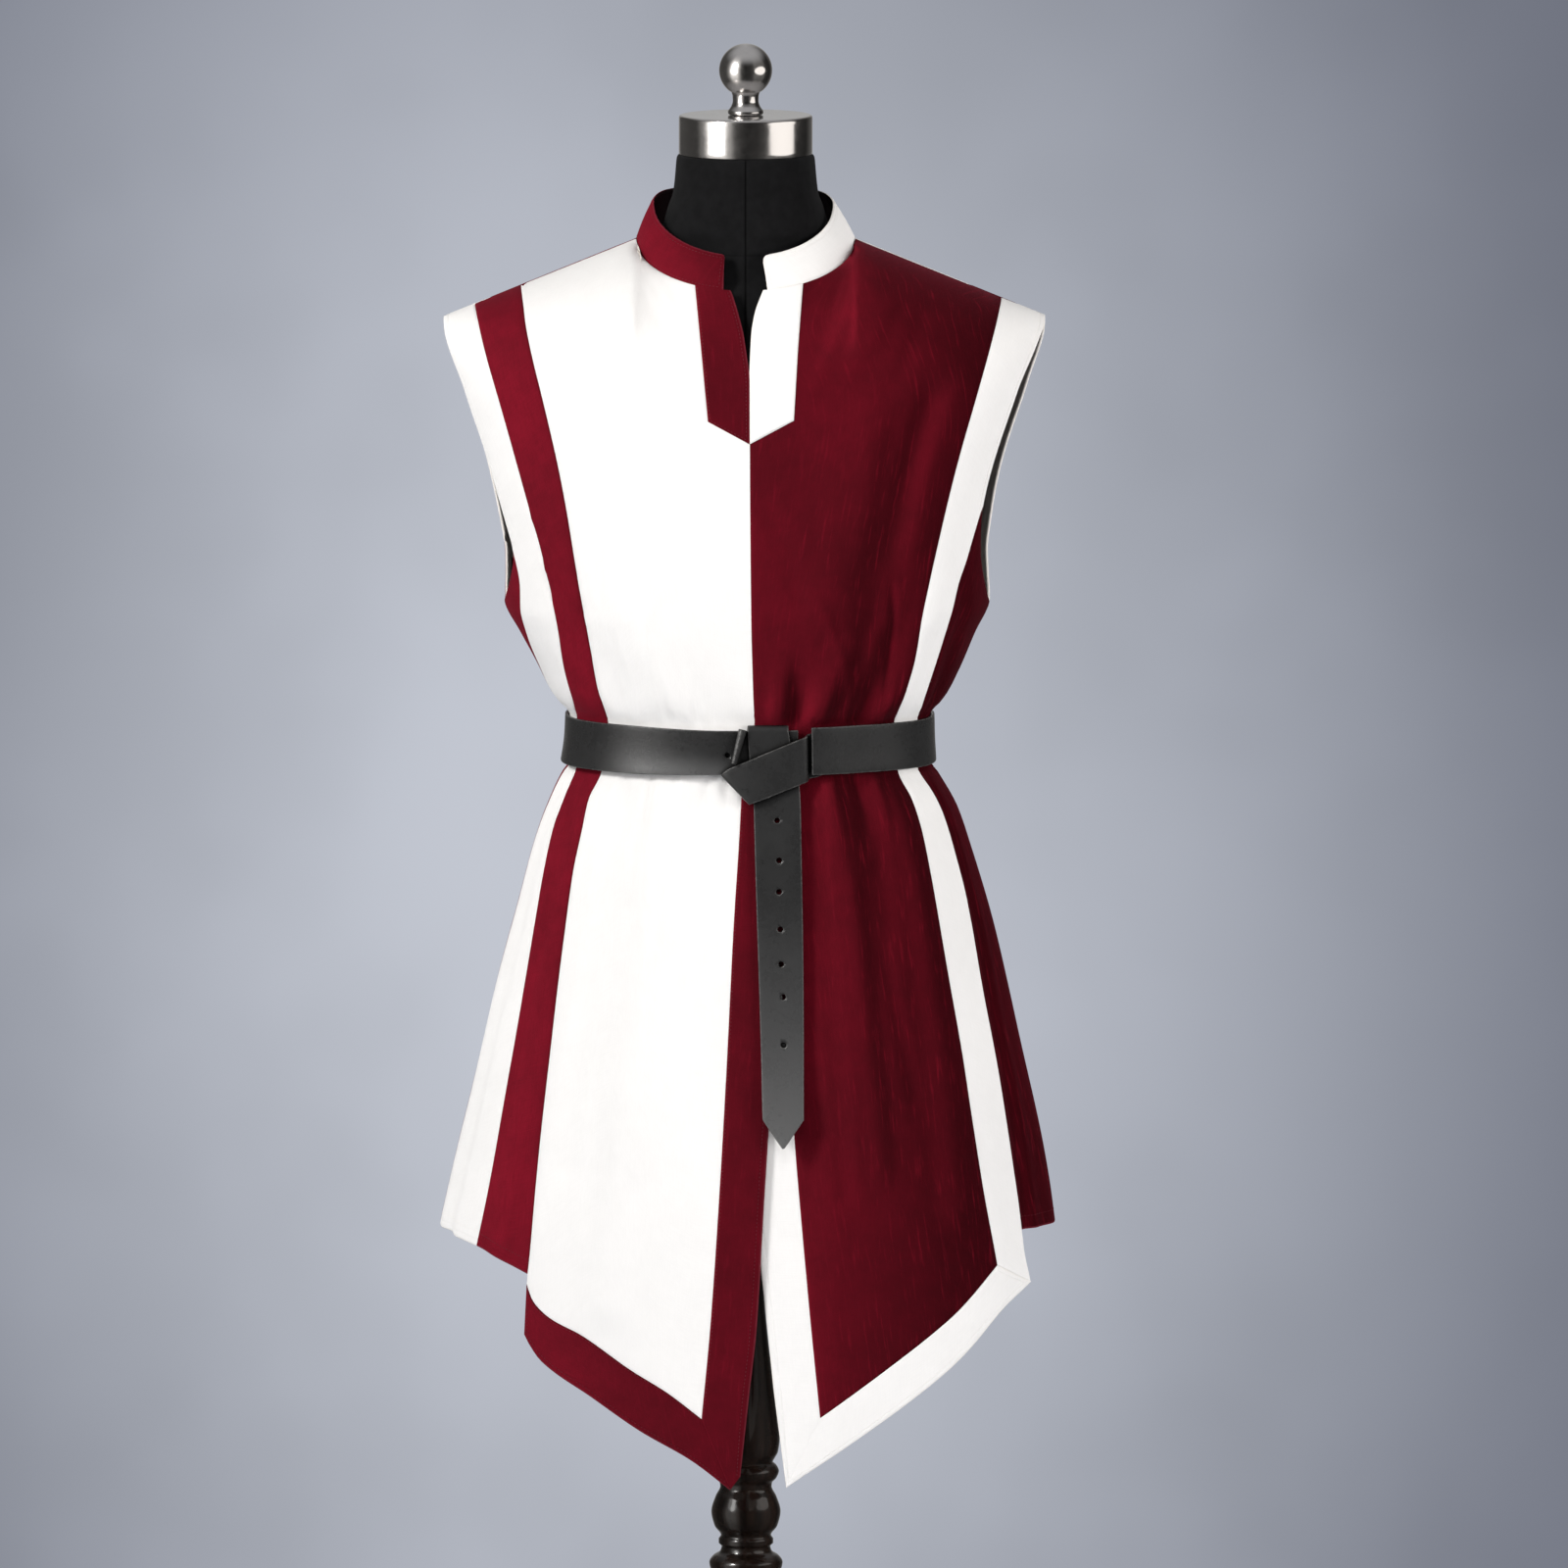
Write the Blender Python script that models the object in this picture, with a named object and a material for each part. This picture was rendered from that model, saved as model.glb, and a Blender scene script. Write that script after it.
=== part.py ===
"""A parti-coloured medieval surcoat with its knotted belt, on a limbless dress form.

The sleeveless coat is burgundy and off-white, counterchanged about its centre front.
It is drawn on one smooth surface: horizontal sections give the girth at each height, the
shoulder and neck lines close it at the top, and soft folds are laid over it. Every cut
piece is a grid on that surface between two seams, made into a closed wall of cloth, and
stands a seam's gap apart from its neighbours. The belt, the knot and the hanging strap
follow the same sections. The origin is on the floor under the middle of the stand, +Z is
up and the coat faces -Y. All sizes are in millimetres until a mesh is made.
"""
import math
from collections import namedtuple

import bmesh
import bpy
from mathutils import Vector

MM = 0.001

# --- driving dimensions -------------------------------------------------------------
CLOTH = 1.6               # thickness of a cloth wall
SEAM_GAP = 0.3            # clear gap between neighbouring pieces
FACING = 1.2              # thickness of a placket laid on a panel
FACING_LIFT = 0.45        # gap between a panel and what lies on it
TOP_INSET = 0.8           # a facing starts this far below the neckline
OVERLAP_DEPTH = 3.2       # the right skirt front runs this far under the left one
SHOULDER_ROUND = 85.0     # depth of the rounding below the shoulder and neck lines

NECK_HALF = 95.0          # neckline: half width, reach to front and back, heights
NECK_FRONT = 89.0
NECK_BACK = 72.0
NECK_SIDE_HEIGHT = 1430.0
NECK_FRONT_DROP = 37.0
NECK_BACK_RISE = 4.0
SHOULDER_SLOPE = 0.404
COLLAR_END = 19.5         # distance of a collar end from the centre front
COLLAR_SLANT = 34.0
COLLAR_WALL = 2.0
COLLAR_TOP_HALF = 78.5
COLLAR_TOP_CENTRE = -2.0
COLLAR_TOP_FRONT = 71.0
COLLAR_TOP_BACK = 60.0
COLLAR_BOW = 1.0

ARM_SEAM_HEIGHT = 1165.0  # where the side pieces' seams leave an armhole
RIGHT_STRIPE_LEAVES = 1201.0
UNDERARM = 1114.0
WAIST_ANCHOR = 1048.0
SLIT_TOP = 990.0
LAST_LEVEL = 611.0
BACK_HEM = 572.0

BELT_HEIGHT = 997.0       # middle of the belt
BELT_WIDTH = 41.0
LEATHER = 2.8
BELT_EASE = 1.3           # from the cloth's smooth surface to the strap's inner face
BELT_STEPS = 64
HOLE_DIAMETER = 5.0
TAIL_CLEARANCE = 3.6      # the hanging strap's gap to the skirt's smooth surface

POST_TOP = 761.6
TORSO_BOTTOM = 762.0
FORM_STEPS = 36
TURNED_STEPS = 20

Section = namedtuple("Section", "height centre half_width front back power")
SECTIONS = (
    Section(1400, 0.0, 272.0, 112.0, 106.0, 2.40),
    Section(1364, 0.0, 272.0, 118.0, 110.0, 2.40),
    Section(1300, 0.0, 251.5, 124.0, 114.0, 2.40),
    Section(1230, 0.0, 230.0, 128.0, 117.0, 2.40),
    Section(1165, 1.0, 218.0, 129.0, 117.0, 2.35),
    Section(1114, 1.5, 210.0, 127.0, 115.0, 2.30),
    Section(1090, 2.0, 198.0, 125.0, 113.0, 2.30),
    Section(1056, 3.5, 181.5, 121.0, 110.0, 2.30),
    Section(1038, 3.5, 172.5, 118.0, 107.0, 2.30),
    Section(1028, 3.5, 165.0, 115.5, 105.0, 2.30),
    Section(1018, 3.5, 156.0, 112.0, 103.0, 2.30),
    Section(976, 3.5, 156.0, 112.0, 103.0, 2.30),
    Section(966, 3.5, 162.5, 113.5, 105.0, 2.30),
    Section(936, 5.0, 178.0, 118.0, 110.0, 2.30),
    Section(911, 5.0, 187.0, 122.0, 114.0, 2.30),
    Section(851, 6.0, 204.0, 129.0, 122.0, 2.25),
    Section(782, 5.0, 221.0, 138.0, 131.0, 2.20),
    Section(697, 4.5, 241.0, 150.0, 142.0, 2.15),
    Section(611, 2.5, 259.5, 161.0, 153.0, 2.10),
    Section(570, 1.0, 267.0, 166.0, 158.0, 2.10),
    Section(450, 0.0, 285.0, 178.0, 165.0, 2.10),
    Section(350, 0.0, 300.0, 187.0, 170.0, 2.10),
)

# Seams' distances from the centre plane. The front's left side is the wearer's right.
Seams = namedtuple("Seams", "height left_outer left_inner right_inner right_outer")
FRONT_SEAMS = (
    Seams(1430, -249.0, -204.0, 233.0, 290.0),
    Seams(1380, -236.0, -192.5, 221.5, 267.0),
    Seams(1363, -231.5, -190.0, 217.0, 259.0),
    Seams(1340, -225.5, -185.0, 210.5, 248.5),
    Seams(1300, -214.0, -175.0, 199.0, 234.5),
    Seams(1250, -200.0, -163.5, 185.0, 219.0),
    Seams(1201, -186.0, -154.0, 172.5, 204.5),
    Seams(1165, -176.0, -148.0, 164.0, 193.5),
    Seams(1114, -165.5, -139.5, 153.0, 178.5),
    Seams(1075, -158.5, -133.0, 145.5, 167.0),
    Seams(1048, -153.0, -128.0, 137.5, 158.5),
    Seams(1031, -149.0, -122.5, 132.0, 153.0),
    Seams(1018, -146.5, -119.0, 128.5, 149.5),
    Seams(977, -147.0, -124.0, 131.5, 149.0),
    Seams(950, -157.0, -135.0, 144.5, 165.0),
    Seams(925, -166.5, -140.5, 152.5, 175.5),
    Seams(890, -174.5, -148.0, 159.5, 186.0),
    Seams(845, -182.5, -154.5, 167.5, 195.0),
    Seams(790, -192.0, -162.0, 177.0, 205.0),
    Seams(730, -202.0, -169.5, 187.5, 216.0),
    Seams(670, -212.5, -176.5, 197.0, 226.0),
    Seams(611, -223.5, -182.5, 206.5, 235.5),
    Seams(560, -234.0, -187.0, 216.0, 243.5),
    Seams(540, -238.0, -189.0, 219.5, 246.0),
    Seams(500, -246.0, -191.5, 226.0, 251.0),
)
BACK_SEAMS = (
    Seams(1430, -292.0, -233.0, 204.0, 249.0),
    Seams(1380, -268.0, -221.5, 192.5, 236.0),
    Seams(1363, -261.0, -217.0, 190.0, 231.5),
    Seams(1340, -257.0, -210.5, 185.0, 225.5),
    Seams(1300, -247.0, -199.0, 175.0, 214.0),
    Seams(1250, -231.5, -185.0, 163.5, 200.0),
    Seams(1201, -219.0, -172.5, 154.0, 187.0),
    Seams(1165, -211.0, -164.0, 148.0, 177.5),
    Seams(1114, -188.0, -153.0, 139.5, 166.0),
    Seams(1075, -171.0, -145.5, 133.0, 158.5),
    Seams(1048, -158.5, -136.0, 128.0, 153.0),
    Seams(1031, -151.0, -129.0, 123.0, 149.5),
    Seams(1018, -144.0, -124.0, 119.5, 147.0),
    Seams(977, -144.0, -127.0, 124.0, 147.5),
    Seams(950, -159.0, -140.0, 135.0, 157.5),
    Seams(925, -169.0, -147.5, 140.5, 166.5),
    Seams(890, -179.0, -155.0, 148.0, 174.5),
    Seams(845, -189.0, -163.5, 154.5, 182.5),
    Seams(790, -200.0, -173.0, 162.0, 192.0),
    Seams(730, -212.0, -184.0, 169.5, 202.0),
    Seams(670, -223.0, -194.0, 176.5, 212.5),
    Seams(611, -233.5, -204.0, 182.5, 223.5),
    Seams(570, -240.5, -211.0, 186.5, 232.0),
)
# Armholes' edges: the depth at which they cut the coat's sections, front and back.
Armholes = namedtuple("Armholes", "height front_left front_right back_left back_right")
ARMHOLES = (
    Armholes(1400, 46.0, 46.0, 44.0, 46.0),
    Armholes(1363, 44.0, 47.0, 42.0, 44.0),
    Armholes(1345, 43.0, 52.0, 38.5, 41.0),
    Armholes(1325, 43.0, 55.0, 35.5, 38.5),
    Armholes(1300, 43.5, 57.5, 33.0, 36.5),
    Armholes(1250, 48.0, 62.0, 36.0, 39.0),
    Armholes(1201, 54.0, 64.5, 38.0, 41.0),
    Armholes(1165, 58.5, 58.5, 37.5, 40.5),
    Armholes(1138, 46.0, 45.0, 29.5, 32.0),
    Armholes(1121, 25.0, 25.0, 16.0, 17.0),
    Armholes(1114, 0.0, 0.0, 0.0, 0.0),
)
# The left side seam swings to the front under the arm: angle round the coat, degrees.
SideSeam = namedtuple("SideSeam", "height angle")
LEFT_SIDE_SEAM = (
    SideSeam(1165, -67.0),
    SideSeam(1140, -65.5),
    SideSeam(1114, -68.0),
    SideSeam(1086, -75.0),
    SideSeam(1066, -81.0),
    SideSeam(1045, -87.0),
    SideSeam(1018, -90.0),
    SideSeam(550, -90.0),
)
# The two fronts' inner edges: neck opening, centre seam, then the seams of the slit's
# bands, whose free edges pass each other behind and below the belt.
FrontEdges = namedtuple("FrontEdges", "height left right")
FRONT_EDGES = (
    FrontEdges(1400, -17.0, 18.5),
    FrontEdges(1390, -11.7, 14.0),
    FrontEdges(1374, -6.6, 8.2),
    FrontEdges(1358, -2.3, 5.4),
    FrontEdges(1341, 0.4, 4.4),
    FrontEdges(1328, 2.4, 3.9),
    FrontEdges(1318, 3.6, 3.6),
    FrontEdges(1250, 3.8, 3.8),
    FrontEdges(1114, 4.9, 4.9),
    FrontEdges(1048, 6.6, 6.6),
    FrontEdges(1018, 7.8, 7.8),
    FrontEdges(1004, 3.0, 10.5),
    FrontEdges(990, -2.0, 13.0),
    FrontEdges(966, -3.2, 14.6),
    FrontEdges(925, -5.3, 18.5),
    FrontEdges(845, -10.4, 26.2),
    FrontEdges(730, -16.2, 37.1),
    FrontEdges(611, -23.0, 47.2),
    FrontEdges(500, -30.8, 57.2),
    FrontEdges(425, -38.0, 64.7),
    FrontEdges(350, -45.0, 72.0),
)
SlitEdges = namedtuple("SlitEdges", "height left right")
SLIT_EDGES = (
    SlitEdges(990, 36.0, -25.5),
    SlitEdges(925, 32.8, -20.0),
    SlitEdges(845, 28.8, -13.4),
    SlitEdges(730, 23.1, -3.9),
    SlitEdges(611, 15.7, 7.7),
    SlitEdges(500, 8.9, 19.7),
    SlitEdges(425, 0.2, 27.6),
    SlitEdges(365, -5.4, 35.7),
)
PlacketEdges = namedtuple("PlacketEdges", "height left right")
PLACKET_EDGES = (
    PlacketEdges(1400, -43.8, 49.6),
    PlacketEdges(1341, -37.8, 45.0),
    PlacketEdges(1284, -32.3, 41.6),
    PlacketEdges(1260, -30.0, 40.0),
)
# Lower lines of the pieces: distance from the centre plane, height.
LineRow = namedtuple("LineRow", "x height")
PLACKET_FOOT = (LineRow(-32.3, 1283.6), LineRow(3.6, 1264.2), LineRow(41.6, 1284.5))
LEFT_SIDE_HEM = (LineRow(-270, 571.0), LineRow(-233.5, 563.0), LineRow(-188.5, 543.6))
RIGHT_SIDE_HEM = (LineRow(242.0, 574.0), LineRow(270.0, 576.6))
RIGHT_STRIPE_FOOT = (LineRow(218.3, 548.4), LineRow(247.4, 530.1))
LEFT_PANEL_FOOT = (
    LineRow(-190.0, 536.0),
    LineRow(-184.0, 520.5),
    LineRow(-168.6, 506.6),
    LineRow(-142.3, 494.0),
    LineRow(-99.2, 465.5),
    LineRow(-68.0, 447.0),
    LineRow(-38.0, 424.8),
)
LEFT_BAND_FOOT = (
    LineRow(-191.5, 491.6),
    LineRow(-187.5, 484.0),
    LineRow(-177.0, 470.0),
    LineRow(-133.8, 441.6),
    LineRow(-91.6, 413.8),
    LineRow(-47.7, 389.5),
    LineRow(-13.2, 363.8),
)
RIGHT_PANEL_FOOT = (
    LineRow(64.7, 424.9),
    LineRow(119.0, 463.0),
    LineRow(166.5, 497.6),
    LineRow(185.0, 513.0),
    LineRow(218.3, 548.4),
)
RIGHT_BAND_FOOT = (
    LineRow(35.7, 365.4),
    LineRow(173.2, 460.4),
    LineRow(195.3, 480.5),
    LineRow(225.0, 512.6),
    LineRow(247.4, 530.1),
)
# Soft folds: where each starts and ends, how far it stands out (+) or sinks in (-)
# there, and its half width. Angles are degrees round the coat from the centre front,
# positive to the wearer's left; reaches are in millimetres.
Fold = namedtuple("Fold", "top_height top_angle top_out low_height low_angle low_out half")
FOLDS = (
    Fold(1140, 37.0, -1.0, 1021, 34.5, -6.0, 6.5),
    Fold(1125, 48.0, 1.0, 1021, 44.5, 4.5, 7.0),
    Fold(1080, 11.0, 0.0, 1021, 12.8, -4.0, 4.5),
    Fold(1120, 24.0, 0.5, 1021, 19.0, 4.0, 6.0),
    Fold(1135, 58.5, -2.0, 1021, 70.5, -5.5, 6.0),
    Fold(1110, -9.0, 0.0, 1021, -8.0, -2.5, 6.0),
    Fold(1120, -24.0, 0.5, 1021, -21.0, 2.5, 7.0),
    Fold(1130, -38.0, 0.0, 1021, -36.0, -3.0, 7.0),
    Fold(1100, -57.0, 0.5, 1021, -55.0, 2.5, 7.0),
    Fold(968, 71.0, -3.0, 560, 66.5, -7.5, 4.5),
    Fold(966, 33.0, -3.5, 800, 31.0, -0.5, 6.5),
    Fold(966, 21.5, 3.0, 640, 21.0, 1.5, 7.0),
    Fold(966, 45.0, 3.0, 600, 44.0, 3.0, 8.0),
    Fold(966, -12.0, -3.0, 760, -12.0, -0.5, 5.5),
    Fold(966, -24.0, 3.0, 520, -25.0, 3.5, 8.0),
    Fold(966, -37.0, -3.0, 640, -38.0, -2.0, 6.5),
    Fold(966, -52.0, 2.0, 560, -52.0, 3.0, 7.0),
    Fold(966, -76.0, -1.5, 570, -78.0, -5.0, 8.0),
    Fold(966, 84.0, 1.0, 570, 80.0, 5.0, 8.0),
    Fold(1125, 118.0, 0.0, 1021, 121.0, -4.0, 8.0),
    Fold(1130, 138.0, 0.5, 1021, 136.0, 3.5, 7.0),
    Fold(1110, 155.0, 0.0, 1021, 153.0, -4.0, 7.0),
    Fold(1120, -166.0, 0.5, 1021, -168.0, 3.5, 8.0),
    Fold(1120, -145.0, 0.0, 1021, -148.0, -4.5, 7.0),
    Fold(1110, -124.0, 0.5, 1021, -122.0, 3.0, 8.0),
    Fold(966, 113.0, -2.5, 570, 110.0, -5.5, 8.0),
    Fold(966, 131.0, 3.0, 570, 130.0, 5.0, 9.0),
    Fold(966, 152.0, -3.0, 570, 151.0, -4.5, 8.0),
    Fold(966, 171.0, 3.0, 570, 172.0, 4.0, 8.0),
    Fold(966, -166.0, -3.0, 570, -167.0, -5.0, 8.0),
    Fold(966, -146.0, 2.5, 570, -147.0, 4.5, 9.0),
    Fold(966, -124.0, -3.0, 570, -125.0, -5.5, 8.0),
    Fold(966, -105.0, 2.0, 570, -104.0, 4.5, 8.0),
)
FOLD_FADE = 30.0
BELT_PINCH = 0.18         # how much of a fold is left under the belt
PINCH_TOP = 1020.0
PINCH_LOW = 974.0
PINCH_FADE = 22.0

# Heights that every long seam shares, so that neighbours' edges run side by side.
LEVELS = (1300, 1250, 1201, 1165, 1138, 1114, 1075, 1048, 1031, 1018, 1004, 990, 977, 964, 948,
          925, 890, 845, 790, 730, 670, 611)
SHOULDER_STEPS = (0.0, 0.05, 0.14, 0.28, 0.47, 0.72)
FOOT_STEPS = (0.34, 0.67, 1.0)
HEM_STEPS = (1.0,)

# The dress form's own sections; none is drawn inside a neck of the given radius.
FormRow = namedtuple("FormRow", "height half_width front back power neck")
FORM_ROWS = (
    FormRow(1503.3, 59.5, 60.0, 58.0, 2.0, 0.0),
    FormRow(1470, 62.5, 62.0, 55.5, 2.0, 0.0),
    FormRow(1450, 65.0, 63.0, 55.5, 2.0, 0.0),
    FormRow(1440, 67.5, 63.5, 56.0, 2.0, 0.0),
    FormRow(1434, 76.0, 20.0, 20.0, 1.5, 60.0),
    FormRow(1427.8, 95.0, 16.0, 16.0, 1.5, 60.0),
    FormRow(1424, 104.3, 20.0, 20.0, 1.5, 61.0),
    FormRow(1418, 119.2, 40.0, 40.0, 1.5, 62.0),
    FormRow(1410, 139.0, 54.0, 56.0, 1.6, 63.0),
    FormRow(1400, 163.8, 66.0, 70.0, 1.7, 60.0),
    FormRow(1391, 186.0, 77.0, 78.0, 1.75, 0.0),
    FormRow(1380, 200.5, 84.0, 83.0, 1.9, 0.0),
    FormRow(1364, 205.5, 94.0, 90.0, 2.1, 0.0),
    FormRow(1340, 205.0, 103.0, 96.0, 2.3, 0.0),
    FormRow(1300, 201.0, 108.0, 99.0, 2.3, 0.0),
    FormRow(1250, 194.0, 111.0, 101.0, 2.3, 0.0),
    FormRow(1200, 185.0, 112.0, 101.0, 2.3, 0.0),
    FormRow(1150, 175.0, 111.0, 100.0, 2.3, 0.0),
    FormRow(1100, 163.0, 108.0, 97.0, 2.3, 0.0),
    FormRow(1050, 149.0, 101.0, 92.0, 2.3, 0.0),
    FormRow(1000, 139.0, 94.0, 87.0, 2.3, 0.0),
    FormRow(950, 143.0, 96.0, 91.0, 2.3, 0.0),
    FormRow(900, 154.0, 102.0, 101.0, 2.2, 0.0),
    FormRow(850, 162.0, 106.0, 109.0, 2.2, 0.0),
    FormRow(800, 165.0, 108.0, 112.0, 2.2, 0.0),
    FormRow(776, 163.0, 106.0, 110.0, 2.2, 0.0),
    FormRow(TORSO_BOTTOM, 155.0, 99.0, 103.0, 2.2, 0.0),
)
NECK_BLEND = 12           # how tightly the neck's circle joins the shoulders' section

# Turned profiles, from the top down: height, radius.
Turn = namedtuple("Turn", "height radius")
CAP_PROFILE = (
    Turn(1537.4, 56.4),
    Turn(1536.0, 57.8),
    Turn(1505.0, 57.8),
    Turn(1503.7, 57.0),
)
FINIAL_BALL_CENTRE = 1576.2
FINIAL_BALL_RADIUS = 23.0
FINIAL_FOOT = (
    Turn(1556.0, 9.6),
    Turn(1551.0, 9.0),
    Turn(1546.5, 10.2),
    Turn(1543.0, 13.6),
    Turn(1541.0, 15.0),
    Turn(1538.5, 15.0),
    Turn(1537.7, 14.0),
)
POST_PROFILE = (
    Turn(POST_TOP, 16.0),
    Turn(700.0, 14.5),
    Turn(560.0, 14.0),
    Turn(510.0, 15.8),
    Turn(470.0, 19.2),
    Turn(435.0, 23.4),
    Turn(405.0, 27.6),
    Turn(387.0, 29.5),
    Turn(377.0, 28.0),
    Turn(371.0, 24.6),
    Turn(368.5, 23.4),
    Turn(366.0, 26.2),
    Turn(360.5, 28.8),
    Turn(354.5, 26.6),
    Turn(350.0, 23.0),
    Turn(345.5, 22.4),
    Turn(338.0, 26.8),
    Turn(323.0, 30.2),
    Turn(309.0, 27.2),
    Turn(300.0, 21.8),
    Turn(297.5, 23.8),
    Turn(294.0, 23.8),
    Turn(291.0, 21.2),
    Turn(286.5, 22.6),
    Turn(283.0, 28.0),
    Turn(277.0, 32.0),
    Turn(270.0, 30.4),
    Turn(264.0, 24.0),
    Turn(256.0, 21.0),
    Turn(200.0, 24.0),
    Turn(130.0, 28.0),
    Turn(90.0, 30.0),
    Turn(82.0, 36.0),
    Turn(72.0, 38.0),
    Turn(62.3, 36.0),
)
BASE_PROFILE = (
    Turn(62.0, 44.0),
    Turn(56.0, 47.0),
    Turn(46.0, 62.0),
    Turn(38.0, 92.0),
    Turn(33.0, 135.0),
    Turn(29.0, 170.0),
    Turn(22.0, 183.0),
    Turn(12.0, 186.0),
    Turn(3.0, 184.0),
    Turn(0.0, 181.0),
)

# The hanging strap, from the top of the belt to its point: height, left and right edges.
TailRow = namedtuple("TailRow", "height left right")
TAIL_ROWS = (
    TailRow(1018.0, 1.2, 36.6),
    TailRow(998.0, 2.6, 40.0),
    TailRow(977.0, 4.6, 44.6),
    TailRow(962.0, 6.2, 46.8),
    TailRow(948.0, 7.0, 47.5),
    TailRow(925.0, 7.6, 48.0),
    TailRow(890.0, 8.6, 48.6),
    TailRow(845.0, 10.0, 49.4),
    TailRow(790.0, 11.8, 50.0),
    TailRow(735.0, 13.4, 50.2),
    TailRow(682.0, 14.8, 50.2),
    TailRow(658.0, 31.5, 33.5),
)
Hole = namedtuple("Hole", "x height")
TAIL_HOLES = (Hole(27.2, 938.0), Hole(28.9, 904.0), Hole(28.9, 877.0), Hole(29.8, 845.0),
              Hole(30.6, 815.0), Hole(32.3, 787.0), Hole(32.7, 746.0))
# The strap laid across the knot: upper and lower edges, and how far each stands off the
# coat's section, from its fold at the left to where it dives under the belt.
BandRow = namedtuple("BandRow", "top_x top_height top_stand low_x low_height low_stand")
BAND_ROWS = (
    BandRow(-21.0, 976.2, 6.4, 3.0, 951.6, 10.4),
    BandRow(-16.0, 981.0, 7.4, 9.0, 953.8, 11.0),
    BandRow(4.0, 990.0, 8.0, 20.0, 958.0, 10.4),
    BandRow(20.0, 997.0, 8.2, 31.0, 962.6, 9.4),
    BandRow(34.0, 1003.0, 8.2, 41.0, 966.4, 9.0),
    BandRow(43.0, 1006.8, 7.8, 47.5, 969.0, 8.6),
    BandRow(50.0, 1009.6, 5.4, 52.0, 971.0, 6.0),
    BandRow(56.0, 1011.6, 2.2, 56.0, 972.4, 2.4),
    BandRow(60.0, 1012.6, 1.4, 60.0, 973.6, 1.4),
    BandRow(67.0, 1013.0, 1.3, 67.0, 976.0, 1.3),
)
STRAP_RIGHT_END = 57.0    # the strap's two ends, either side of the knot
STRAP_LEFT_END = 49.0
STRAP_RIGHT_LIFT = 3.8
STRAP_LIFT_RUN = 46.0
ROLL_RADIUS = 3.7         # a fold of the strap stands on it as a small open tube
ROLL_HOLE = 1.7
ROLL_TOP = (-4.4, 1013.5)
ROLL_LOW = (-9.3, 987.0)
ROLL_STEPS = 12

# --- colours ------------------------------------------------------------------------
Finish = namedtuple("Finish", "colour roughness metallic")
BURGUNDY = Finish((0.150, 0.007, 0.016), 0.75, 0.0)
WHITE = Finish((0.86, 0.85, 0.82), 0.80, 0.0)
LEATHER_BLACK = Finish((0.018, 0.018, 0.019), 0.42, 0.0)
FORM_BLACK = Finish((0.010, 0.010, 0.012), 0.85, 0.0)
STEEL = Finish((0.62, 0.61, 0.60), 0.22, 1.0)
LACQUER = Finish((0.014, 0.007, 0.005), 0.18, 0.0)


class Curve:
    """A smooth curve through (position, value) pairs that never overshoots them."""

    def __init__(self, pairs):
        ordered = sorted(pairs)
        self.position = [pair[0] for pair in ordered]
        self.value = [pair[1] for pair in ordered]
        spans = len(ordered) - 1
        self.slope = [(self.value[i + 1] - self.value[i])
                      / (self.position[i + 1] - self.position[i]) for i in range(spans)]
        self.tangent = [self.slope[0]]
        for i in range(1, spans):
            before, after = self.slope[i - 1], self.slope[i]
            same_way = before * after > 0
            self.tangent.append(2 * before * after / (before + after) if same_way else 0.0)
        self.tangent.append(self.slope[-1])

    def at(self, position):
        """The value at a position; straight on past either end."""
        if position <= self.position[0]:
            return self.value[0] + self.slope[0] * (position - self.position[0])
        if position >= self.position[-1]:
            return self.value[-1] + self.slope[-1] * (position - self.position[-1])
        i = max(k for k, start in enumerate(self.position[:-1]) if start <= position)
        span = self.position[i + 1] - self.position[i]
        t = (position - self.position[i]) / span
        rest = 1 - t
        return ((1 + 2 * t) * rest * rest * self.value[i]
                + t * rest * rest * span * self.tangent[i]
                + t * t * (3 - 2 * t) * self.value[i + 1]
                - t * t * rest * span * self.tangent[i + 1])


def column(table, name):
    """The curve of one named column of a table over its first column."""
    return Curve((row[0], getattr(row, name)) for row in table)


def smooth_step(value):
    """0 below 0, 1 above 1 and a smooth rise between."""
    value = min(1.0, max(0.0, value))
    return value * value * (3 - 2 * value)


def lerp(first, second, share):
    return first + (second - first) * share


class Girth:
    """Horizontal sections of a body, each a superellipse with its own front and back."""

    def __init__(self, table):
        names = ("centre", "half_width", "front", "back", "power")
        self.curves = [column(table, name) for name in names]

    def section(self, height):
        """Centre, half width, front depth, back depth and power at a height."""
        return [curve.at(height) for curve in self.curves]

    def point(self, angle, height):
        """The point at an angle from the centre front, positive towards +X."""
        centre, half_width, front, back, power = self.section(height)
        across, along = math.sin(angle), math.cos(angle)
        x = centre + half_width * math.copysign(abs(across) ** (2 / power), across)
        reach = abs(along) ** (2 / power)
        return Vector((x, -front * reach if along > 0 else back * reach, height))

    def angle_at_depth(self, depth, height, back=False):
        """The angle, 0 to 180 degrees, at which a section reaches a depth."""
        _, _, front, rear, power = self.section(height)
        share = min(1.0, depth / (rear if back else front))
        angle = math.acos(share ** (power / 2))
        return math.pi - angle if back else angle

    def angle_of(self, x, height, back=False):
        """The angle at which a section passes x, on its front or its back."""
        centre, half_width, _, _, power = self.section(height)
        share = min(1.0, max(-1.0, (x - centre) / half_width))
        angle = math.copysign(math.asin(abs(share) ** (power / 2)), share)
        return math.copysign(math.pi, share) - angle if back else angle


COAT = Girth(SECTIONS)


def neck_share(x):
    """1 at the centre of the neck, 0 at its sides, along a quarter ellipse."""
    return math.sqrt(max(0.0, 1 - (x / NECK_HALF) ** 2))


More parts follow.
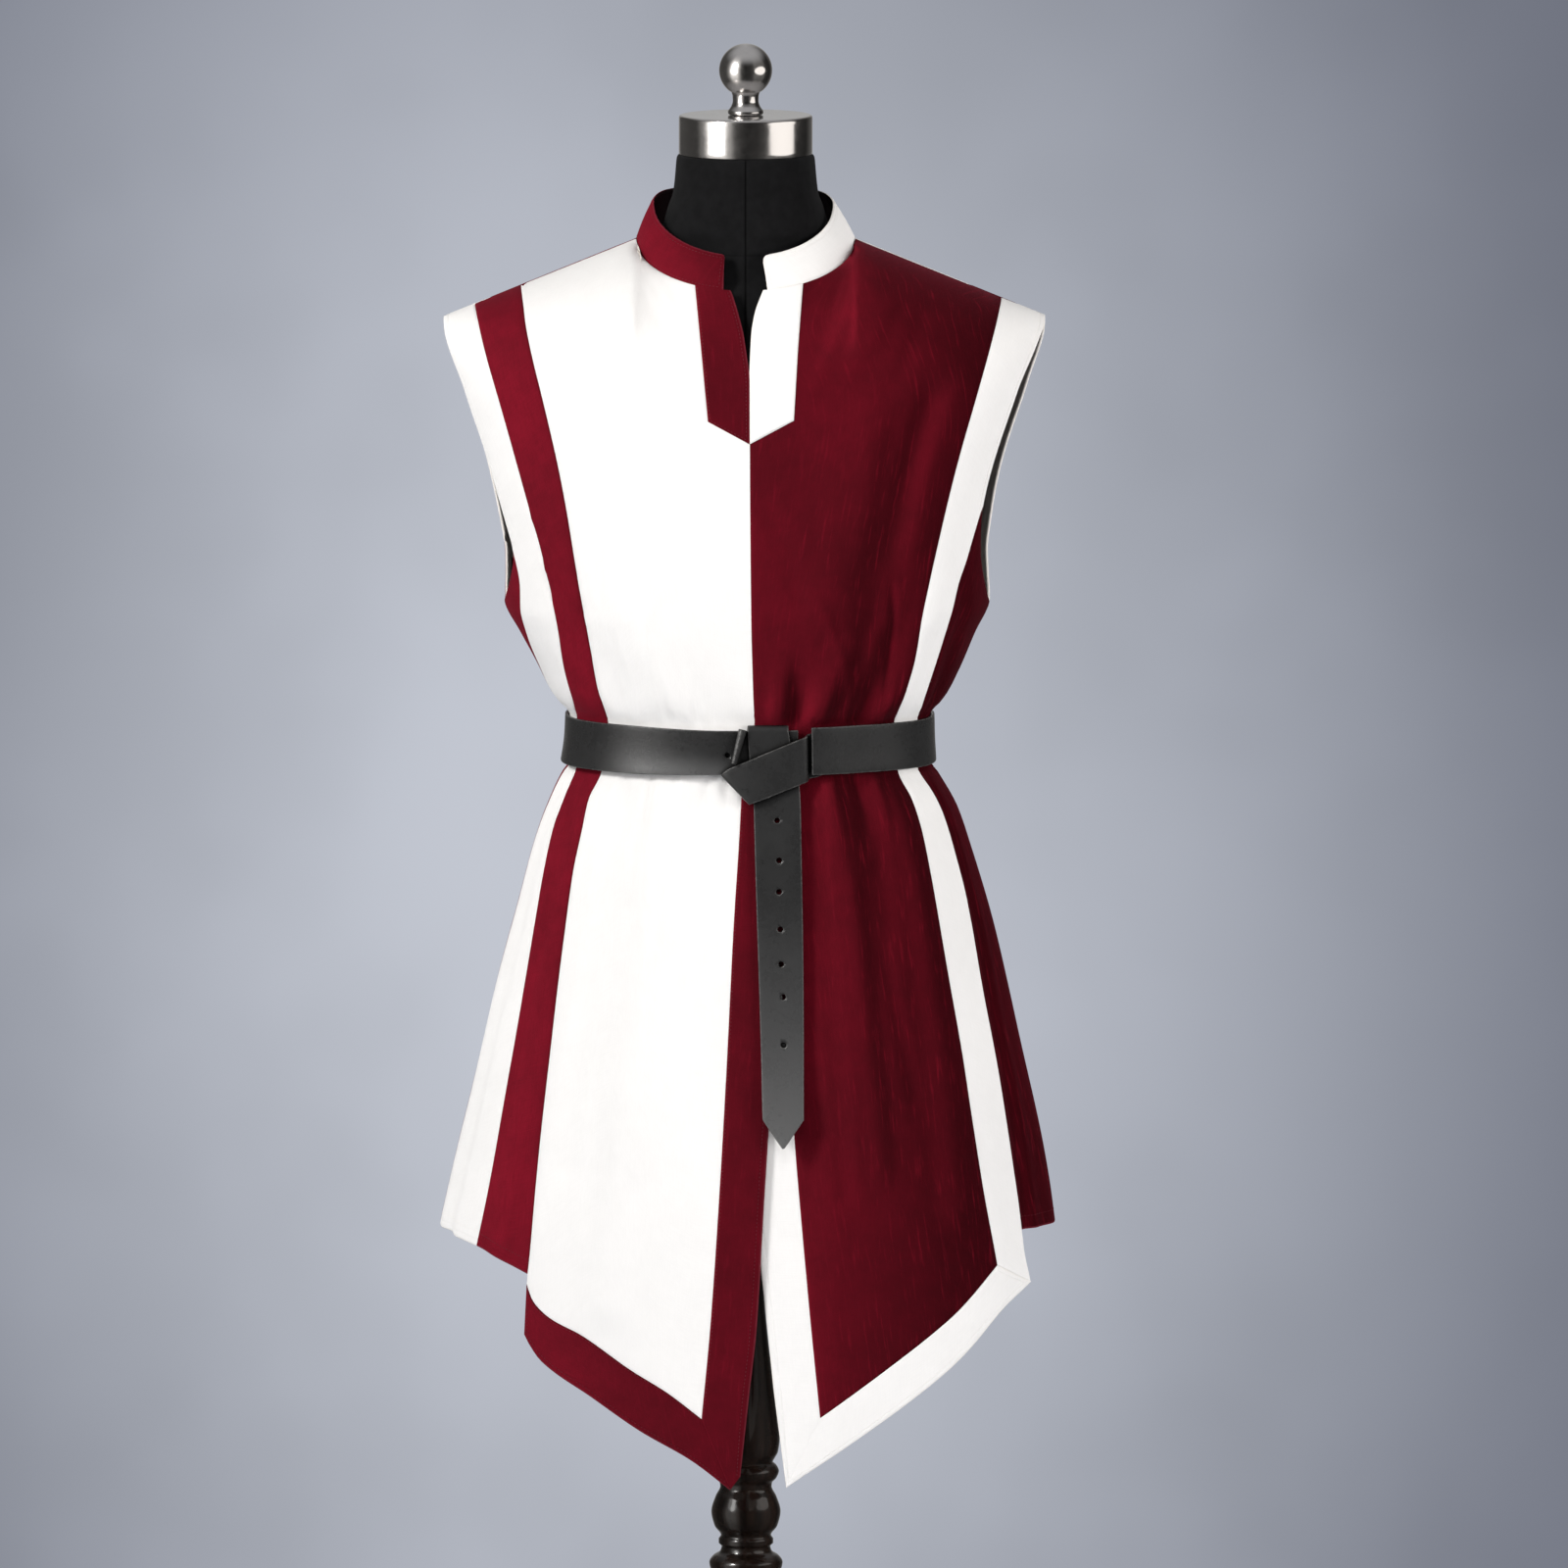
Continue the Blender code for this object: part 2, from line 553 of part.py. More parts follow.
def top_line(x, back):
    """Height and depth of the neckline or the shoulder seam at a distance x."""
    if abs(x) >= NECK_HALF:
        return NECK_SIDE_HEIGHT - SHOULDER_SLOPE * (abs(x) - NECK_HALF), 0.0
    share = neck_share(x)
    if back:
        return NECK_SIDE_HEIGHT + NECK_BACK_RISE * share, NECK_BACK * share
    return NECK_SIDE_HEIGHT - NECK_FRONT_DROP * share, -NECK_FRONT * share


def rounding(drop, x):
    """How far the cloth has come forward, 0 to 1, a given drop below its top line."""
    left = 1 - min(1.0, max(0.0, drop / SHOULDER_ROUND))
    over_shoulder = math.sqrt(1 - left * left)
    below_neck = 1 - left ** 1.6
    return lerp(below_neck, over_shoulder, smooth_step((abs(x) - 60) / 45))


def fold_reach(angle, height):
    """How far the soft folds push the cloth out at a place."""
    degrees = math.degrees(angle)
    total = 0.0
    for fold in FOLDS:
        share = (height - fold.low_height) / (fold.top_height - fold.low_height)
        within = min(1.0, max(0.0, share))
        past = abs(share - within) * (fold.top_height - fold.low_height)
        if past >= FOLD_FADE:
            continue
        middle = lerp(fold.low_angle, fold.top_angle, share)
        away = abs((degrees - middle + 180) % 360 - 180)
        if away < fold.half:
            bell = 0.5 + 0.5 * math.cos(math.pi * away / fold.half)
            reach = lerp(fold.low_out, fold.top_out, within)
            total += reach * bell * (1 - smooth_step(past / FOLD_FADE))
    from_belt = max(height - PINCH_TOP, PINCH_LOW - height)
    return total * lerp(BELT_PINCH, 1.0, smooth_step(from_belt / PINCH_FADE))


def outward(angle, height):
    """The level direction that points out of the coat's section at an angle."""
    step = 0.004
    run = COAT.point(angle + step, height) - COAT.point(angle - step, height)
    return Vector((-run.y, run.x, 0)).normalized() * -1


def coat_point(angle, height):
    """A point of the coat's outer surface."""
    point = COAT.point(angle, height)
    back = math.cos(angle) < 0
    top_height, top_depth = top_line(point.x, back)
    share = rounding(top_height - height, point.x)
    point.y = lerp(top_depth, point.y, share)
    reach = fold_reach(angle, height)
    return point + outward(angle, height) * reach if reach else point


def coat_normal(angle, height):
    """The direction that points out of the coat's surface."""
    turn, rise = 0.006, 1.0
    around = coat_point(angle + turn, height) - coat_point(angle - turn, height)
    up = coat_point(angle, height + rise) - coat_point(angle, height - rise)
    return around.cross(up).normalized()


# --- meshes -------------------------------------------------------------------------
def clear_scene():
    for obj in list(bpy.data.objects):
        bpy.data.objects.remove(obj, do_unlink=True)


def material(name, finish):
    """One Principled material with a finish's colour, roughness and metallic value."""
    made = bpy.data.materials.new(name)
    made.use_nodes = True
    shader = made.node_tree.nodes["Principled BSDF"]
    shader.inputs["Base Color"].default_value = (*finish.colour, 1.0)
    shader.inputs["Roughness"].default_value = finish.roughness
    shader.inputs["Metallic"].default_value = finish.metallic
    made.diffuse_color = (*finish.colour, 1.0)
    return made


def add_object(name, points, faces, finish):
    """A named object from points in millimetres."""
    mesh = bpy.data.meshes.new(name)
    mesh.from_pydata([tuple(point * MM) for point in points], [], faces)
    work = bmesh.new()
    work.from_mesh(mesh)
    bmesh.ops.recalc_face_normals(work, faces=work.faces)
    work.to_mesh(mesh)
    work.free()
    obj = bpy.data.objects.new(name, mesh)
    bpy.context.scene.collection.objects.link(obj)
    mesh.materials.append(material(name, finish))
    mesh.shade_smooth()
    mesh.set_sharp_from_angle(angle=math.radians(40))
    return obj


def wall(name, outer, inner, finish):
    """A closed wall between two grids of points, column by column."""
    columns, rows = len(outer), len(outer[0])
    points = [point for line in outer for point in line]
    points += [point for line in inner for point in line]
    half = columns * rows

    def at(column_index, row_index, layer):
        return column_index * rows + row_index + layer * half

    faces = []
    for i in range(columns - 1):
        for j in range(rows - 1):
            cell = ((i, j), (i + 1, j), (i + 1, j + 1), (i, j + 1))
            faces.append([at(*corner, 0) for corner in cell])
            faces.append([at(*corner, 1) for corner in reversed(cell)])
    rim = [(i, 0) for i in range(columns)]
    rim += [(columns - 1, j) for j in range(1, rows)]
    rim += [(i, rows - 1) for i in range(columns - 2, -1, -1)]
    rim += [(0, j) for j in range(rows - 2, 0, -1)]
    for here, there in zip(rim, rim[1:] + rim[:1]):
        corners = [at(*here, 0), at(*here, 1), at(*there, 1), at(*there, 0)]
        if points[corners[0]].z < points[corners[3]].z:
            corners = corners[1:] + corners[:1]
        faces.append([corners[0], corners[1], corners[2]])
        faces.append([corners[0], corners[2], corners[3]])
    return add_object(name, points, faces, finish)


def draw_in(grid, gap):
    """The grid with its border moved inwards, half a gap on every side."""
    moved = [[point.copy() for point in line] for line in grid]
    for line, new in zip(grid, moved):
        new[0] += (line[1] - line[0]).normalized() * gap / 2
        new[-1] += (line[-2] - line[-1]).normalized() * gap / 2
    for edge, beside in ((0, 1), (-1, -2)):
        for j, point in enumerate(grid[edge]):
            moved[edge][j] += (grid[beside][j] - point).normalized() * gap / 2
    return moved


def skin(name, rings, finish):
    """A closed skin over rings of points, from the top ring down."""
    steps = len(rings[0])
    points = [point for ring in rings for point in ring]
    faces = [list(range(steps)), list(range(len(points) - steps, len(points)))]
    for k in range(len(rings) - 1):
        for i in range(steps):
            after = (i + 1) % steps
            faces.append([k * steps + i, k * steps + after,
                          (k + 1) * steps + after, (k + 1) * steps + i])
    return add_object(name, points, faces, finish)


def turned(name, profile, finish, steps=TURNED_STEPS):
    """A turned piece on the stand's axis."""
    rings = []
    for turn in profile:
        ring = []
        for i in range(steps):
            angle = math.tau * i / steps
            ring.append(Vector((turn.radius * math.cos(angle), turn.radius * math.sin(angle),
                                turn.height)))
        rings.append(ring)
    return skin(name, rings, finish)


# --- cloth pieces -------------------------------------------------------------------
def seam(table, name, back=False):
    """A seam as a function of height that gives its angle round the coat."""
    curve = column(table, name)
    return lambda height: COAT.angle_of(curve.at(height), height, back)


def armhole(name):
    """An armhole's edge as a function of height that gives its angle."""
    curve = column(ARMHOLES, name)
    back = name.startswith("back")
    side = -1 if name.endswith("left") else 1
    return lambda height: side * COAT.angle_at_depth(max(0.0, curve.at(height)), height, back)


def below_armhole(lower, name, leaves):
    """A seam that runs along an armhole down to a height and leaves it there."""
    edge = armhole(name)
    return lambda height: edge(height) if height >= leaves else lower(height)


def line_height(table):
    """A lower line as a function of a point's distance x."""
    curve = column(table, "height")
    return lambda x: curve.at(x)


def meet(angle_at, height_of, low, high):
    """The height at which a column meets a line, found by halving."""
    for _ in range(40):
        middle = (low + high) / 2
        x = COAT.point(angle_at(middle), middle).x
        if middle > height_of(x):
            high = middle
        else:
            low = middle
    return (low + high) / 2


Piece = namedtuple("Piece", "name finish first second columns foot levels top_steps "
                            "foot_steps")


def between(first, second, share):
    """The angle as a function of height, part of the way between two seams."""
    return lambda height: lerp(first(height), second(height), share)


def even_columns(first, second, count, tops, ends=None):
    """Evenly spread columns, as (share, top height), each topped where it meets a line."""
    columns = []
    for k in range(count + 1):
        share = k / count
        columns.append((share, tops(between(first, second, share))))
    if ends:
        columns[0], columns[-1] = (0.0, ends[0]), (1.0, ends[1])
    return columns


def neck_columns(first, second, back, stops, counts):
    """Columns from the shoulder to the centre with some on the neckline's corners."""
    tops = from_shoulder(back)
    first_top, last_top = tops(first), tops(second)
    places = [COAT.point(first(first_top), first_top).x]
    last_x = COAT.point(second(last_top), last_top).x
    for stop, count in zip((*stops, last_x), counts):
        start = places[-1]
        places += [lerp(start, stop, (k + 1) / count) for k in range(count)]
    columns = [(0.0, first_top)]
    for x in places[1:-1]:
        top = top_line(x, back)[0]
        here = COAT.angle_of(x, top, back)
        columns.append(((here - first(top)) / (second(top) - first(top)), top))
    return [*columns, (1.0, last_top)]


def piece_columns(piece):
    """For each column of a piece, its list of (angle, height) places, top first."""
    places = []
    for share, top in piece.columns:
        angle_at = between(piece.first, piece.second, share)
        foot = piece.foot(angle_at)
        heights = [lerp(top, piece.levels[0], step) for step in piece.top_steps]
        heights += piece.levels
        heights += [lerp(piece.levels[-1], foot, step) for step in piece.foot_steps]
        places.append([(angle_at(height), height) for height in heights])
    return places


def under_layer(point):
    """How deep the right front lies under the left one near the slit."""
    down = smooth_step((1018 - point.z) / 26)
    near = 1 - smooth_step((point.x - 40) / 40)
    return OVERLAP_DEPTH * down * near


def cloth_grids(places, lift=0.0, thickness=CLOTH, under=False, shoulder=False):
    """Outer and inner grids of a wall of cloth at given places on the coat."""
    outer, normals = [], []
    for line in places:
        points, ups = [], []
        for k, (angle, height) in enumerate(line):
            point = coat_point(angle, height)
            top = k == 0 and shoulder
            normal = coat_normal(angle, height - 2.0 if top else height)
            if top and abs(point.x) >= NECK_HALF - 0.5:
                side = math.copysign(SHOULDER_SLOPE, point.x)
                normal = Vector((side, 0, 1)).normalized()
            depth = under_layer(point) if under else 0.0
            points.append(point + normal * (lift - depth))
            ups.append(normal)
        outer.append(points)
        normals.append(ups)
    outer = draw_in(outer, SEAM_GAP)
    inner = []
    for line, ups in zip(outer, normals):
        inner.append([point - normal * thickness for point, normal in zip(line, ups)])
    return outer, inner


def from_shoulder(back):
    """Tops on the shoulder seam or the neckline."""
    return lambda angle_at: meet(angle_at, lambda x: top_line(x, back)[0], 1330, 1450)


def foot_on(table, low=340, high=LAST_LEVEL):
    """Feet on a lower line."""
    height_of = line_height(table)
    return lambda angle_at: meet(angle_at, height_of, low, high)


def level_at(height):
    return lambda angle_at: height


def steps_from(reference, anchor=WAIST_ANCHOR):
    """Steps between an armhole and an anchor that match the shared levels."""
    return [(reference - level) / (reference - anchor) for level in LEVELS
            if anchor < level <= reference]


def levels_below(top, bottom=LAST_LEVEL):
    return [level for level in LEVELS if bottom <= level <= top]


left_outer = seam(FRONT_SEAMS, "left_outer")
left_inner = seam(FRONT_SEAMS, "left_inner")
right_inner = seam(FRONT_SEAMS, "right_inner")
right_outer = below_armhole(seam(FRONT_SEAMS, "right_outer"), "front_right",
                            RIGHT_STRIPE_LEAVES)
back_left_outer = below_armhole(seam(BACK_SEAMS, "left_outer", back=True), "back_left",
                                ARM_SEAM_HEIGHT)
back_left_inner = seam(BACK_SEAMS, "left_inner", back=True)
back_right_inner = seam(BACK_SEAMS, "right_inner", back=True)
back_right_outer = seam(BACK_SEAMS, "right_outer", back=True)
left_front_edge = seam(FRONT_EDGES, "left")
right_front_edge = seam(FRONT_EDGES, "right")
left_slit_edge = seam(SLIT_EDGES, "left")
right_slit_edge = seam(SLIT_EDGES, "right")
left_placket_edge = seam(PLACKET_EDGES, "left")
right_placket_edge = seam(PLACKET_EDGES, "right")
left_side_curve = column(LEFT_SIDE_SEAM, "angle")
left_side_seam = below_armhole(lambda height: math.radians(left_side_curve.at(height)),
                               "front_left", ARM_SEAM_HEIGHT)


def right_side_seam(_height):
    return math.pi / 2


right_back_edge = below_armhole(right_side_seam, "back_right", UNDERARM)


def centre_back(side):
    return lambda height: side * math.pi


def armhole_tops(spots):
    """Tops that follow an armhole's low curve, from rows of (angle, height)."""
    curve = Curve(spots)
    return lambda angle_at: meet_angle(angle_at, curve)


def meet_angle(angle_at, curve):
    """The height at which a column meets a curve of heights over angles."""
    low, high = WAIST_ANCHOR, 1240.0
    for _ in range(40):
        middle = (low + high) / 2
        if middle > curve.at(angle_at(middle)):
            high = middle
        else:
            low = middle
    return (low + high) / 2


def low_armhole(front, back=None):
    """Heights over angles of an armhole's low curve, on either side of the underarm."""
    heights = (1201, 1183, 1165, 1150, 1138, 1127, 1119, 1115.4)
    spots = [(armhole(front)(height), height) for height in heights]
    spots.append((math.copysign(math.pi / 2, spots[0][0]), UNDERARM))
    if back:
        spots += [(armhole(back)(height), height) for height in reversed(heights)]
    return spots


def front_panels():
    """The two front panels, from the shoulder to their slanted feet."""
    levels = levels_below(LEVELS[0])
    left_columns = neck_columns(left_inner, left_front_edge, False,
                                (-NECK_HALF, -COLLAR_END), (4, 6, 1))
    right_columns = neck_columns(right_inner, right_front_edge, False,
                                 (NECK_HALF, COLLAR_END), (4, 6, 1))
    return (
        Piece("front_panel_white", WHITE, left_inner, left_front_edge, left_columns,
              foot_on(LEFT_PANEL_FOOT), levels, SHOULDER_STEPS, FOOT_STEPS),
        Piece("front_panel_burgundy", BURGUNDY, right_inner, right_front_edge,
              right_columns, foot_on(RIGHT_PANEL_FOOT), levels, SHOULDER_STEPS, FOOT_STEPS),
    )


def back_panels():
    """The two back panels, from the shoulder to a level hem."""
    levels = levels_below(LEVELS[0])
    left_edge, right_edge = centre_back(-1), centre_back(1)
    left_columns = neck_columns(back_left_inner, left_edge, True, (-NECK_HALF,), (4, 6))
    right_columns = neck_columns(back_right_inner, right_edge, True, (NECK_HALF,), (4, 6))
    return (
        Piece("back_panel_burgundy", BURGUNDY, back_left_inner, left_edge, left_columns,
              level_at(BACK_HEM), levels, SHOULDER_STEPS, HEM_STEPS),
        Piece("back_panel_white", WHITE, back_right_inner, right_edge, right_columns,
              level_at(BACK_HEM), levels, SHOULDER_STEPS, HEM_STEPS),
    )


def stripes():
    """The four narrow stripes that run from the shoulders to the hem."""
    levels = levels_below(LEVELS[0])
    pieces = []
    for name, finish, first, second, back, foot in (
            ("front_stripe_burgundy", BURGUNDY, left_outer, left_inner, False,
             foot_on(LEFT_SIDE_HEM)),
            ("front_stripe_white", WHITE, right_inner, right_outer, False,
             foot_on(RIGHT_STRIPE_FOOT)),
            ("back_stripe_white", WHITE, back_left_outer, back_left_inner, True,
             level_at(BACK_HEM)),
            ("back_stripe_burgundy", BURGUNDY, back_right_inner, back_right_outer, True,
             level_at(BACK_HEM))):
        columns = even_columns(first, second, 2, from_shoulder(back))
        pieces.append(Piece(name, finish, first, second, columns, foot, levels,
                            SHOULDER_STEPS, HEM_STEPS))
    return pieces


def high_sides():
    """The two side pieces that reach the shoulder."""
    levels = levels_below(LEVELS[0])
    front = even_columns(left_side_seam, left_outer, 4, from_shoulder(False))
    back = even_columns(right_back_edge, back_right_outer, 4, from_shoulder(True))
    return (
        Piece("front_side_white", WHITE, left_side_seam, left_outer, front,
              foot_on(LEFT_SIDE_HEM), levels, SHOULDER_STEPS, HEM_STEPS),
        Piece("back_side_white", WHITE, right_back_edge, back_right_outer, back,
              level_at(BACK_HEM), levels, SHOULDER_STEPS, HEM_STEPS),
    )


def low_sides():
    """The two side pieces that start at the armholes' low curves."""
    levels = levels_below(WAIST_ANCHOR)
    front = even_columns(right_outer, right_side_seam, 5,
                         armhole_tops(low_armhole("front_right")),
                         (RIGHT_STRIPE_LEAVES, UNDERARM))
    back = even_columns(back_left_outer, left_side_seam, 6,
                        armhole_tops(low_armhole("front_left", "back_left")),
                        (ARM_SEAM_HEIGHT, ARM_SEAM_HEIGHT))
    return (
        Piece("front_side_burgundy", BURGUNDY, right_outer, right_side_seam, front,
              foot_on(RIGHT_SIDE_HEM), levels, steps_from(RIGHT_STRIPE_LEAVES), HEM_STEPS),
        Piece("back_side_burgundy", BURGUNDY, back_left_outer, left_side_seam, back,
              level_at(BACK_HEM), levels, steps_from(ARM_SEAM_HEIGHT), HEM_STEPS),
    )


def build_panels():
    """Every cut panel of the coat; returns each one's top and bottom edges by name."""
    edges = {}
    under = {"front_panel_burgundy"}
    pieces = (*front_panels(), *back_panels(), *stripes(), *high_sides(), *low_sides())
    for piece in pieces:
        places = piece_columns(piece)
        from_top = piece.top_steps is SHOULDER_STEPS
        outer, inner = cloth_grids(places, under=piece.name in under, shoulder=from_top)
        wall(piece.name, outer, inner, piece.finish)
        edges[piece.name] = ([coat_point(*line[0]) for line in places],
                             [line[-1] for line in places])
    return edges


def build_plackets():
    """The two facings beside the neck opening, laid on the front panels."""
    levels = [LEVELS[0]]
    tops = from_shoulder(False)
    for name, finish, first, second in (
            ("placket_burgundy", BURGUNDY, left_placket_edge, left_front_edge),
            ("placket_white", WHITE, right_placket_edge, right_front_edge)):
        columns = [(share, top - TOP_INSET) for share, top
                   in even_columns(first, second, 2, tops)]
        piece = Piece(name, finish, first, second, columns,
                      foot_on(PLACKET_FOOT, 1240, 1300), levels, SHOULDER_STEPS, (0.5, 1.0))
        outer, inner = cloth_grids(piece_columns(piece), lift=FACING_LIFT + FACING,
                                   thickness=FACING)
        wall(name, outer, inner, finish)


def build_slit_bands():
    """The contrasting bands down the two edges of the skirt's slit."""
    levels = [level for level in LEVELS if level < SLIT_TOP] + [560, 500, 452]
    for name, finish, seam_edge, free_edge, corners, under in (
            ("slit_band_burgundy", BURGUNDY, left_front_edge, left_slit_edge,
             ((-38.0, 424.8), (-13.2, 363.8), (-4.9, 375.0)), False),
            ("slit_band_white", WHITE, right_front_edge, right_slit_edge,
             ((64.7, 424.9), (50.0, 394.6), (35.7, 365.4)), True)):
        columns = [(share, SLIT_TOP) for share in (0.0, 0.6, 1.0)]
        piece = Piece(name, finish, seam_edge, free_edge, columns, level_at(452), levels,
                      (0.0,), ())
        places = piece_columns(piece)
        for line, (x, height) in zip(places, corners):
            line.append((COAT.angle_of(x, height), height))
        outer, inner = cloth_grids(places, under=under)
        wall(name, outer, inner, finish)


def build_hem_bands(edges):
    """The contrasting bands along the slanted feet of the two fronts."""
    for name, finish, panel, lower, under in (
            ("hem_band_burgundy", BURGUNDY, "front_panel_white", LEFT_BAND_FOOT, False),
            ("hem_band_white", WHITE, "front_panel_burgundy", RIGHT_BAND_FOOT[::-1], True)):
        upper = [(COAT.point(*place).x, place[1]) for place in edges[panel][1]]
        lower_line = line_height(lower)
        places = []
        for x_upper, z_upper in upper:
            share = (x_upper - upper[0][0]) / (upper[-1][0] - upper[0][0])
            x_lower = lerp(lower[0].x, lower[-1].x, share)
            z_lower = lower_line(x_lower)
            line = []
            for t in (0.0, 0.5, 1.0):
                height = lerp(z_upper, z_lower, t)
                line.append((COAT.angle_of(lerp(x_upper, x_lower, t), height), height))
            places.append(line)
        outer, inner = cloth_grids(places, under=under)
        wall(name, outer, inner, finish)


def collar_top(base, back):
    """The collar's upper edge above a point of the neckline."""
    across = base.x / NECK_HALF
    along = abs(base.y) / (NECK_BACK if back else NECK_FRONT)
    depth = COLLAR_TOP_BACK if back else -COLLAR_TOP_FRONT
    x = COLLAR_TOP_CENTRE + COLLAR_TOP_HALF * across
    y = depth * along
    level = math.hypot(x - base.x, y - base.y)
    return Vector((x, y, base.z + math.sqrt(COLLAR_SLANT ** 2 - level ** 2)))


def build_collar(edges):
    """The two halves of the stand collar, made from the panels' neckline points."""
    for name, finish, front, back in (
            ("collar_burgundy", BURGUNDY, "front_panel_white", "back_panel_burgundy"),
            ("collar_white", WHITE, "front_panel_burgundy", "back_panel_white")):
        front_points = [point for point in edges[front][0]
                        if COLLAR_END - 1 <= abs(point.x) <= NECK_HALF + 0.5]
        back_points = [point for point in edges[back][0]
                       if abs(point.x) < NECK_HALF - 0.5]
        bases = [(point, False) for point in reversed(front_points)]
        bases += [(point, True) for point in back_points]
        outer = []
        for base, at_back in bases:
            top = collar_top(base, at_back)
            away = Vector((base.x, base.y, 0)).normalized()
            foot = base + (top - base).normalized() * SEAM_GAP
            middle = (foot + top) / 2 + away * COLLAR_BOW
            outer.append([foot, middle, top])
        inner = []
        for i, line in enumerate(outer):
            before, after = outer[max(0, i - 1)], outer[min(len(outer) - 1, i + 1)]
            thin = []
            for j, point in enumerate(line):
                around = after[j] - before[j]
                normal = around.cross(line[-1] - line[0]).normalized()
                if normal.dot(Vector((point.x, point.y, 0))) < 0:
                    normal.negate()
                thin.append(point - normal * COLLAR_WALL)
            inner.append(thin)
        outer_end, inner_end = outer[-1], inner[-1]
        shift = math.copysign(SEAM_GAP / 2, bases[0][0].x)
        for point in (*outer_end, *inner_end):
            point.x = shift
        wall(name, outer, inner, finish)


# --- belt ---------------------------------------------------------------------------
def belt_point(angle, height, stand):
    """A point a given distance outside the coat's section at the belt."""
    point = COAT.point(angle, BELT_HEIGHT)
    point += outward(angle, BELT_HEIGHT) * stand
    point.z = height
    return point


def on_belt(x, height, stand):
    """A point in front of the coat at a distance x, a given way off its section."""
    return belt_point(COAT.angle_of(x, BELT_HEIGHT), height, stand)


def strap_stand(share, x):
    """How far the strap's inner face stands off: its right end lifts over the knot."""
    if share > 0.5:
        return BELT_EASE
    return BELT_EASE + STRAP_RIGHT_LIFT * (1 - smooth_step((x - STRAP_RIGHT_END)
                                                          / STRAP_LIFT_RUN))


def build_strap():
    """The belt's strap, from the knot's right side round the back and in under it."""
    start = COAT.angle_of(STRAP_RIGHT_END, BELT_HEIGHT)
    end = COAT.angle_of(STRAP_LEFT_END, BELT_HEIGHT) + math.tau
    low, high = BELT_HEIGHT - BELT_WIDTH / 2, BELT_HEIGHT + BELT_WIDTH / 2
    outer, inner = [], []
    for i in range(BELT_STEPS + 1):
        share = i / BELT_STEPS
        angle = lerp(start, end, share)
        stand = strap_stand(share, belt_point(angle, BELT_HEIGHT, 0.0).x)
        lines = ([], [])
        for height in (high, BELT_HEIGHT, low):
            lines[0].append(belt_point(angle, height, stand + LEATHER))
            lines[1].append(belt_point(angle, height, stand))
        outer.append(lines[0])
        inner.append(lines[1])
    wall("belt_strap", outer, inner, LEATHER_BLACK)


def build_roll():
    """The fold that stands on the strap beside the knot, a small tube with open ends."""
    stand = BELT_EASE + LEATHER + SEAM_GAP + ROLL_RADIUS
    top, low = on_belt(*ROLL_TOP, stand), on_belt(*ROLL_LOW, stand)
    axis = (low - top).normalized()
    side = axis.cross(Vector((0, 1, 0))).normalized()
    front = side.cross(axis)
    points, faces = [], []
    for centre in (top, low):
        for radius in (ROLL_RADIUS, ROLL_HOLE):
            for i in range(ROLL_STEPS):
                angle = math.tau * i / ROLL_STEPS
                points.append(centre + side * radius * math.cos(angle)
                              + front * radius * math.sin(angle))
    rings = [range(k * ROLL_STEPS, (k + 1) * ROLL_STEPS) for k in range(4)]
    for first, second in ((0, 2), (2, 3), (3, 1), (1, 0)):
        for i in range(ROLL_STEPS):
            after = (i + 1) % ROLL_STEPS
            faces.append([rings[first][i], rings[first][after],
                          rings[second][after], rings[second][i]])
    add_object("belt_knot_roll", points, faces, LEATHER_BLACK)


def build_band():
    """The strap laid across the knot, over the hanging end."""
    outer, inner = [], []
    for row in BAND_ROWS:
        lines = ([], [])
        for share in (0.0, 0.5, 1.0):
            x = lerp(row.top_x, row.low_x, share)
            height = lerp(row.top_height, row.low_height, share)
            stand = lerp(row.top_stand, row.low_stand, share)
            lines[0].append(on_belt(x, height, stand + LEATHER))
            lines[1].append(on_belt(x, height, stand))
        outer.append(lines[0])
        inner.append(lines[1])
    wall("belt_knot_band", outer, inner, LEATHER_BLACK)


def tail_depth(x, height):
    """The inner face of the hanging strap: clear of the belt's plane and the skirt."""
    belt = on_belt(x, height, BELT_EASE + LEATHER + SEAM_GAP).y
    if height > BELT_HEIGHT - BELT_WIDTH / 2:
        return belt
    skirt = COAT.point(COAT.angle_of(x, height), height).y - TAIL_CLEARANCE
    return min(belt, skirt)


def build_tail():
    """The hanging end, with its row of punched holes."""
    outer, inner = [], []
    for share in (0.0, 0.5, 1.0):
        lines = ([], [])
        for row in TAIL_ROWS:
            x = lerp(row.left, row.right, share)
            middle = (row.left + row.right) / 2
            flat = smooth_step((BELT_HEIGHT - row.height) / 120)
            depth = lerp(tail_depth(x, row.height), tail_depth(middle, row.height), flat)
            lines[0].append(Vector((x, depth - LEATHER, row.height)))
            lines[1].append(Vector((x, depth, row.height)))
        outer.append(lines[0])
        inner.append(lines[1])
    tail = wall("belt_tail", outer, inner, LEATHER_BLACK)
    for k, hole in enumerate(TAIL_HOLES):
        depth = tail_depth(hole.x, hole.height)
        bpy.ops.mesh.primitive_cylinder_add(vertices=10, radius=HOLE_DIAMETER / 2 * MM,
                                            depth=12 * MM, rotation=(math.pi / 2, 0, 0))
        cutter = bpy.context.object
        cutter.name = f"hole_cutter_{k + 1}"
        cutter.location = Vector((hole.x, depth - LEATHER / 2, hole.height)) * MM
        cutter.hide_render = True
        cutter.display_type = "WIRE"
        cut = tail.modifiers.new(cutter.name, "BOOLEAN")
        cut.operation = "DIFFERENCE"
        cut.solver = "EXACT"
        cut.object = cutter


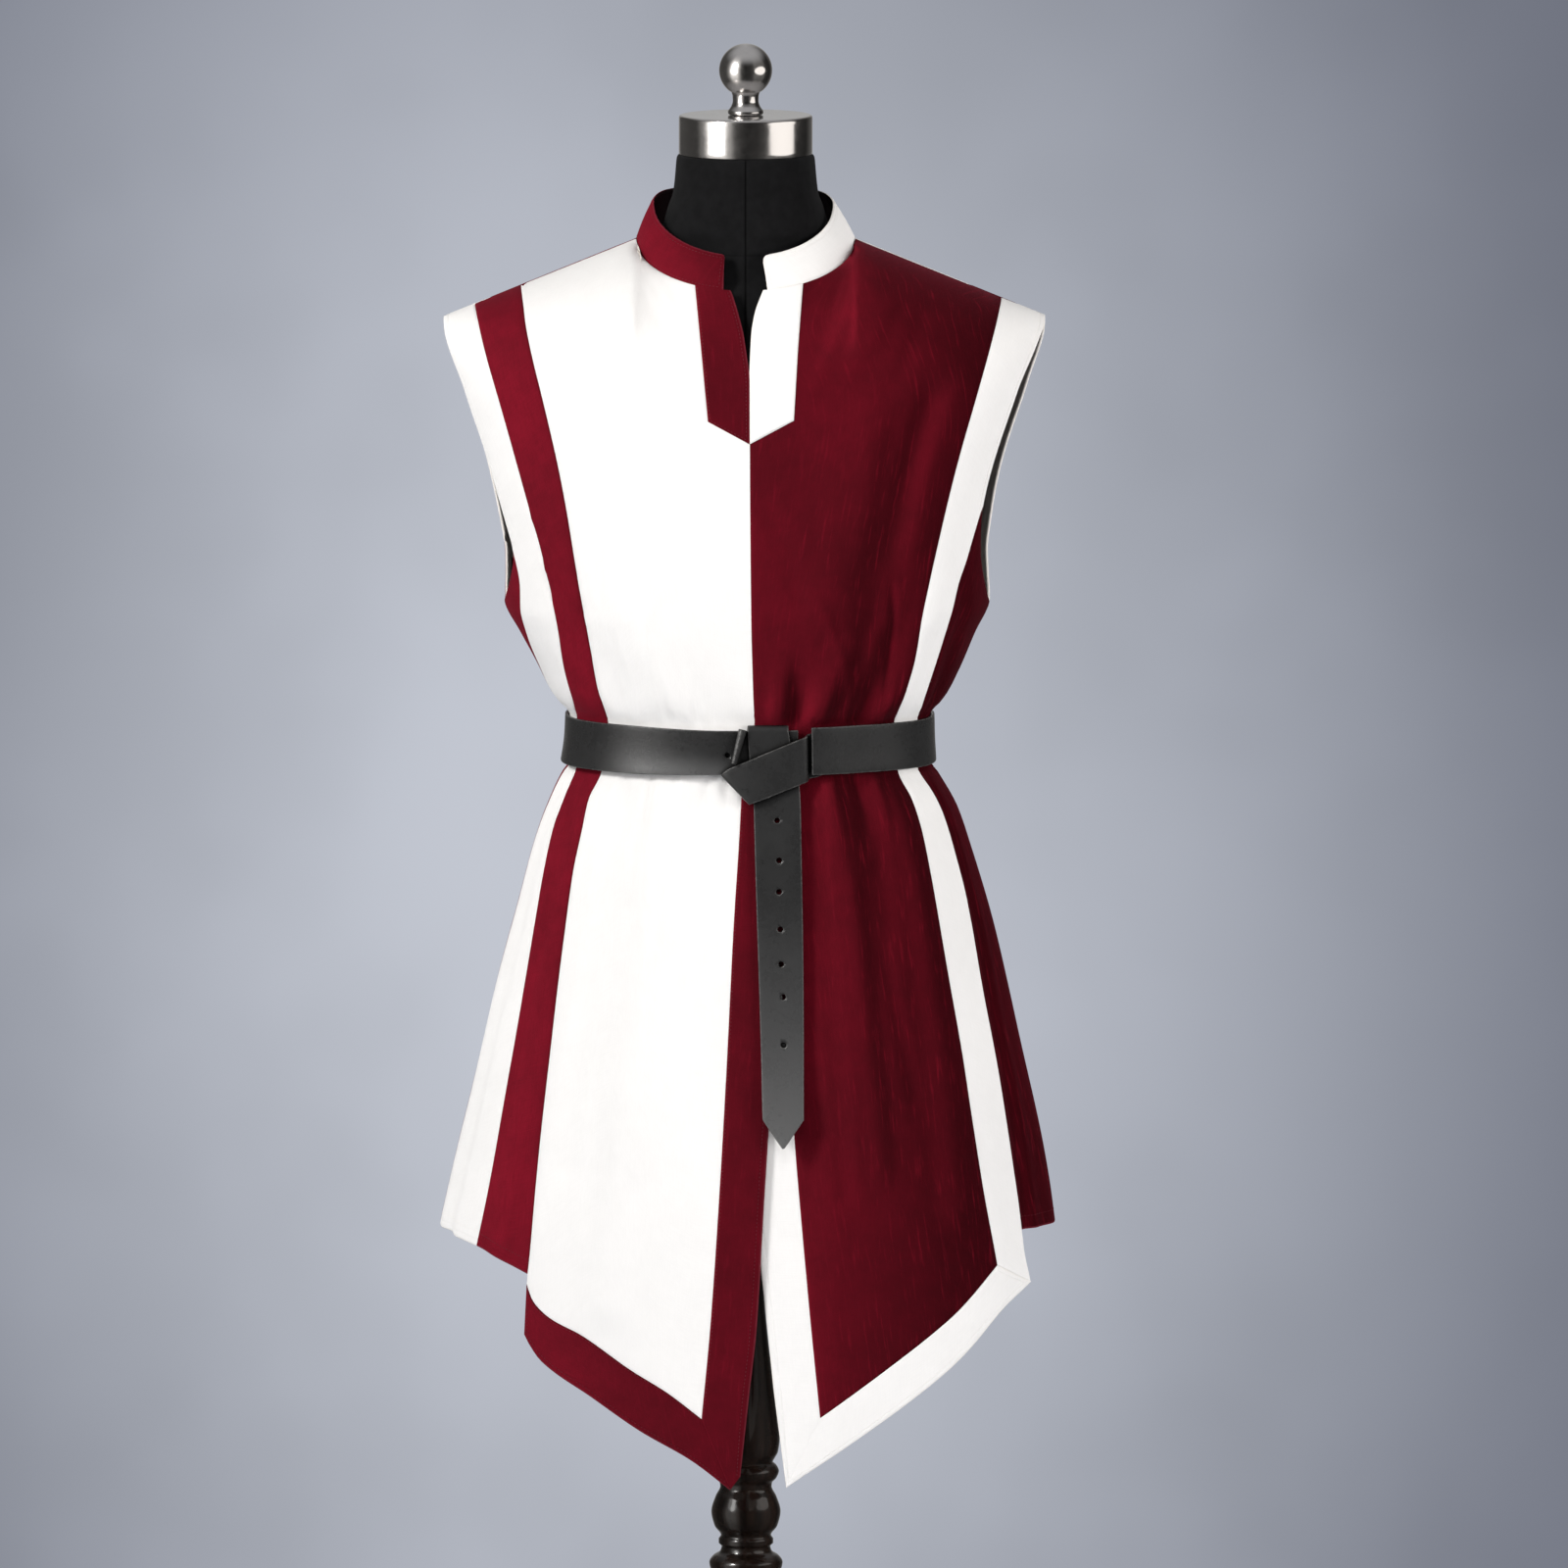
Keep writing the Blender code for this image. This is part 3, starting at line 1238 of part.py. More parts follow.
# --- dress form and stand -----------------------------------------------------------
def form_radius(row, angle):
    """How far a form's section lies from the axis, at an angle from +X."""
    across, along = abs(math.cos(angle)), abs(math.sin(angle))
    depth = row.front if math.sin(angle) < 0 else row.back
    share = (across / row.half_width) ** row.power + (along / depth) ** row.power
    body = share ** (-1 / row.power)
    return (body ** NECK_BLEND + row.neck ** NECK_BLEND) ** (1 / NECK_BLEND)


def build_torso():
    """The limbless form, from the neck to its flat bottom."""
    rings = []
    for row in FORM_ROWS:
        ring = []
        for i in range(FORM_STEPS):
            angle = math.tau * i / FORM_STEPS
            radius = form_radius(row, angle)
            ring.append(Vector((radius * math.cos(angle), radius * math.sin(angle),
                                row.height)))
        rings.append(ring)
    skin("form_torso", rings, FORM_BLACK)


def build_finial():
    """The ball on the neck cap and its waisted foot."""
    turns = []
    steps = 8
    lowest = math.radians(62)
    for k in range(steps + 1):
        angle = lerp(math.radians(-80), lowest, k / steps)
        turns.append(Turn(FINIAL_BALL_CENTRE - FINIAL_BALL_RADIUS * math.sin(angle),
                          FINIAL_BALL_RADIUS * math.cos(angle)))
    turned("finial", (*turns, *FINIAL_FOOT), STEEL)


def main():
    clear_scene()
    edges = build_panels()
    build_plackets()
    build_slit_bands()
    build_hem_bands(edges)
    build_collar(edges)
    build_strap()
    build_roll()
    build_band()
    build_tail()
    build_torso()
    turned("neck_cap", CAP_PROFILE, STEEL, FORM_STEPS)
    build_finial()
    turned("stand_post", POST_PROFILE, LACQUER)
    turned("stand_base", BASE_PROFILE, LACQUER, FORM_STEPS)


main()
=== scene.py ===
"""The looks of a parti-coloured medieval surcoat with its knotted belt, on a dress form.

Every cut piece of the coat is drawn on one surface: horizontal sections give its girth,
the shoulder and neck lines close it at the top, and folds, gathers and creases are laid
over it. A piece becomes a closed thin wall of cloth with turned or sewn edges, topstitched
along its own edges. The belt is made of straps with rounded edges, and the form, its cap
and the stand are turned or lofted. Sizes are in millimetres until a mesh is made; the
origin is on the floor under the stand, +Z is up and the coat faces -Y.
"""
import logging
import math
from collections.abc import Callable, Iterable, Sequence
from dataclasses import dataclass, field
from enum import Enum
from functools import cache
from typing import Any, NamedTuple

import bmesh
import bpy
import numpy as np
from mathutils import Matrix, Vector


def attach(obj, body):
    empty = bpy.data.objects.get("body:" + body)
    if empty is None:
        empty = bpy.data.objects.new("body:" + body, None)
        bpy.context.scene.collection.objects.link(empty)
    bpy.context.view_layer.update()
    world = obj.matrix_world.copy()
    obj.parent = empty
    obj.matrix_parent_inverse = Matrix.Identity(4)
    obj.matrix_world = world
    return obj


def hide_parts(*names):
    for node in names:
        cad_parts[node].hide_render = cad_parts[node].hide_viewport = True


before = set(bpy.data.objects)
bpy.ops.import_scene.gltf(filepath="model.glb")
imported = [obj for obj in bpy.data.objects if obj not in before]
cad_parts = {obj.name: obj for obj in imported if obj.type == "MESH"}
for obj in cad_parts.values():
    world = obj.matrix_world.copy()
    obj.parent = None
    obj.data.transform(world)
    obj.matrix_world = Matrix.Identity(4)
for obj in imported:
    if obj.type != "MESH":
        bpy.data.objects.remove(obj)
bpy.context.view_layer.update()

Array = np.ndarray
Edge = Callable[[Array], Array]
Table = Sequence[Sequence[float]]
Pairs = tuple[tuple[float, float], ...]
Place = tuple[float, float, float]
Colour = tuple[float, float, float]
Object = bpy.types.Object
Tree = bpy.types.NodeTree
Socket = bpy.types.NodeSocket
MM = 0.001
log = logging.getLogger("surcoat")

# --- the garment's and the form's own dimensions, in millimetres ---
CLOTH = 1.6
SHOULDER_ROUND = 85.0
# How deep the right front lies under the left one in the skirt, and how much deeper lower
# down; then where each begins and fades in, and the width that it fades out over.
OVERLAP_DEPTH, OPEN_DEPTH = 3.2, 3.4
OVERLAP_TOP, OVERLAP_FADE, OPEN_TOP, OPEN_FADE, OVERLAP_HALF = 1018.0, 26.0, 760.0, 110.0, 40.0
NECK_HALF, NECK_FRONT, NECK_BACK = 95.0, 89.0, 72.0
NECK_SIDE_HEIGHT, NECK_FRONT_DROP, NECK_BACK_RISE = 1430.0, 37.0, 4.0
SHOULDER_SLOPE = 0.404
COLLAR_END, COLLAR_SLANT, COLLAR_WALL, COLLAR_BOW = 19.5, 34.0, 2.0, 1.0
COLLAR_TOP_HALF, COLLAR_TOP_CENTRE = 78.5, -2.0
COLLAR_TOP_FRONT, COLLAR_TOP_BACK, COLLAR_BACK_RISE = 71.0, 60.0, 7.0
ARM_SEAM_HEIGHT, RIGHT_STRIPE_LEAVES, UNDERARM = 1165.0, 1201.0, 1114.0
SLIT_TOP, SLIT_LAST_LEVEL, BACK_HEM = 990.0, 452.0, 572.0
BELT_HEIGHT, BELT_WIDTH, LEATHER, BELT_EASE = 997.0, 41.0, 2.8, 1.3
POST_TOP, TORSO_BOTTOM = 761.6, 762.0
PINCH_TOP, PINCH_LOW, BELT_PINCH = 1020.0, 974.0, 0.18
TAIL_CLEARANCE = 3.6
# The facing turned in along the armholes: its width and the height it reaches down to.
ARM_FACING, ARM_FACING_FROM, ARM_HEM = 13.0, 1108.0, 1.1
# The coat's sections: height, centre, half width, front, back, power.
SECTIONS = (
    (1400, 0, 272, 112, 106, 2.4), (1364, 0, 272, 118, 110, 2.4),
    (1300, 0, 251.5, 124, 114, 2.4), (1230, 0, 230, 128, 117, 2.4),
    (1165, 1, 218, 129, 117, 2.35), (1114, 1.5, 210, 127, 115, 2.3),
    (1090, 2, 198, 125, 113, 2.3), (1056, 3.5, 181.5, 121, 110, 2.3),
    (1038, 3.5, 172.5, 118, 107, 2.3), (1028, 3.5, 165, 115.5, 105, 2.3),
    (1018, 3.5, 156, 112, 103, 2.3), (976, 3.5, 156, 112, 103, 2.3),
    (966, 3.5, 162.5, 113.5, 105, 2.3), (936, 5, 178, 118, 110, 2.3),
    (911, 5, 187, 122, 114, 2.3), (851, 6, 204, 129, 122, 2.25), (782, 5, 221, 138, 131, 2.2),
    (697, 4.5, 241, 150, 142, 2.15), (611, 2.5, 259.5, 161, 153, 2.1),
    (570, 1, 267, 166, 158, 2.1), (450, 0, 285, 178, 165, 2.1), (350, 0, 300, 187, 170, 2.1),
)
# Seams' distances from the centre plane: height, left outer, left inner, right inner,
# right outer. The front's left side is the wearer's right.
FRONT_SEAMS = (
    (1430, -249, -204, 233, 290), (1380, -236, -192.5, 221.5, 267),
    (1363, -231.5, -190, 217, 259), (1340, -225.5, -185, 210.5, 248.5),
    (1300, -214, -175, 199, 234.5), (1250, -200, -163.5, 185, 219),
    (1201, -186, -154, 172.5, 204.5), (1165, -176, -148, 164, 193.5),
    (1114, -165.5, -139.5, 153, 178.5), (1075, -158.5, -133, 145.5, 167),
    (1048, -153, -128, 137.5, 158.5), (1031, -149, -122.5, 132, 153),
    (1018, -146.5, -119, 128.5, 149.5), (977, -147, -124, 131.5, 149),
    (950, -157, -135, 144.5, 165), (925, -166.5, -140.5, 152.5, 175.5),
    (890, -174.5, -148, 159.5, 186), (845, -182.5, -154.5, 167.5, 195),
    (790, -192, -162, 177, 205), (730, -202, -169.5, 187.5, 216),
    (670, -212.5, -176.5, 197, 226), (611, -223.5, -182.5, 206.5, 235.5),
    (560, -234, -187, 216, 243.5), (540, -238, -189, 219.5, 246), (500, -246, -191.5, 226, 251),
)
BACK_SEAMS = (
    (1430, -292, -233, 204, 249), (1380, -268, -221.5, 192.5, 236),
    (1363, -261, -217, 190, 231.5), (1340, -257, -210.5, 185, 225.5),
    (1300, -247, -199, 175, 214), (1250, -231.5, -185, 163.5, 200),
    (1201, -219, -172.5, 154, 187), (1165, -211, -164, 148, 177.5),
    (1114, -188, -153, 139.5, 166), (1075, -171, -145.5, 133, 158.5),
    (1048, -158.5, -136, 128, 153), (1031, -151, -129, 123, 149.5),
    (1018, -144, -124, 119.5, 147), (977, -144, -127, 124, 147.5), (950, -159, -140, 135, 157.5),
    (925, -169, -147.5, 140.5, 166.5), (890, -179, -155, 148, 174.5),
    (845, -189, -163.5, 154.5, 182.5), (790, -200, -173, 162, 192),
    (730, -212, -184, 169.5, 202), (670, -223, -194, 176.5, 212.5),
    (611, -233.5, -204, 182.5, 223.5), (570, -240.5, -211, 186.5, 232),
)
# Armholes: height, and the depth at which each edge cuts the sections: front left,
# front right, back left, back right.
ARMHOLES = (
    (1400, 46, 46, 44, 46), (1363, 44, 47, 42, 44), (1345, 43, 52, 38.5, 41),
    (1325, 43, 55, 35.5, 38.5), (1300, 43.5, 57.5, 33, 36.5), (1250, 48, 62, 36, 39),
    (1201, 54, 64.5, 38, 41), (1165, 58.5, 58.5, 37.5, 40.5), (1138, 46, 45, 29.5, 32),
    (1121, 25, 25, 16, 17), (1114, 0, 0, 0, 0),
)
# The left side seam: height, angle round the coat in degrees.
LEFT_SIDE_SEAM = (
    (1165, -67), (1140, -65.5), (1114, -68), (1086, -75), (1066, -81), (1045, -87), (1018, -90),
    (550, -90),
)
# The fronts' inner edges, the slit bands' free edges and the plackets' outer edges:
# height, left, right.
FRONT_EDGES = (
    (1400, -17, 18.5), (1390, -11.7, 14), (1374, -6.6, 8.2), (1358, -2.3, 5.4), (1341, 0.4, 4.4),
    (1328, 2.4, 3.9), (1318, 3.6, 3.6), (1250, 3.8, 3.8), (1114, 4.9, 4.9), (1048, 6.6, 6.6),
    (1018, 7.8, 7.8), (1004, 3, 10.5), (990, -2, 13), (966, -3.2, 14.6), (925, -5.3, 18.5),
    (845, -10.4, 26.2), (730, -16.2, 37.1), (611, -23, 47.2), (500, -30.8, 57.2),
    (425, -38, 64.7), (350, -45, 72),
)
SLIT_EDGES = (
    (990, 36, -25.5), (925, 32.8, -20), (845, 28.8, -13.4), (730, 23.1, -3.9), (611, 15.7, 7.7),
    (500, 8.9, 19.7), (425, 0.2, 27.6), (365, -5.4, 35.7),
)
PLACKET_EDGES = ((1400, -43.8, 49.6), (1341, -37.8, 45), (1284, -32.3, 41.6), (1260, -30, 40))
# Soft folds: top height, angle and reach, low height, angle and reach, half width.
# Angles are degrees round the coat from the centre front, positive towards +X.
FOLDS = (
    (1140, 37, -1, 1021, 34.5, -6, 6.5), (1125, 48, 1, 1021, 44.5, 4.5, 7),
    (1080, 11, 0, 1021, 12.8, -4, 4.5), (1120, 24, 0.5, 1021, 19, 4, 6),
    (1135, 58.5, -2, 1021, 70.5, -5.5, 6), (1110, -9, 0, 1021, -8, -2.5, 6),
    (1120, -24, 0.5, 1021, -21, 2.5, 7), (1130, -38, 0, 1021, -36, -3, 7),
    (1100, -57, 0.5, 1021, -55, 2.5, 7), (968, 71, -3, 560, 66.5, -7.5, 4.5),
    (966, 33, -3.5, 800, 31, -0.5, 6.5), (966, 21.5, 3, 640, 21, 1.5, 7),
    (966, 45, 3, 600, 44, 3, 8), (966, -12, -3, 760, -12, -0.5, 5.5),
    (966, -24, 3, 520, -25, 3.5, 8), (966, -37, -3, 640, -38, -2, 6.5),
    (966, -52, 2, 560, -52, 3, 7), (966, -76, -1.5, 570, -78, -5, 8),
    (966, 84, 1, 570, 80, 5, 8), (1125, 118, 0, 1021, 121, -4, 8),
    (1130, 138, 0.5, 1021, 136, 3.5, 7), (1110, 155, 0, 1021, 153, -4, 7),
    (1120, -166, 0.5, 1021, -168, 3.5, 8), (1120, -145, 0, 1021, -148, -4.5, 7),
    (1110, -124, 0.5, 1021, -122, 3, 8), (966, 113, -2.5, 570, 110, -5.5, 8),
    (966, 131, 3, 570, 130, 5, 9), (966, 152, -3, 570, 151, -4.5, 8),
    (966, 171, 3, 570, 172, 4, 8), (966, -166, -3, 570, -167, -5, 8),
    (966, -146, 2.5, 570, -147, 4.5, 9), (966, -124, -3, 570, -125, -5.5, 8),
    (966, -105, 2, 570, -104, 4.5, 8),
)
# The form's sections: height, half width, front, back, power.
FORM_ROWS = (
    (1503.3, 59.5, 60, 58, 2), (1470, 62.8, 62, 55.5, 2), (1460, 66.5, 62.6, 55.5, 2),
    (1450, 69.5, 63, 55.5, 1.95), (1440, 72.5, 63.5, 56, 1.9), (1434, 79, 63.2, 56, 1.6),
    (1427.8, 93, 62.6, 56.5, 1.3), (1424, 101.5, 62.6, 57, 1.24), (1418, 116, 62.8, 58, 1.24),
    (1410, 137, 63.5, 61, 1.34), (1400, 163.8, 67, 70, 1.6), (1391, 186, 77, 78, 1.75),
    (1380, 200.5, 84, 83, 1.9), (1364, 205.5, 94, 90, 2.1), (1340, 205, 103, 96, 2.3),
    (1300, 201, 108, 99, 2.3), (1250, 194, 111, 101, 2.3), (1200, 185, 112, 101, 2.3),
    (1150, 175, 111, 100, 2.3), (1100, 163, 108, 97, 2.3), (1050, 149, 101, 92, 2.3),
    (1000, 139, 94, 87, 2.3), (950, 143, 96, 91, 2.3), (900, 154, 102, 101, 2.2),
    (850, 162, 106, 109, 2.2), (800, 165, 108, 112, 2.2), (776, 163, 106, 110, 2.2),
    (TORSO_BOTTOM, 155, 99, 103, 2.2),
)
# Turned profiles, from the top down: height, radius.
POST_PROFILE = (
    (POST_TOP, 16), (700, 14.5), (560, 14), (510, 15.8), (470, 19.2), (435, 23.4), (405, 27.6),
    (382, 29.5), (370, 28), (363.5, 24.6), (361, 23.4), (358.5, 26.2), (353, 28.8),
    (347, 26.6), (343, 23), (339.5, 22.4), (331, 26.4), (317.5, 30.2), (305, 27.4), (296.5, 21.8),
    (293.5, 23.8), (290, 23.8), (287, 21.2), (282.5, 22.6), (279, 28), (273, 32), (266, 30.4),
    (260, 24), (252, 21), (200, 24), (130, 28), (90, 30), (82, 36), (72, 38), (62.3, 36),
)
BASE_PROFILE = (
    (62, 44), (56, 47), (46, 62), (38, 92), (33, 135), (29, 170), (22, 183), (12, 186), (3, 184),
    (0, 181),
)
# The hanging strap: height, left and right edges.
TAIL_ROWS = (
    (1014.4, 1.4, 36.8), (998, 2.6, 40), (977, 4.6, 44.6), (962, 6.2, 46.8), (948, 7, 47.5),
    (925, 7.6, 48), (890, 8.6, 48.6), (845, 10, 49.4), (790, 11.8, 50), (735, 13.4, 50.2),
    (682, 14.8, 50.2), (658, 31.5, 33.5),
)
# The strap across the knot: upper edge's x, height and stand, then the lower edge's.
BAND_ROWS = (
    (-21, 976.2, 6.4, 3, 951.6, 13), (-16, 981, 7.4, 9, 953.8, 13.6), (4, 990, 8, 20, 958, 12.8),
    (20, 997, 8.2, 31, 962.6, 11.4), (34, 1003, 8.2, 41, 966.4, 10),
    (43, 1006.8, 7.8, 45.6, 968.4, 8.8), (48.4, 1008.8, 7.2, 49.4, 970, 8),
    (51, 1010.2, 3.4, 51.4, 971.4, 3.8), (53.4, 1011.4, 0.9, 54, 972.6, 0.9),
    (61, 1012.6, 0.8, 61, 974, 0.8), (67, 1013, 0.8, 67, 976, 0.8),
)
# The feet of the pieces, as (distance from the centre plane, height).
PLACKET_FOOT = ((-32.3, 1283.6), (3.6, 1264.2), (41.6, 1284.5))
LEFT_SIDE_HEM = ((-270, 571), (-233.5, 563), (-188.5, 543.6))
RIGHT_SIDE_HEM = ((242, 574), (270, 576.6))
RIGHT_STRIPE_FOOT = ((218.3, 548.4), (247.4, 530.1))
LEFT_PANEL_FOOT = (
    (-190, 536), (-184, 520.5), (-168.6, 506.6), (-142.3, 494), (-99.2, 465.5), (-68, 447),
    (-38, 424.8),
)
LEFT_BAND_FOOT = (
    (-191.5, 491.6), (-187.5, 484), (-177, 470), (-133.8, 441.6), (-91.6, 413.8),
    (-47.7, 389.5), (-13.2, 363.8),
)
RIGHT_PANEL_FOOT = ((64.7, 424.9), (119, 463), (166.5, 497.6), (185, 513), (218.3, 548.4))
RIGHT_BAND_FOOT = ((35.7, 365.4), (173.2, 460.4), (195.3, 480.5), (225, 512.6), (247.4, 530.1))
LEFT_BAND_TIP = ((-38.0, 424.8), (-13.2, 363.8), (-4.9, 375.0))
RIGHT_BAND_TIP = ((64.7, 424.9), (50.0, 394.6), (35.7, 365.4))
# Drag lines and shallow troughs on the front and on the back: top x, height and reach,
# low x, height and reach, half width in millimetres.
FRONT_CREASES = (
    (104, 1290, 0.8, 68, 1110, 2.4, 34), (158, 1306, -1.2, 112, 1112, -3, 30),
    (160, 1296, -2.4, 131, 1182, -1.6, 19), (112, 1286, 1, 100, 1176, 0.8, 20),
    (90, 1382, 1.3, 57, 1306, 0.3, 8), (76, 1386, -1.2, 49, 1312, -0.3, 8),
    (31, 1078, 0.5, 27, 1024, 3.2, 14), (120, 1372, 0.9, 74, 1300, 0.2, 12),
    (150, 1362, -0.8, 118, 1296, -0.3, 14), (-68, 1388, 1.1, -36, 1336, 0.2, 8),
    (-84, 1384, -0.9, -48, 1330, -0.2, 9), (-120, 1366, 0.8, -84, 1292, 0.3, 14),
    (-60, 1262, -0.9, -96, 1196, -0.5, 14), (-34, 1196, 0.9, -78, 1120, 0.6, 12),
    (-128, 1150, -0.9, -104, 1060, -0.6, 8), (-70, 1126, -0.8, -90, 1050, -1, 7),
    (60, 1130, 0.9, 86, 1066, 1, 8), (20, 1216, -0.6, 44, 1130, -0.9, 12),
    (128, 1128, -1.4, 117, 1030, -1.6, 5), (-178, 1186, 1.3, -160, 1160, 1.1, 5),
    (-170, 1148, 1.2, -150, 1122, 1.1, 5), (-166, 1126, -1.1, -146, 1094, -1, 5),
    (-40, 900, -0.9, -52, 700, -1.2, 12), (-78, 880, 1, -92, 640, 1.4, 16),
    (-112, 860, -0.8, -134, 600, -1.4, 13), (92, 880, 1.1, 118, 640, 1.4, 15),
    (66, 900, -0.9, 84, 620, -1.3, 13), (-60, 800, 0.6, -118, 716, 0.3, 15),
    (120, 820, -0.7, 146, 700, -1, 12),
)
BACK_CREASES = (
    (84, 1384, 1.2, 50, 1300, 0.3, 10), (-86, 1384, 1.1, -44, 1296, 0.3, 10),
    (128, 1366, -1, 92, 1270, -0.4, 14), (-130, 1366, -1.1, -96, 1262, -0.4, 14),
    (-60, 1240, -0.9, -30, 1140, -0.7, 16), (52, 1230, 0.9, 24, 1120, 0.7, 15),
    (150, 1240, 1.2, 120, 1130, 0.7, 14), (-156, 1236, 1.1, -126, 1120, 0.8, 13),
    (-60, 880, 1, -76, 640, 1.3, 14), (-104, 870, -0.9, -124, 630, -1.3, 13),
    (30, 890, -0.9, 38, 660, -1.2, 13), (96, 880, 1, 120, 620, 1.4, 15),
)
# Gathers drawn up by the belt: x at the belt, x and height at the far end, reach, half width.
GATHERS = (
    (-41, -45, 1076, -2.2, 6), (-27, -33, 1060, -2.0, 5), (-66, -72, 1058, -1.4, 6),
    (25, 27, 1076, 2.6, 13), (44, 46, 1088, -3.4, 12), (59, 78, 1096, 3.4, 14),
    (97, 102, 1110, -3.4, 13), (114, 122, 1090, 2.4, 13), (-96, -104, 1066, 1.6, 9),
    (-82, -88, 918, -2.4, 6), (-56, -60, 934, 1.6, 7), (-33, -38, 922, -2.6, 6),
    (-15, -20, 936, -2.4, 5), (72, 79, 905, 3.0, 11), (94, 104, 900, -3.2, 10),
    (111, 121, 915, 2.2, 9), (-104, -112, 925, -1.8, 7), (55, 58, 940, -1.6, 7),
)


# --- small mathematics ---
def smooth_step(value: Array | float) -> Array:
    """0 below 0, 1 above 1 and a smooth rise between."""
    value = np.clip(value, 0.0, 1.0)
    return value * value * (3 - 2 * value)


def lerp(first: Any, second: Any, share: Any) -> Any:
    """The value part of the way from first to second."""
    return first + (second - first) * share


def unit(vectors: Array) -> Array:
    """The vectors along the last axis, each made one long."""
    return vectors / np.maximum(np.linalg.norm(vectors, axis=-1, keepdims=True), 1e-12)


def stack(x: Array, y: Array, z: Array) -> Array:
    """Points from their three coordinates."""
    return np.stack(np.broadcast_arrays(x, y, z), axis=-1).astype(float)


def along(points: Array, axis: int) -> Array:
    """The length from the first point to each point along one axis of a grid."""
    steps = np.linalg.norm(np.diff(points, axis=axis), axis=-1)
    total = np.cumsum(steps, axis=axis)
    pad = [(1, 0) if k == axis else (0, 0) for k in range(total.ndim)]
    return np.pad(total, pad)


class Curve:
    """A smooth curve through (position, value) pairs that never overshoots them."""

    def __init__(self, pairs: Iterable[Sequence[float]]) -> None:
        """Fits the curve.

        Args:
            pairs: the points that the curve passes, in any order.
        """
        ordered = np.array(sorted(tuple(pair) for pair in pairs), float)
        self.place, self.value = ordered[:, 0], ordered[:, 1]
        self.slope = np.diff(self.value) / np.diff(self.place)
        before, after = self.slope[:-1], self.slope[1:]
        same_way = before * after > 0
        total = np.where(same_way, before + after, 1.0)
        inner = np.where(same_way, 2 * before * after / total, 0.0)
        self.tangent = np.concatenate([self.slope[:1], inner, self.slope[-1:]])

    def at(self, place: Array | float) -> Array:
        """The values at places; straight on past either end.

        Args:
            place: positions along the curve.

        Returns:
            The curve's value at each of them.
        """
        place = np.asarray(place, float)
        i = np.clip(np.searchsorted(self.place, place, side="right") - 1, 0, len(self.slope) - 1)
        span = self.place[i + 1] - self.place[i]
        t = (place - self.place[i]) / span
        rest = 1 - t
        inside = ((1 + 2 * t) * rest * rest * self.value[i]
                  + t * rest * rest * span * self.tangent[i]
                  + t * t * (3 - 2 * t) * self.value[i + 1]
                  - t * t * rest * span * self.tangent[i + 1])
        below = self.value[0] + self.slope[0] * (place - self.place[0])
        above = self.value[-1] + self.slope[-1] * (place - self.place[-1])
        return np.where(place < self.place[0], below, np.where(place > self.place[-1], above, inside))


def column(table: Table, index: int) -> Curve:
    """The curve of one column of a table over its first column."""
    return Curve((row[0], row[index]) for row in table)


def close_ended(close: Sequence[float], inner: float, count: int) -> Array:
    """Shares from 0 to 1: a few close to either end and even ones between.

    Args:
        close: the shares close to 0, from 0 itself.
        inner: the first of the even shares.
        count: how many even shares there are.

    Returns:
        The shares in order, the same from either end.
    """
    near = np.array(close)
    return np.concatenate([near, np.linspace(inner, 1 - inner, count), 1 - near[::-1]])


def solve(limits: tuple[float, float], above: Callable[[Array], Array], count: int) -> Array:
    """Heights at which a test turns true, found by halving for many columns at once.

    Args:
        limits: a height below every answer and one above every answer.
        above: tells for each column's height whether it is above that column's answer.
        count: the number of columns.

    Returns:
        One height for each column.
    """
    lows, highs = (np.full(count, limit) for limit in limits)
    for _ in range(36):
        middle = (lows + highs) / 2
        past = above(middle)
        highs = np.where(past, middle, highs)
        lows = np.where(past, lows, middle)
    return (lows + highs) / 2


# --- the coat's surface ---
class Girth:
    """Horizontal sections of a body, each a superellipse with its own front and back."""

    def __init__(self, table: Table) -> None:
        """Keeps one curve over height for each measure of the sections."""
        self.curves = [column(table, index) for index in range(1, 6)]

    def section(self, height: Array) -> list[Array]:
        """Centre, half width, front depth, back depth and power at heights."""
        return [curve.at(height) for curve in self.curves]

    def point(self, angle: Array, height: Array) -> Array:
        """The points at angles from the centre front, positive towards +X."""
        centre, half_width, front, back, power = self.section(height)
        across, reach = np.sin(angle), np.cos(angle)
        x = centre + half_width * np.sign(across) * np.abs(across) ** (2 / power)
        depth = np.abs(reach) ** (2 / power) * np.where(reach > 0, -front, back)
        return stack(x, depth, height)

    def angle_at_depth(self, depth: Array, height: Array, back: bool) -> Array:
        """The angles, 0 to pi, at which sections reach a depth."""
        _, _, front, rear, power = self.section(height)
        share = np.clip(depth / (rear if back else front), 0.0, 1.0)
        angle = np.arccos(share ** (power / 2))
        return np.pi - angle if back else angle

    def angle_of(self, x: Array, height: Array, back: bool = False) -> Array:
        """The angles at which sections pass x, on the front or the back."""
        centre, half_width, _, _, power = self.section(height)
        share = np.clip((x - centre) / half_width, -1.0, 1.0)
        sign = np.where(share < 0, -1.0, 1.0)
        angle = sign * np.arcsin(np.abs(share) ** (power / 2))
        return sign * np.pi - angle if back else angle


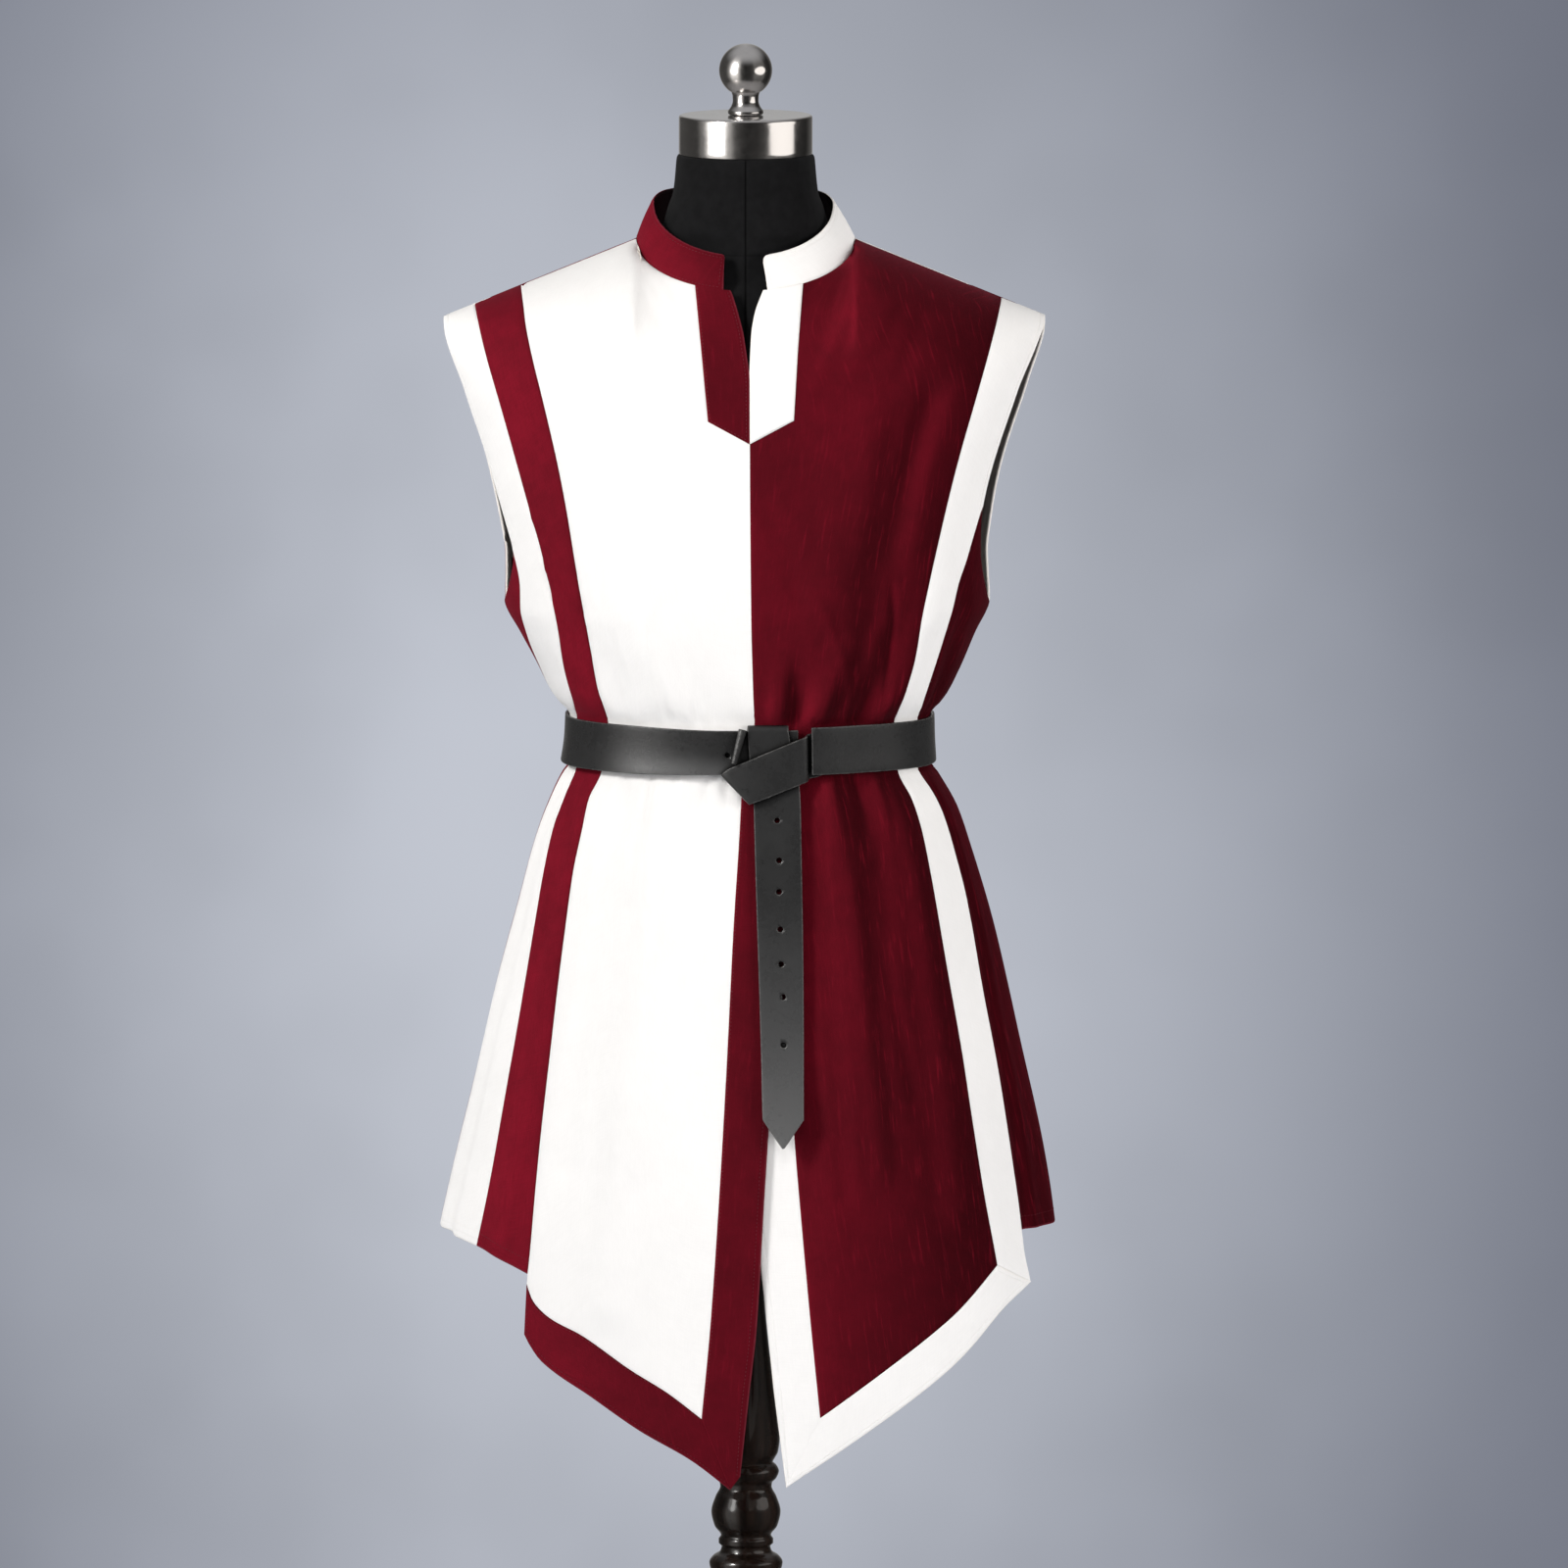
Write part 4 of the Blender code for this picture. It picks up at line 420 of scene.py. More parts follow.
def top_line(x: Array, back: Array | bool) -> tuple[Array, Array]:
    """Height and depth of the neckline or the shoulder seam at distances x.

    Args:
        x: distances from the centre plane.
        back: whether each place is on the back.

    Returns:
        The heights and the depths of the line there.
    """
    share = np.sqrt(np.clip(1 - (x / NECK_HALF) ** 2, 0.0, None))
    shoulder = np.abs(x) >= NECK_HALF
    slope = NECK_SIDE_HEIGHT - SHOULDER_SLOPE * (np.abs(x) - NECK_HALF)
    rise = np.where(back, NECK_BACK_RISE, -NECK_FRONT_DROP) * share
    depth = np.where(back, NECK_BACK, -NECK_FRONT) * share
    return (np.where(shoulder, slope, NECK_SIDE_HEIGHT + rise), np.where(shoulder, 0.0, depth))


class Fold(NamedTuple):
    """One soft fold: where it starts and ends, its reach there and its half width."""

    top_height: float
    top_angle: float
    top_out: float
    low_height: float
    low_angle: float
    low_out: float
    half: float


@dataclass
class CoatSurface:
    """The outer surface of the coat, with its folds, gathers and creases.

    A pair of numbers is the range that the gathers or the ripples are drawn from.
    """

    gathers: int = 74
    gather_steps: tuple[float, float] = (0.55, 1.5)
    gather_lengths: tuple[float, float] = (18.0, 74.0)
    gather_reach: tuple[float, float] = (0.3, 1.3)
    gather_halves: tuple[float, float] = (2.0, 4.4)
    gather_lean: float = 2.4
    gather_far_share: float = 0.05
    ripple_counts: tuple[int, int] = (2, 9)
    ripple_rates: tuple[float, float] = (0.012, 0.05)
    ripple_sizes: tuple[float, float] = (0.4, 1.0)
    ripple: float = 0.42
    ripples: int = 9
    seed: int = 11
    fold_fade: float = 30.0
    crease_fade: float = 26.0
    gather_fade: float = 9.0
    pinch_fade: float = 22.0
    ripple_fade: float = 60.0
    flat_half: float = 48.0
    round_run: float = 68.0
    girth: Girth = field(default_factory=lambda: Girth(SECTIONS))
    folds: list[Fold] = field(default_factory=lambda: [Fold(*row) for row in FOLDS])
    creases: list[Fold] = field(default_factory=list)
    puckers: list[Fold] = field(default_factory=list)
    waves: list[tuple[float, float, float, float]] = field(default_factory=list)

    def __post_init__(self) -> None:
        """Lays the creases on the sections and draws the gathers at the belt."""
        for row in (*FRONT_CREASES, *BACK_CREASES):
            top_x, top, top_out, low_x, low, low_out, half = row
            back = row in BACK_CREASES
            angles = [float(self.girth.angle_of(x, z, back)) for x, z in ((top_x, top), (low_x, low))]
            spread = self.millimetres_per_degree(float(np.mean(angles)), (top + low) / 2)
            self.creases.append(Fold(top, math.degrees(angles[0]), top_out, low,
                                     math.degrees(angles[1]), low_out, half / spread))
        for near_x, far_x, far, out, half in GATHERS:
            near = PINCH_TOP + 2 if far > BELT_HEIGHT else PINCH_LOW - 2
            angles = [float(self.girth.angle_of(x, z)) for x, z in ((far_x, far), (near_x, near))]
            spread = self.millimetres_per_degree(angles[1], near)
            self.pucker((far, math.degrees(angles[0]), 0.0),
                        (near, math.degrees(angles[1]), out), half / spread)
        draw = np.random.default_rng(self.seed)
        for side, near in ((1, PINCH_TOP + 3), (-1, PINCH_LOW - 3)):
            angle = -180.0
            while angle < 180.0:
                angle += draw.uniform(*self.gather_steps) * 720 / self.gathers
                length = draw.uniform(*self.gather_lengths)
                out = draw.choice((-1.0, 1.0)) * draw.uniform(*self.gather_reach)
                half = draw.uniform(*self.gather_halves)
                lean = draw.uniform(-self.gather_lean, self.gather_lean)
                self.pucker((near + side * length, angle + lean, self.gather_far_share * out),
                            (near, angle, out), half)
        for _ in range(self.ripples):
            self.waves.append((draw.integers(*self.ripple_counts), draw.uniform(*self.ripple_rates),
                               draw.uniform(0, math.tau), draw.uniform(*self.ripple_sizes)))

    def pucker(self, far: Place, near: Place, half: float) -> None:
        """Adds a gather that runs to a place near the belt, either from above or below."""
        high, low = (far, near) if far[0] > near[0] else (near, far)
        self.puckers.append(Fold(*high, *low, half))

    def millimetres_per_degree(self, angle: float, height: float) -> float:
        """How long one degree is round the section at a place."""
        step = 0.02
        ends = self.girth.point(np.array([angle - step, angle + step]), np.full(2, height))
        return float(np.linalg.norm(ends[1] - ends[0])) / math.degrees(2 * step)

    @staticmethod
    def pushed(folds: Iterable[Fold], fade: float, angle: Array, height: Array) -> Array:
        """The sum of what some folds add to the surface.

        Args:
            folds: the folds.
            fade: how far a fold fades out past its two ends.
            angle: angles of the places.
            height: heights of the places.

        Returns:
            The reach at each place.
        """
        degrees = np.degrees(angle)
        total = np.zeros(np.broadcast(angle, height).shape)
        for fold in folds:
            length = fold.top_height - fold.low_height
            share = (height - fold.low_height) / length
            within = np.clip(share, 0.0, 1.0)
            past = np.abs(share - within) * length
            middle = lerp(fold.low_angle, fold.top_angle, share)
            away = np.abs((degrees - middle + 180) % 360 - 180)
            near = (past < fade) & (away < fold.half)
            if near.any():
                bell = 0.5 + 0.5 * np.cos(math.pi * away / fold.half)
                reach = lerp(fold.low_out, fold.top_out, within)
                total += np.where(near, reach * bell * (1 - smooth_step(past / fade)), 0.0)
        return total

    def reach(self, angle: Array, height: Array) -> Array:
        """How far folds, creases, gathers and ripples push the cloth out.

        Args:
            angle: angles of the places.
            height: heights of the places.

        Returns:
            The reach at each place, in mm.
        """
        from_belt = np.maximum(height - PINCH_TOP, PINCH_LOW - height)
        loose = lerp(BELT_PINCH, 1.0, smooth_step(from_belt / self.pinch_fade))
        total = loose * (self.pushed(self.folds, self.fold_fade, angle, height)
                         + self.pushed(self.creases, self.crease_fade, angle, height))
        ripple = sum(size * np.sin(count * angle + height * rate + phase)
                     for count, rate, phase, size in self.waves)
        total += self.ripple / 3 * ripple * smooth_step(from_belt / self.ripple_fade)
        free = smooth_step((from_belt + 2) / 6)
        return total + free * self.pushed(self.puckers, self.gather_fade, angle, height)

    def outward(self, angle: Array, height: Array) -> Array:
        """The level directions that point out of the coat's sections."""
        step = 0.004
        run = self.girth.point(angle + step, height) - self.girth.point(angle - step, height)
        return unit(stack(run[..., 1], -run[..., 0], 0.0))

    def point(self, angle: Array, height: Array) -> Array:
        """The points of the coat's outer surface, closed to its top line.

        Args:
            angle: angles from the centre front, positive towards +X.
            height: heights.

        Returns:
            A point for each of them.
        """
        point = self.girth.point(angle, height)
        x = point[..., 0]
        top_height, top_depth = top_line(x, np.cos(angle) < 0)
        left = 1 - np.clip((top_height - height) / SHOULDER_ROUND, 0.0, 1.0)
        forward = lerp(1 - left ** 1.6, np.sqrt(1 - left * left),
                       smooth_step((np.abs(x) - self.flat_half) / self.round_run))
        point[..., 1] = lerp(top_depth, point[..., 1], forward)
        return point + self.outward(angle, height) * self.reach(angle, height)[..., None]


COAT = CoatSurface()
# --- seams and edges ---
def seam(table: Table, index: int, back: bool = False) -> Edge:
    """A seam as a function of height that gives its angle round the coat."""
    curve = column(table, index)
    return lambda height: COAT.girth.angle_of(curve.at(height), height, back)


def armhole(index: int) -> Edge:
    """An armhole's edge, by its column in the table, as a function of height."""
    curve = column(ARMHOLES, index)
    side, back = (-1 if index % 2 else 1), index > 2
    return lambda height: side * COAT.girth.angle_at_depth(
        np.maximum(curve.at(height), 0.0), height, back)


def leaving(lower: Edge, index: int, leaves: float) -> Edge:
    """A seam that runs along an armhole down to a height and leaves it there."""
    edge = armhole(index)
    return lambda height: np.where(height >= leaves, edge(height), lower(height))


def steady(angle: float) -> Edge:
    """An edge that keeps one angle round the coat."""
    return lambda height: np.full(np.shape(height), angle)


LEFT_OUTER, LEFT_INNER, RIGHT_INNER, RIGHT_SIDE_SEAM = (seam(FRONT_SEAMS, k) for k in range(1, 5))
BACK_LEFT_SEAM, BACK_LEFT_INNER, BACK_RIGHT_INNER, BACK_RIGHT_OUTER = (
    seam(BACK_SEAMS, k, True) for k in range(1, 5))
LEFT_FRONT, RIGHT_FRONT = (seam(FRONT_EDGES, k) for k in (1, 2))
LEFT_SLIT, RIGHT_SLIT = (seam(SLIT_EDGES, k) for k in (1, 2))
LEFT_PLACKET, RIGHT_PLACKET = (seam(PLACKET_EDGES, k) for k in (1, 2))
SIDE_ANGLE = column(LEFT_SIDE_SEAM, 1)
RIGHT_OUTER = leaving(RIGHT_SIDE_SEAM, 2, RIGHT_STRIPE_LEAVES)
BACK_LEFT_OUTER = leaving(BACK_LEFT_SEAM, 3, ARM_SEAM_HEIGHT)
RIGHT_SIDE = steady(math.pi / 2)
RIGHT_BACK_EDGE = leaving(RIGHT_SIDE, 4, UNDERARM)


def left_side(height: Array) -> Array:
    """The left side seam below the armhole, as angles at heights."""
    return np.radians(SIDE_ANGLE.at(height))


class Kind(Enum):
    """How an edge is finished, as how deep its last rows of points lie."""

    SEWN = (0.62, 0.24, 0.04)
    FREE = (0.46, 0.12, 0.0)
    LAID = (1.1, 0.3, 0.05)
    MITRED = (0.20, 0.05, 0.0)


# How far in from an edge its rows of points lie, and the columns between those rows.
ROW_AT = (0.0, 0.8, 2.2)
INNER = slice(len(ROW_AT) - 1, 1 - len(ROW_AT))
# A height above every edge, the distance given where no edge is free, and the heights
# between which tops and feet are looked for.
NEVER, FAR_FROM_EDGE = 9999.0, 99.0
SEARCH_TOP, SEARCH_FOOT, SEARCH_ARM = (1330.0, 1450.0), (340.0, 611.0), (1048.0, 1240.0)
SEARCH_PLACKET = (1240.0, 1300.0)


class Kinds(NamedTuple):
    """The kinds of a piece's four edges."""

    first: Kind = Kind.SEWN
    second: Kind = Kind.SEWN
    top: Kind = Kind.SEWN
    foot: Kind = Kind.FREE


class Hold(Enum):
    """How a piece of cloth is held."""

    HUNG = "hung"
    LAID = "laid"
    FOLDED = "folded"


def under_layer(points: Array) -> Array:
    """How deep the right front lies under the left one near the slit."""
    x, height = points[..., 0], points[..., 2]
    deep = (OVERLAP_DEPTH * smooth_step((OVERLAP_TOP - height) / OVERLAP_FADE)
            + OPEN_DEPTH * smooth_step((OPEN_TOP - height) / OPEN_FADE))
    return deep * (1 - smooth_step((x - OVERLAP_HALF) / OVERLAP_HALF))


@dataclass
class Grid:
    """A sheet of cloth as a grid of points on its outer face, column by column."""

    points: Array
    kinds: Kinds
    thickness: float = CLOTH
    lift: float = 0.0
    under: bool = False
    free_above: tuple[float, float] = (NEVER, NEVER)
    hem: float = 0.0
    nose: float = 0.42
    normals: Array = field(init=False)
    outer: Array = field(init=False)
    inner: Array = field(init=False)

    def __post_init__(self) -> None:
        """Finds the normals, then sets the two faces with their edges worked."""
        across = np.gradient(self.points, axis=0)
        down = np.gradient(self.points, axis=1)
        self.normals = unit(np.cross(across, down))
        if (self.normals[..., :2] * self.points[..., :2]).sum() < 0:
            self.normals *= -1.0
        level = self.lift - self.under * under_layer(self.points)[..., None]
        self.points = self.points + self.normals * level
        depth, turned = np.zeros(self.points.shape[:2]), np.zeros(self.points.shape[:2])
        for kind, free, spots in self.borders():
            for spot, closed, opened in zip(spots, kind.value, Kind.FREE.value):
                depth[spot] = np.maximum(depth[spot], np.where(free, opened, closed))
                turned[spot] = np.maximum(turned[spot], np.where(free, opened, 0.0))
        self.outer = self.points - self.normals * depth[..., None]
        wall = self.thickness - turned + self.hem * self.faced()
        self.inner = self.points - self.normals * wall[..., None]

    def faced(self) -> Array:
        """1 on the strip turned in along a free armhole edge, 0 away from it."""
        low = self.points[..., 2] < ARM_FACING_FROM
        far = np.where(low, FAR_FROM_EDGE, self.edge_distance())
        return np.clip((ARM_FACING - far) / 2.0, 0.0, 1.0)

    def borders(self) -> list[tuple[Kind, Array, list[Any]]]:
        """For each edge its kind, where it is free, and its rows, outermost first."""
        height, count = self.points[..., 2], range(len(ROW_AT))
        ends = ((height[0], self.free_above[0]), (height[-1], self.free_above[1]),
                (height[:, 0], NEVER), (height[:, -1], NEVER))
        spots = ([np.s_[k, :] for k in count], [np.s_[-1 - k, :] for k in count],
                 [np.s_[:, k] for k in count], [np.s_[:, -1 - k] for k in count])
        return [(kind, (row > limit) | (kind is Kind.FREE), rows)
                for kind, (row, limit), rows in zip(self.kinds, ends, spots)]

    def rim(self) -> Array:
        """Points midway between the two faces, pushed out to a nose along free edges."""
        middle = (self.outer + self.inner) / 2
        for _, free, spots in self.borders():
            away = unit(self.points[spots[0]] - self.points[spots[1]])
            middle[spots[0]] += away * np.where(free, self.nose, 0.0)[:, None]
        return middle

    def lengths(self) -> tuple[Array, Array]:
        """The lengths along the columns' direction and down the rows, in mm."""
        return along(self.points, 0), along(self.points, 1)

    def flat(self) -> tuple[float, float, float]:
        """Width, length and area of the flat cut, in metres and square metres."""
        across, down = self.lengths()
        p = self.points
        one = np.cross(p[1:, :-1] - p[:-1, :-1], p[:-1, 1:] - p[:-1, :-1])
        two = np.cross(p[1:, 1:] - p[1:, :-1], p[1:, 1:] - p[:-1, 1:])
        area = (np.linalg.norm(one, axis=-1) + np.linalg.norm(two, axis=-1)).sum() / 2
        width, length = across[-1].max() * MM, down[:, -1].max() * MM
        return width, length, min(area * MM * MM, width * length)

    def edge_distance(self) -> Array:
        """How far each point is from the nearest free edge, in mm, if it has one."""
        across, down = self.lengths()
        far = np.full(self.points.shape[:2], FAR_FROM_EDGE)
        away = (across, across[-1:] - across, down, down[:, -1:] - down)
        for (_, free, _), distance, axis in zip(self.borders(), away, (0, 0, 1, 1)):
            far = np.minimum(far, np.where(np.expand_dims(free, axis), distance, FAR_FROM_EDGE))
        return far

    def line(self, side: str, distance: float) -> tuple[Array, Array]:
        """A line on the outer face that runs at a distance from one edge.

        Args:
            side: the edge: first, second, top or foot.
            distance: how far in from it the line runs, in mm.

        Returns:
            The line's points and the face's normals at them.
        """
        grids = [self.outer, self.normals]
        if side in ("top", "foot"):
            grids = [grid.swapaxes(0, 1) for grid in grids]
        if side in ("second", "foot"):
            grids = [grid[::-1] for grid in grids]
        away = along(grids[0], 0)
        points, normals = (np.array([[np.interp(distance, away[:, j], grid[:, j, k])
                                      for k in range(3)] for j in range(grid.shape[1])])
                           for grid in grids)
        return points, normals


def shoulder_top(cut: "Cut") -> Array:
    """Tops on the shoulder seam or the neckline."""
    tops = solve(SEARCH_TOP, lambda height: height > top_line(cut.x_at(height), cut.back)[0], cut.total)
    if cut.wanted is not None:
        tops[INNER] = cut.neck_tops
    return tops


def foot_on(table: Table) -> Callable[["Cut"], Array]:
    """Feet on a lower line."""
    curve = column(table, 1)
    return lambda cut: solve(SEARCH_FOOT, lambda height: height > curve.at(cut.x_at(height)), cut.total)


def level_foot(cut: "Cut") -> Array:
    """Feet at the level of the back's hem."""
    return np.full(cut.total, BACK_HEM)


def armhole_top(start: float, front: int, back: int | None = None) -> Callable[["Cut"], Array]:
    """Tops on an armhole's low curve.

    Args:
        start: the height from which the curve runs down to the underarm.
        front: the armhole's front column in its table.
        back: its back column, or None where the piece ends at the underarm.

    Returns:
        A function that gives the columns' top heights.
    """
    levels = np.array([1201, 1192, 1183, 1174, 1165, 1157, 1150, 1144, 1138, 1132, 1127, 1121.5,
                       1118, 1115.4])
    levels = levels[levels <= start]
    spots = list(zip(armhole(front)(levels), levels))
    spots.append((math.copysign(math.pi / 2, spots[0][0]), UNDERARM))
    if back:
        spots += list(zip(armhole(back)(levels), levels))
    curve = Curve(spots)
    return lambda cut: solve(SEARCH_ARM, lambda height: height > curve.at(cut.angles(height)), cut.total)


@dataclass
class Cut:
    """One cut panel between two seams, from its top line to its foot."""

    node: str
    first: Edge
    second: Edge
    count: int
    foot: Callable[["Cut"], Array] = level_foot
    top: Callable[["Cut"], Array] = shoulder_top
    kinds: Kinds = Kinds()
    neck: bool = False
    under: bool = False
    free_above: tuple[float, float] = (NEVER, NEVER)
    hem: float = 0.0
    pitch: float = 5.0
    morph: float = 130.0
    least_width: float = 12.0
    tops: Array = field(init=False)
    neck_tops: Array = field(init=False)
    wanted: Array | None = field(init=False, default=None)
    width_at: tuple[Array, Array] = field(init=False)

    def __post_init__(self) -> None:
        """Measures the piece's width over height, then places its columns' tops."""
        levels = np.arange(330.0, 1460.0, 10.0)
        shares = np.linspace(0, 1, 13)[:, None]
        angles = lerp(self.first(levels), self.second(levels), shares)
        grid = COAT.girth.point(angles, levels + 0 * shares)
        self.width_at = (levels, np.maximum(along(grid, 0)[-1], self.least_width))
        if self.neck:
            self.spread_on_neck()
        self.tops = self.top(self)

    @property
    def back(self) -> bool:
        """Whether the piece is on the coat's back."""
        return self.node.startswith("back")

    @property
    def high(self) -> bool:
        """Whether the piece reaches the shoulder or the neckline."""
        return self.top is shoulder_top

    @property
    def total(self) -> int:
        """The number of columns, the edges' own ones among them."""
        return self.count + 1 + 2 * (len(ROW_AT) - 1)

    def shares(self, height: Array) -> Array:
        """Each column's share of the way from the first seam to the second.

        Args:
            height: heights, with the columns along the first axis.

        Returns:
            The shares, of the same shape.
        """
        width = np.interp(height, *self.width_at)
        shape = (-1,) + (1,) * (np.ndim(height) - 1)
        middle = np.broadcast_to(np.linspace(0, 1, self.count + 1).reshape(shape),
                                 (self.count + 1, *height.shape[1:]))
        if self.wanted is not None:
            drop = self.neck_tops.reshape(shape) - height[INNER]
            middle = lerp(self.wanted.reshape(shape), middle, smooth_step(drop / self.morph))
        inset = ROW_AT[-1] / width[INNER]
        edges = [ROW_AT[k] / width[k] for k in range(len(ROW_AT) - 1)]
        ends = [1 - ROW_AT[k] / width[-1 - k] for k in range(len(ROW_AT) - 2, -1, -1)]
        return np.concatenate([np.stack(edges), inset + (1 - 2 * inset) * middle, np.stack(ends)])

    def angles(self, height: Array) -> Array:
        """The columns' angles at heights; the columns run along the first axis."""
        return lerp(self.first(height), self.second(height), self.shares(height))

    def x_at(self, height: Array) -> Array:
        """The columns' distances from the centre plane at heights."""
        return COAT.girth.point(self.angles(height), height)[..., 0]

    def spread_on_neck(self) -> None:
        """Spreads the columns along the shoulder and the neckline by true length."""
        ends = []
        for edge in (self.first, self.second):
            height = solve(SEARCH_TOP, lambda h, edge=edge: h > top_line(
                COAT.girth.point(edge(h), h)[..., 0], self.back)[0], 1)
            ends.append(float(COAT.girth.point(edge(height), height)[0, 0]))
        sign = math.copysign(1.0, ends[0])
        end = math.copysign(math.asin(min(1.0, abs(ends[1]) / NECK_HALF)), ends[1] * sign)
        straight, turn = 120, np.linspace(math.pi / 2, end, 400)[1:]
        x = sign * np.concatenate([np.linspace(abs(ends[0]), NECK_HALF, straight),
                                   NECK_HALF * np.sin(turn)])
        height, depth = top_line(x, self.back)
        length = along(stack(x, depth, height), 0)
        corner = length[straight - 1]
        shoulder = max(4, round(self.count * corner / length[-1]))
        wanted = np.concatenate([
            np.linspace(0, corner, shoulder + 1),
            np.linspace(corner, length[-1], self.count - shoulder + 1)[1:]])
        places = np.interp(wanted, length, x)
        self.neck_tops = top_line(places, self.back)[0]
        angle = COAT.girth.angle_of(places, self.neck_tops, self.back)
        first, second = self.first(self.neck_tops), self.second(self.neck_tops)
        share = (angle - first) / (second - first)
        inset = ROW_AT[-1] / np.interp(self.neck_tops, *self.width_at)
        self.wanted = np.clip((share - inset) / (1 - 2 * inset), 0.0, 1.0)

    def heights(self) -> Array:
        """The heights of every point, column by column, from the top down."""
        feet = self.foot(self)[:, None]
        drop = np.array(ROW_AT)
        if self.high:
            turn = np.concatenate([[0.0, 0.006, 0.018], np.linspace(0.045, math.pi / 2, 26)])
            drop = SHOULDER_ROUND * (1 - np.cos(turn))
        upper = self.tops[:, None] - drop
        start, stop = upper[:, -1:], feet + ROW_AT[-1]
        rows = max(3, round(float((start - stop).mean()) / self.pitch))
        lower = start + (stop - start) * np.linspace(0, 1, rows + 1)[1:]
        return np.concatenate([upper, lower, feet + np.array(ROW_AT[-2::-1])], axis=1)

    def grid(self) -> Grid:
        """The piece's sheet of cloth."""
        height = self.heights()
        return Grid(COAT.point(self.angles(height), height), self.kinds, under=self.under,
                    free_above=self.free_above, hem=self.hem)


# --- meshes ---
def set_values(mesh: bpy.types.Mesh, name: str, values: Array) -> None:
    """Gives a mesh one float for each point, under a name that materials read."""
    mesh.attributes.new(name, "FLOAT", "POINT").data.foreach_set(
        "value", np.ascontiguousarray(values, np.float32))


def mesh_object(name: str, points: Array, faces: Iterable[Sequence[int]], finish: "Finish",
                smooth: float = 50.0, node: str | None = None,
                **values: Array) -> Object:
    """A named object that rides on the root body and takes its finish's material.

    Args:
        name: the object's name.
        points: its points, in millimetres.
        faces: its faces, as indices of points.
        finish: what it is finished with.
        smooth: edges sharper than this many degrees stay sharp.
        node: the node that it stands for, if any.
        values: floats for its points, by the names that materials read.

    Returns:
        The object, linked to the scene.
    """
    mesh = bpy.data.meshes.new(name)
    mesh.from_pydata((np.asarray(points) * MM).tolist(), [], [tuple(f) for f in faces])
    work = bmesh.new()
    work.from_mesh(mesh)
    bmesh.ops.recalc_face_normals(work, faces=work.faces)
    work.to_mesh(mesh)
    work.free()
    mesh.shade_smooth()
    mesh.set_sharp_from_angle(angle=math.radians(smooth))
    obj = bpy.data.objects.new(name, mesh)
    bpy.context.scene.collection.objects.link(obj)
    mesh.materials.append(material_of(finish))
    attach(obj, "root")
    if node:
        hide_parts(node)
    for label, value in values.items():
        set_values(mesh, label, value)
    log.info("%s: %d points", name, len(points))
    return obj


def ring_faces(rings: int, steps: int) -> list[tuple[int, ...]]:
    """The faces of a closed skin over rings of points, with a cap at either end."""
    faces = [tuple(range(steps)), tuple(range((rings - 1) * steps, rings * steps))]
    for k in range(0, (rings - 1) * steps, steps):
        for i in range(steps):
            after = (i + 1) % steps
            faces.append((k + i, k + after, k + steps + after, k + steps + i))
    return faces


def cloth_object(node: str, grid: Grid, finish: "Finish") -> Object:
    """A closed wall of cloth from a grid, with its map of thread directions.

    Args:
        node: the node that it stands for.
        grid: the sheet of cloth.
        finish: the cloth that it is cut from.

    Returns:
        The object, with its map and its distances from the free edges.
    """
    columns, rows = grid.points.shape[:2]
    half = columns * rows
    index = np.arange(half).reshape(columns, rows)
    cells = np.stack([index[:-1, :-1], index[1:, :-1], index[1:, 1:], index[:-1, 1:]],
                     axis=-1).reshape(-1, 4)
    border = np.concatenate([index[:-1, 0], index[-1, :-1], index[:0:-1, -1], index[0, :0:-1]])
    after, middle = np.roll(border, -1), 2 * half + np.arange(len(border))
    next_middle = np.roll(middle, -1)
    faces = np.concatenate([
        cells, cells[:, ::-1] + half,
        np.stack([border, middle, next_middle, after], axis=-1),
        np.stack([middle, border + half, after + half, next_middle], axis=-1)])
    outer, inner, rim = (face.reshape(-1, 3) for face in (grid.outer, grid.inner, grid.rim()))
    points = np.concatenate([outer, inner, rim[border]])

    def spread(outer: Array, inner: Array) -> Array:
        """Values for the outer face, the inner face and the border's nose."""
        return np.concatenate([outer, inner, inner[border]])

    edge = grid.edge_distance().ravel()
    # Value 2 marks the collar's inner face for its near-black painted shade.
    inner_face_and_collar_shade = 2.0 if grid.thickness == COLLAR_WALL else 1.0
    # 1 on the inner face, which takes the cloth's inside tone, painted shade on the white cloth; 2 on the
    # collar's inner face for its near-black painted shade.
    inside = np.concatenate([np.zeros(half), np.full(half, inner_face_and_collar_shade), np.full(len(border), 0.4)])
    faced = grid.faced().ravel() if grid.hem else np.zeros(half)
    obj = mesh_object(f"coat_{node}", points, faces.tolist(), finish, 60.0, node,
                      edge=spread(edge, edge), inside=inside, faced=spread(0 * faced, faced))
    across, down = grid.lengths()
    flat = np.stack([across - across[columns // 2], down], axis=-1).reshape(-1, 2) * MM
    corner = np.empty(len(obj.data.loops), np.int32)
    obj.data.loops.foreach_get("vertex_index", corner)
    layer = obj.data.uv_layers.new(name="cloth")
    layer.uv.foreach_set("vector", spread(flat, flat)[corner].astype(np.float32).ravel())
    return obj


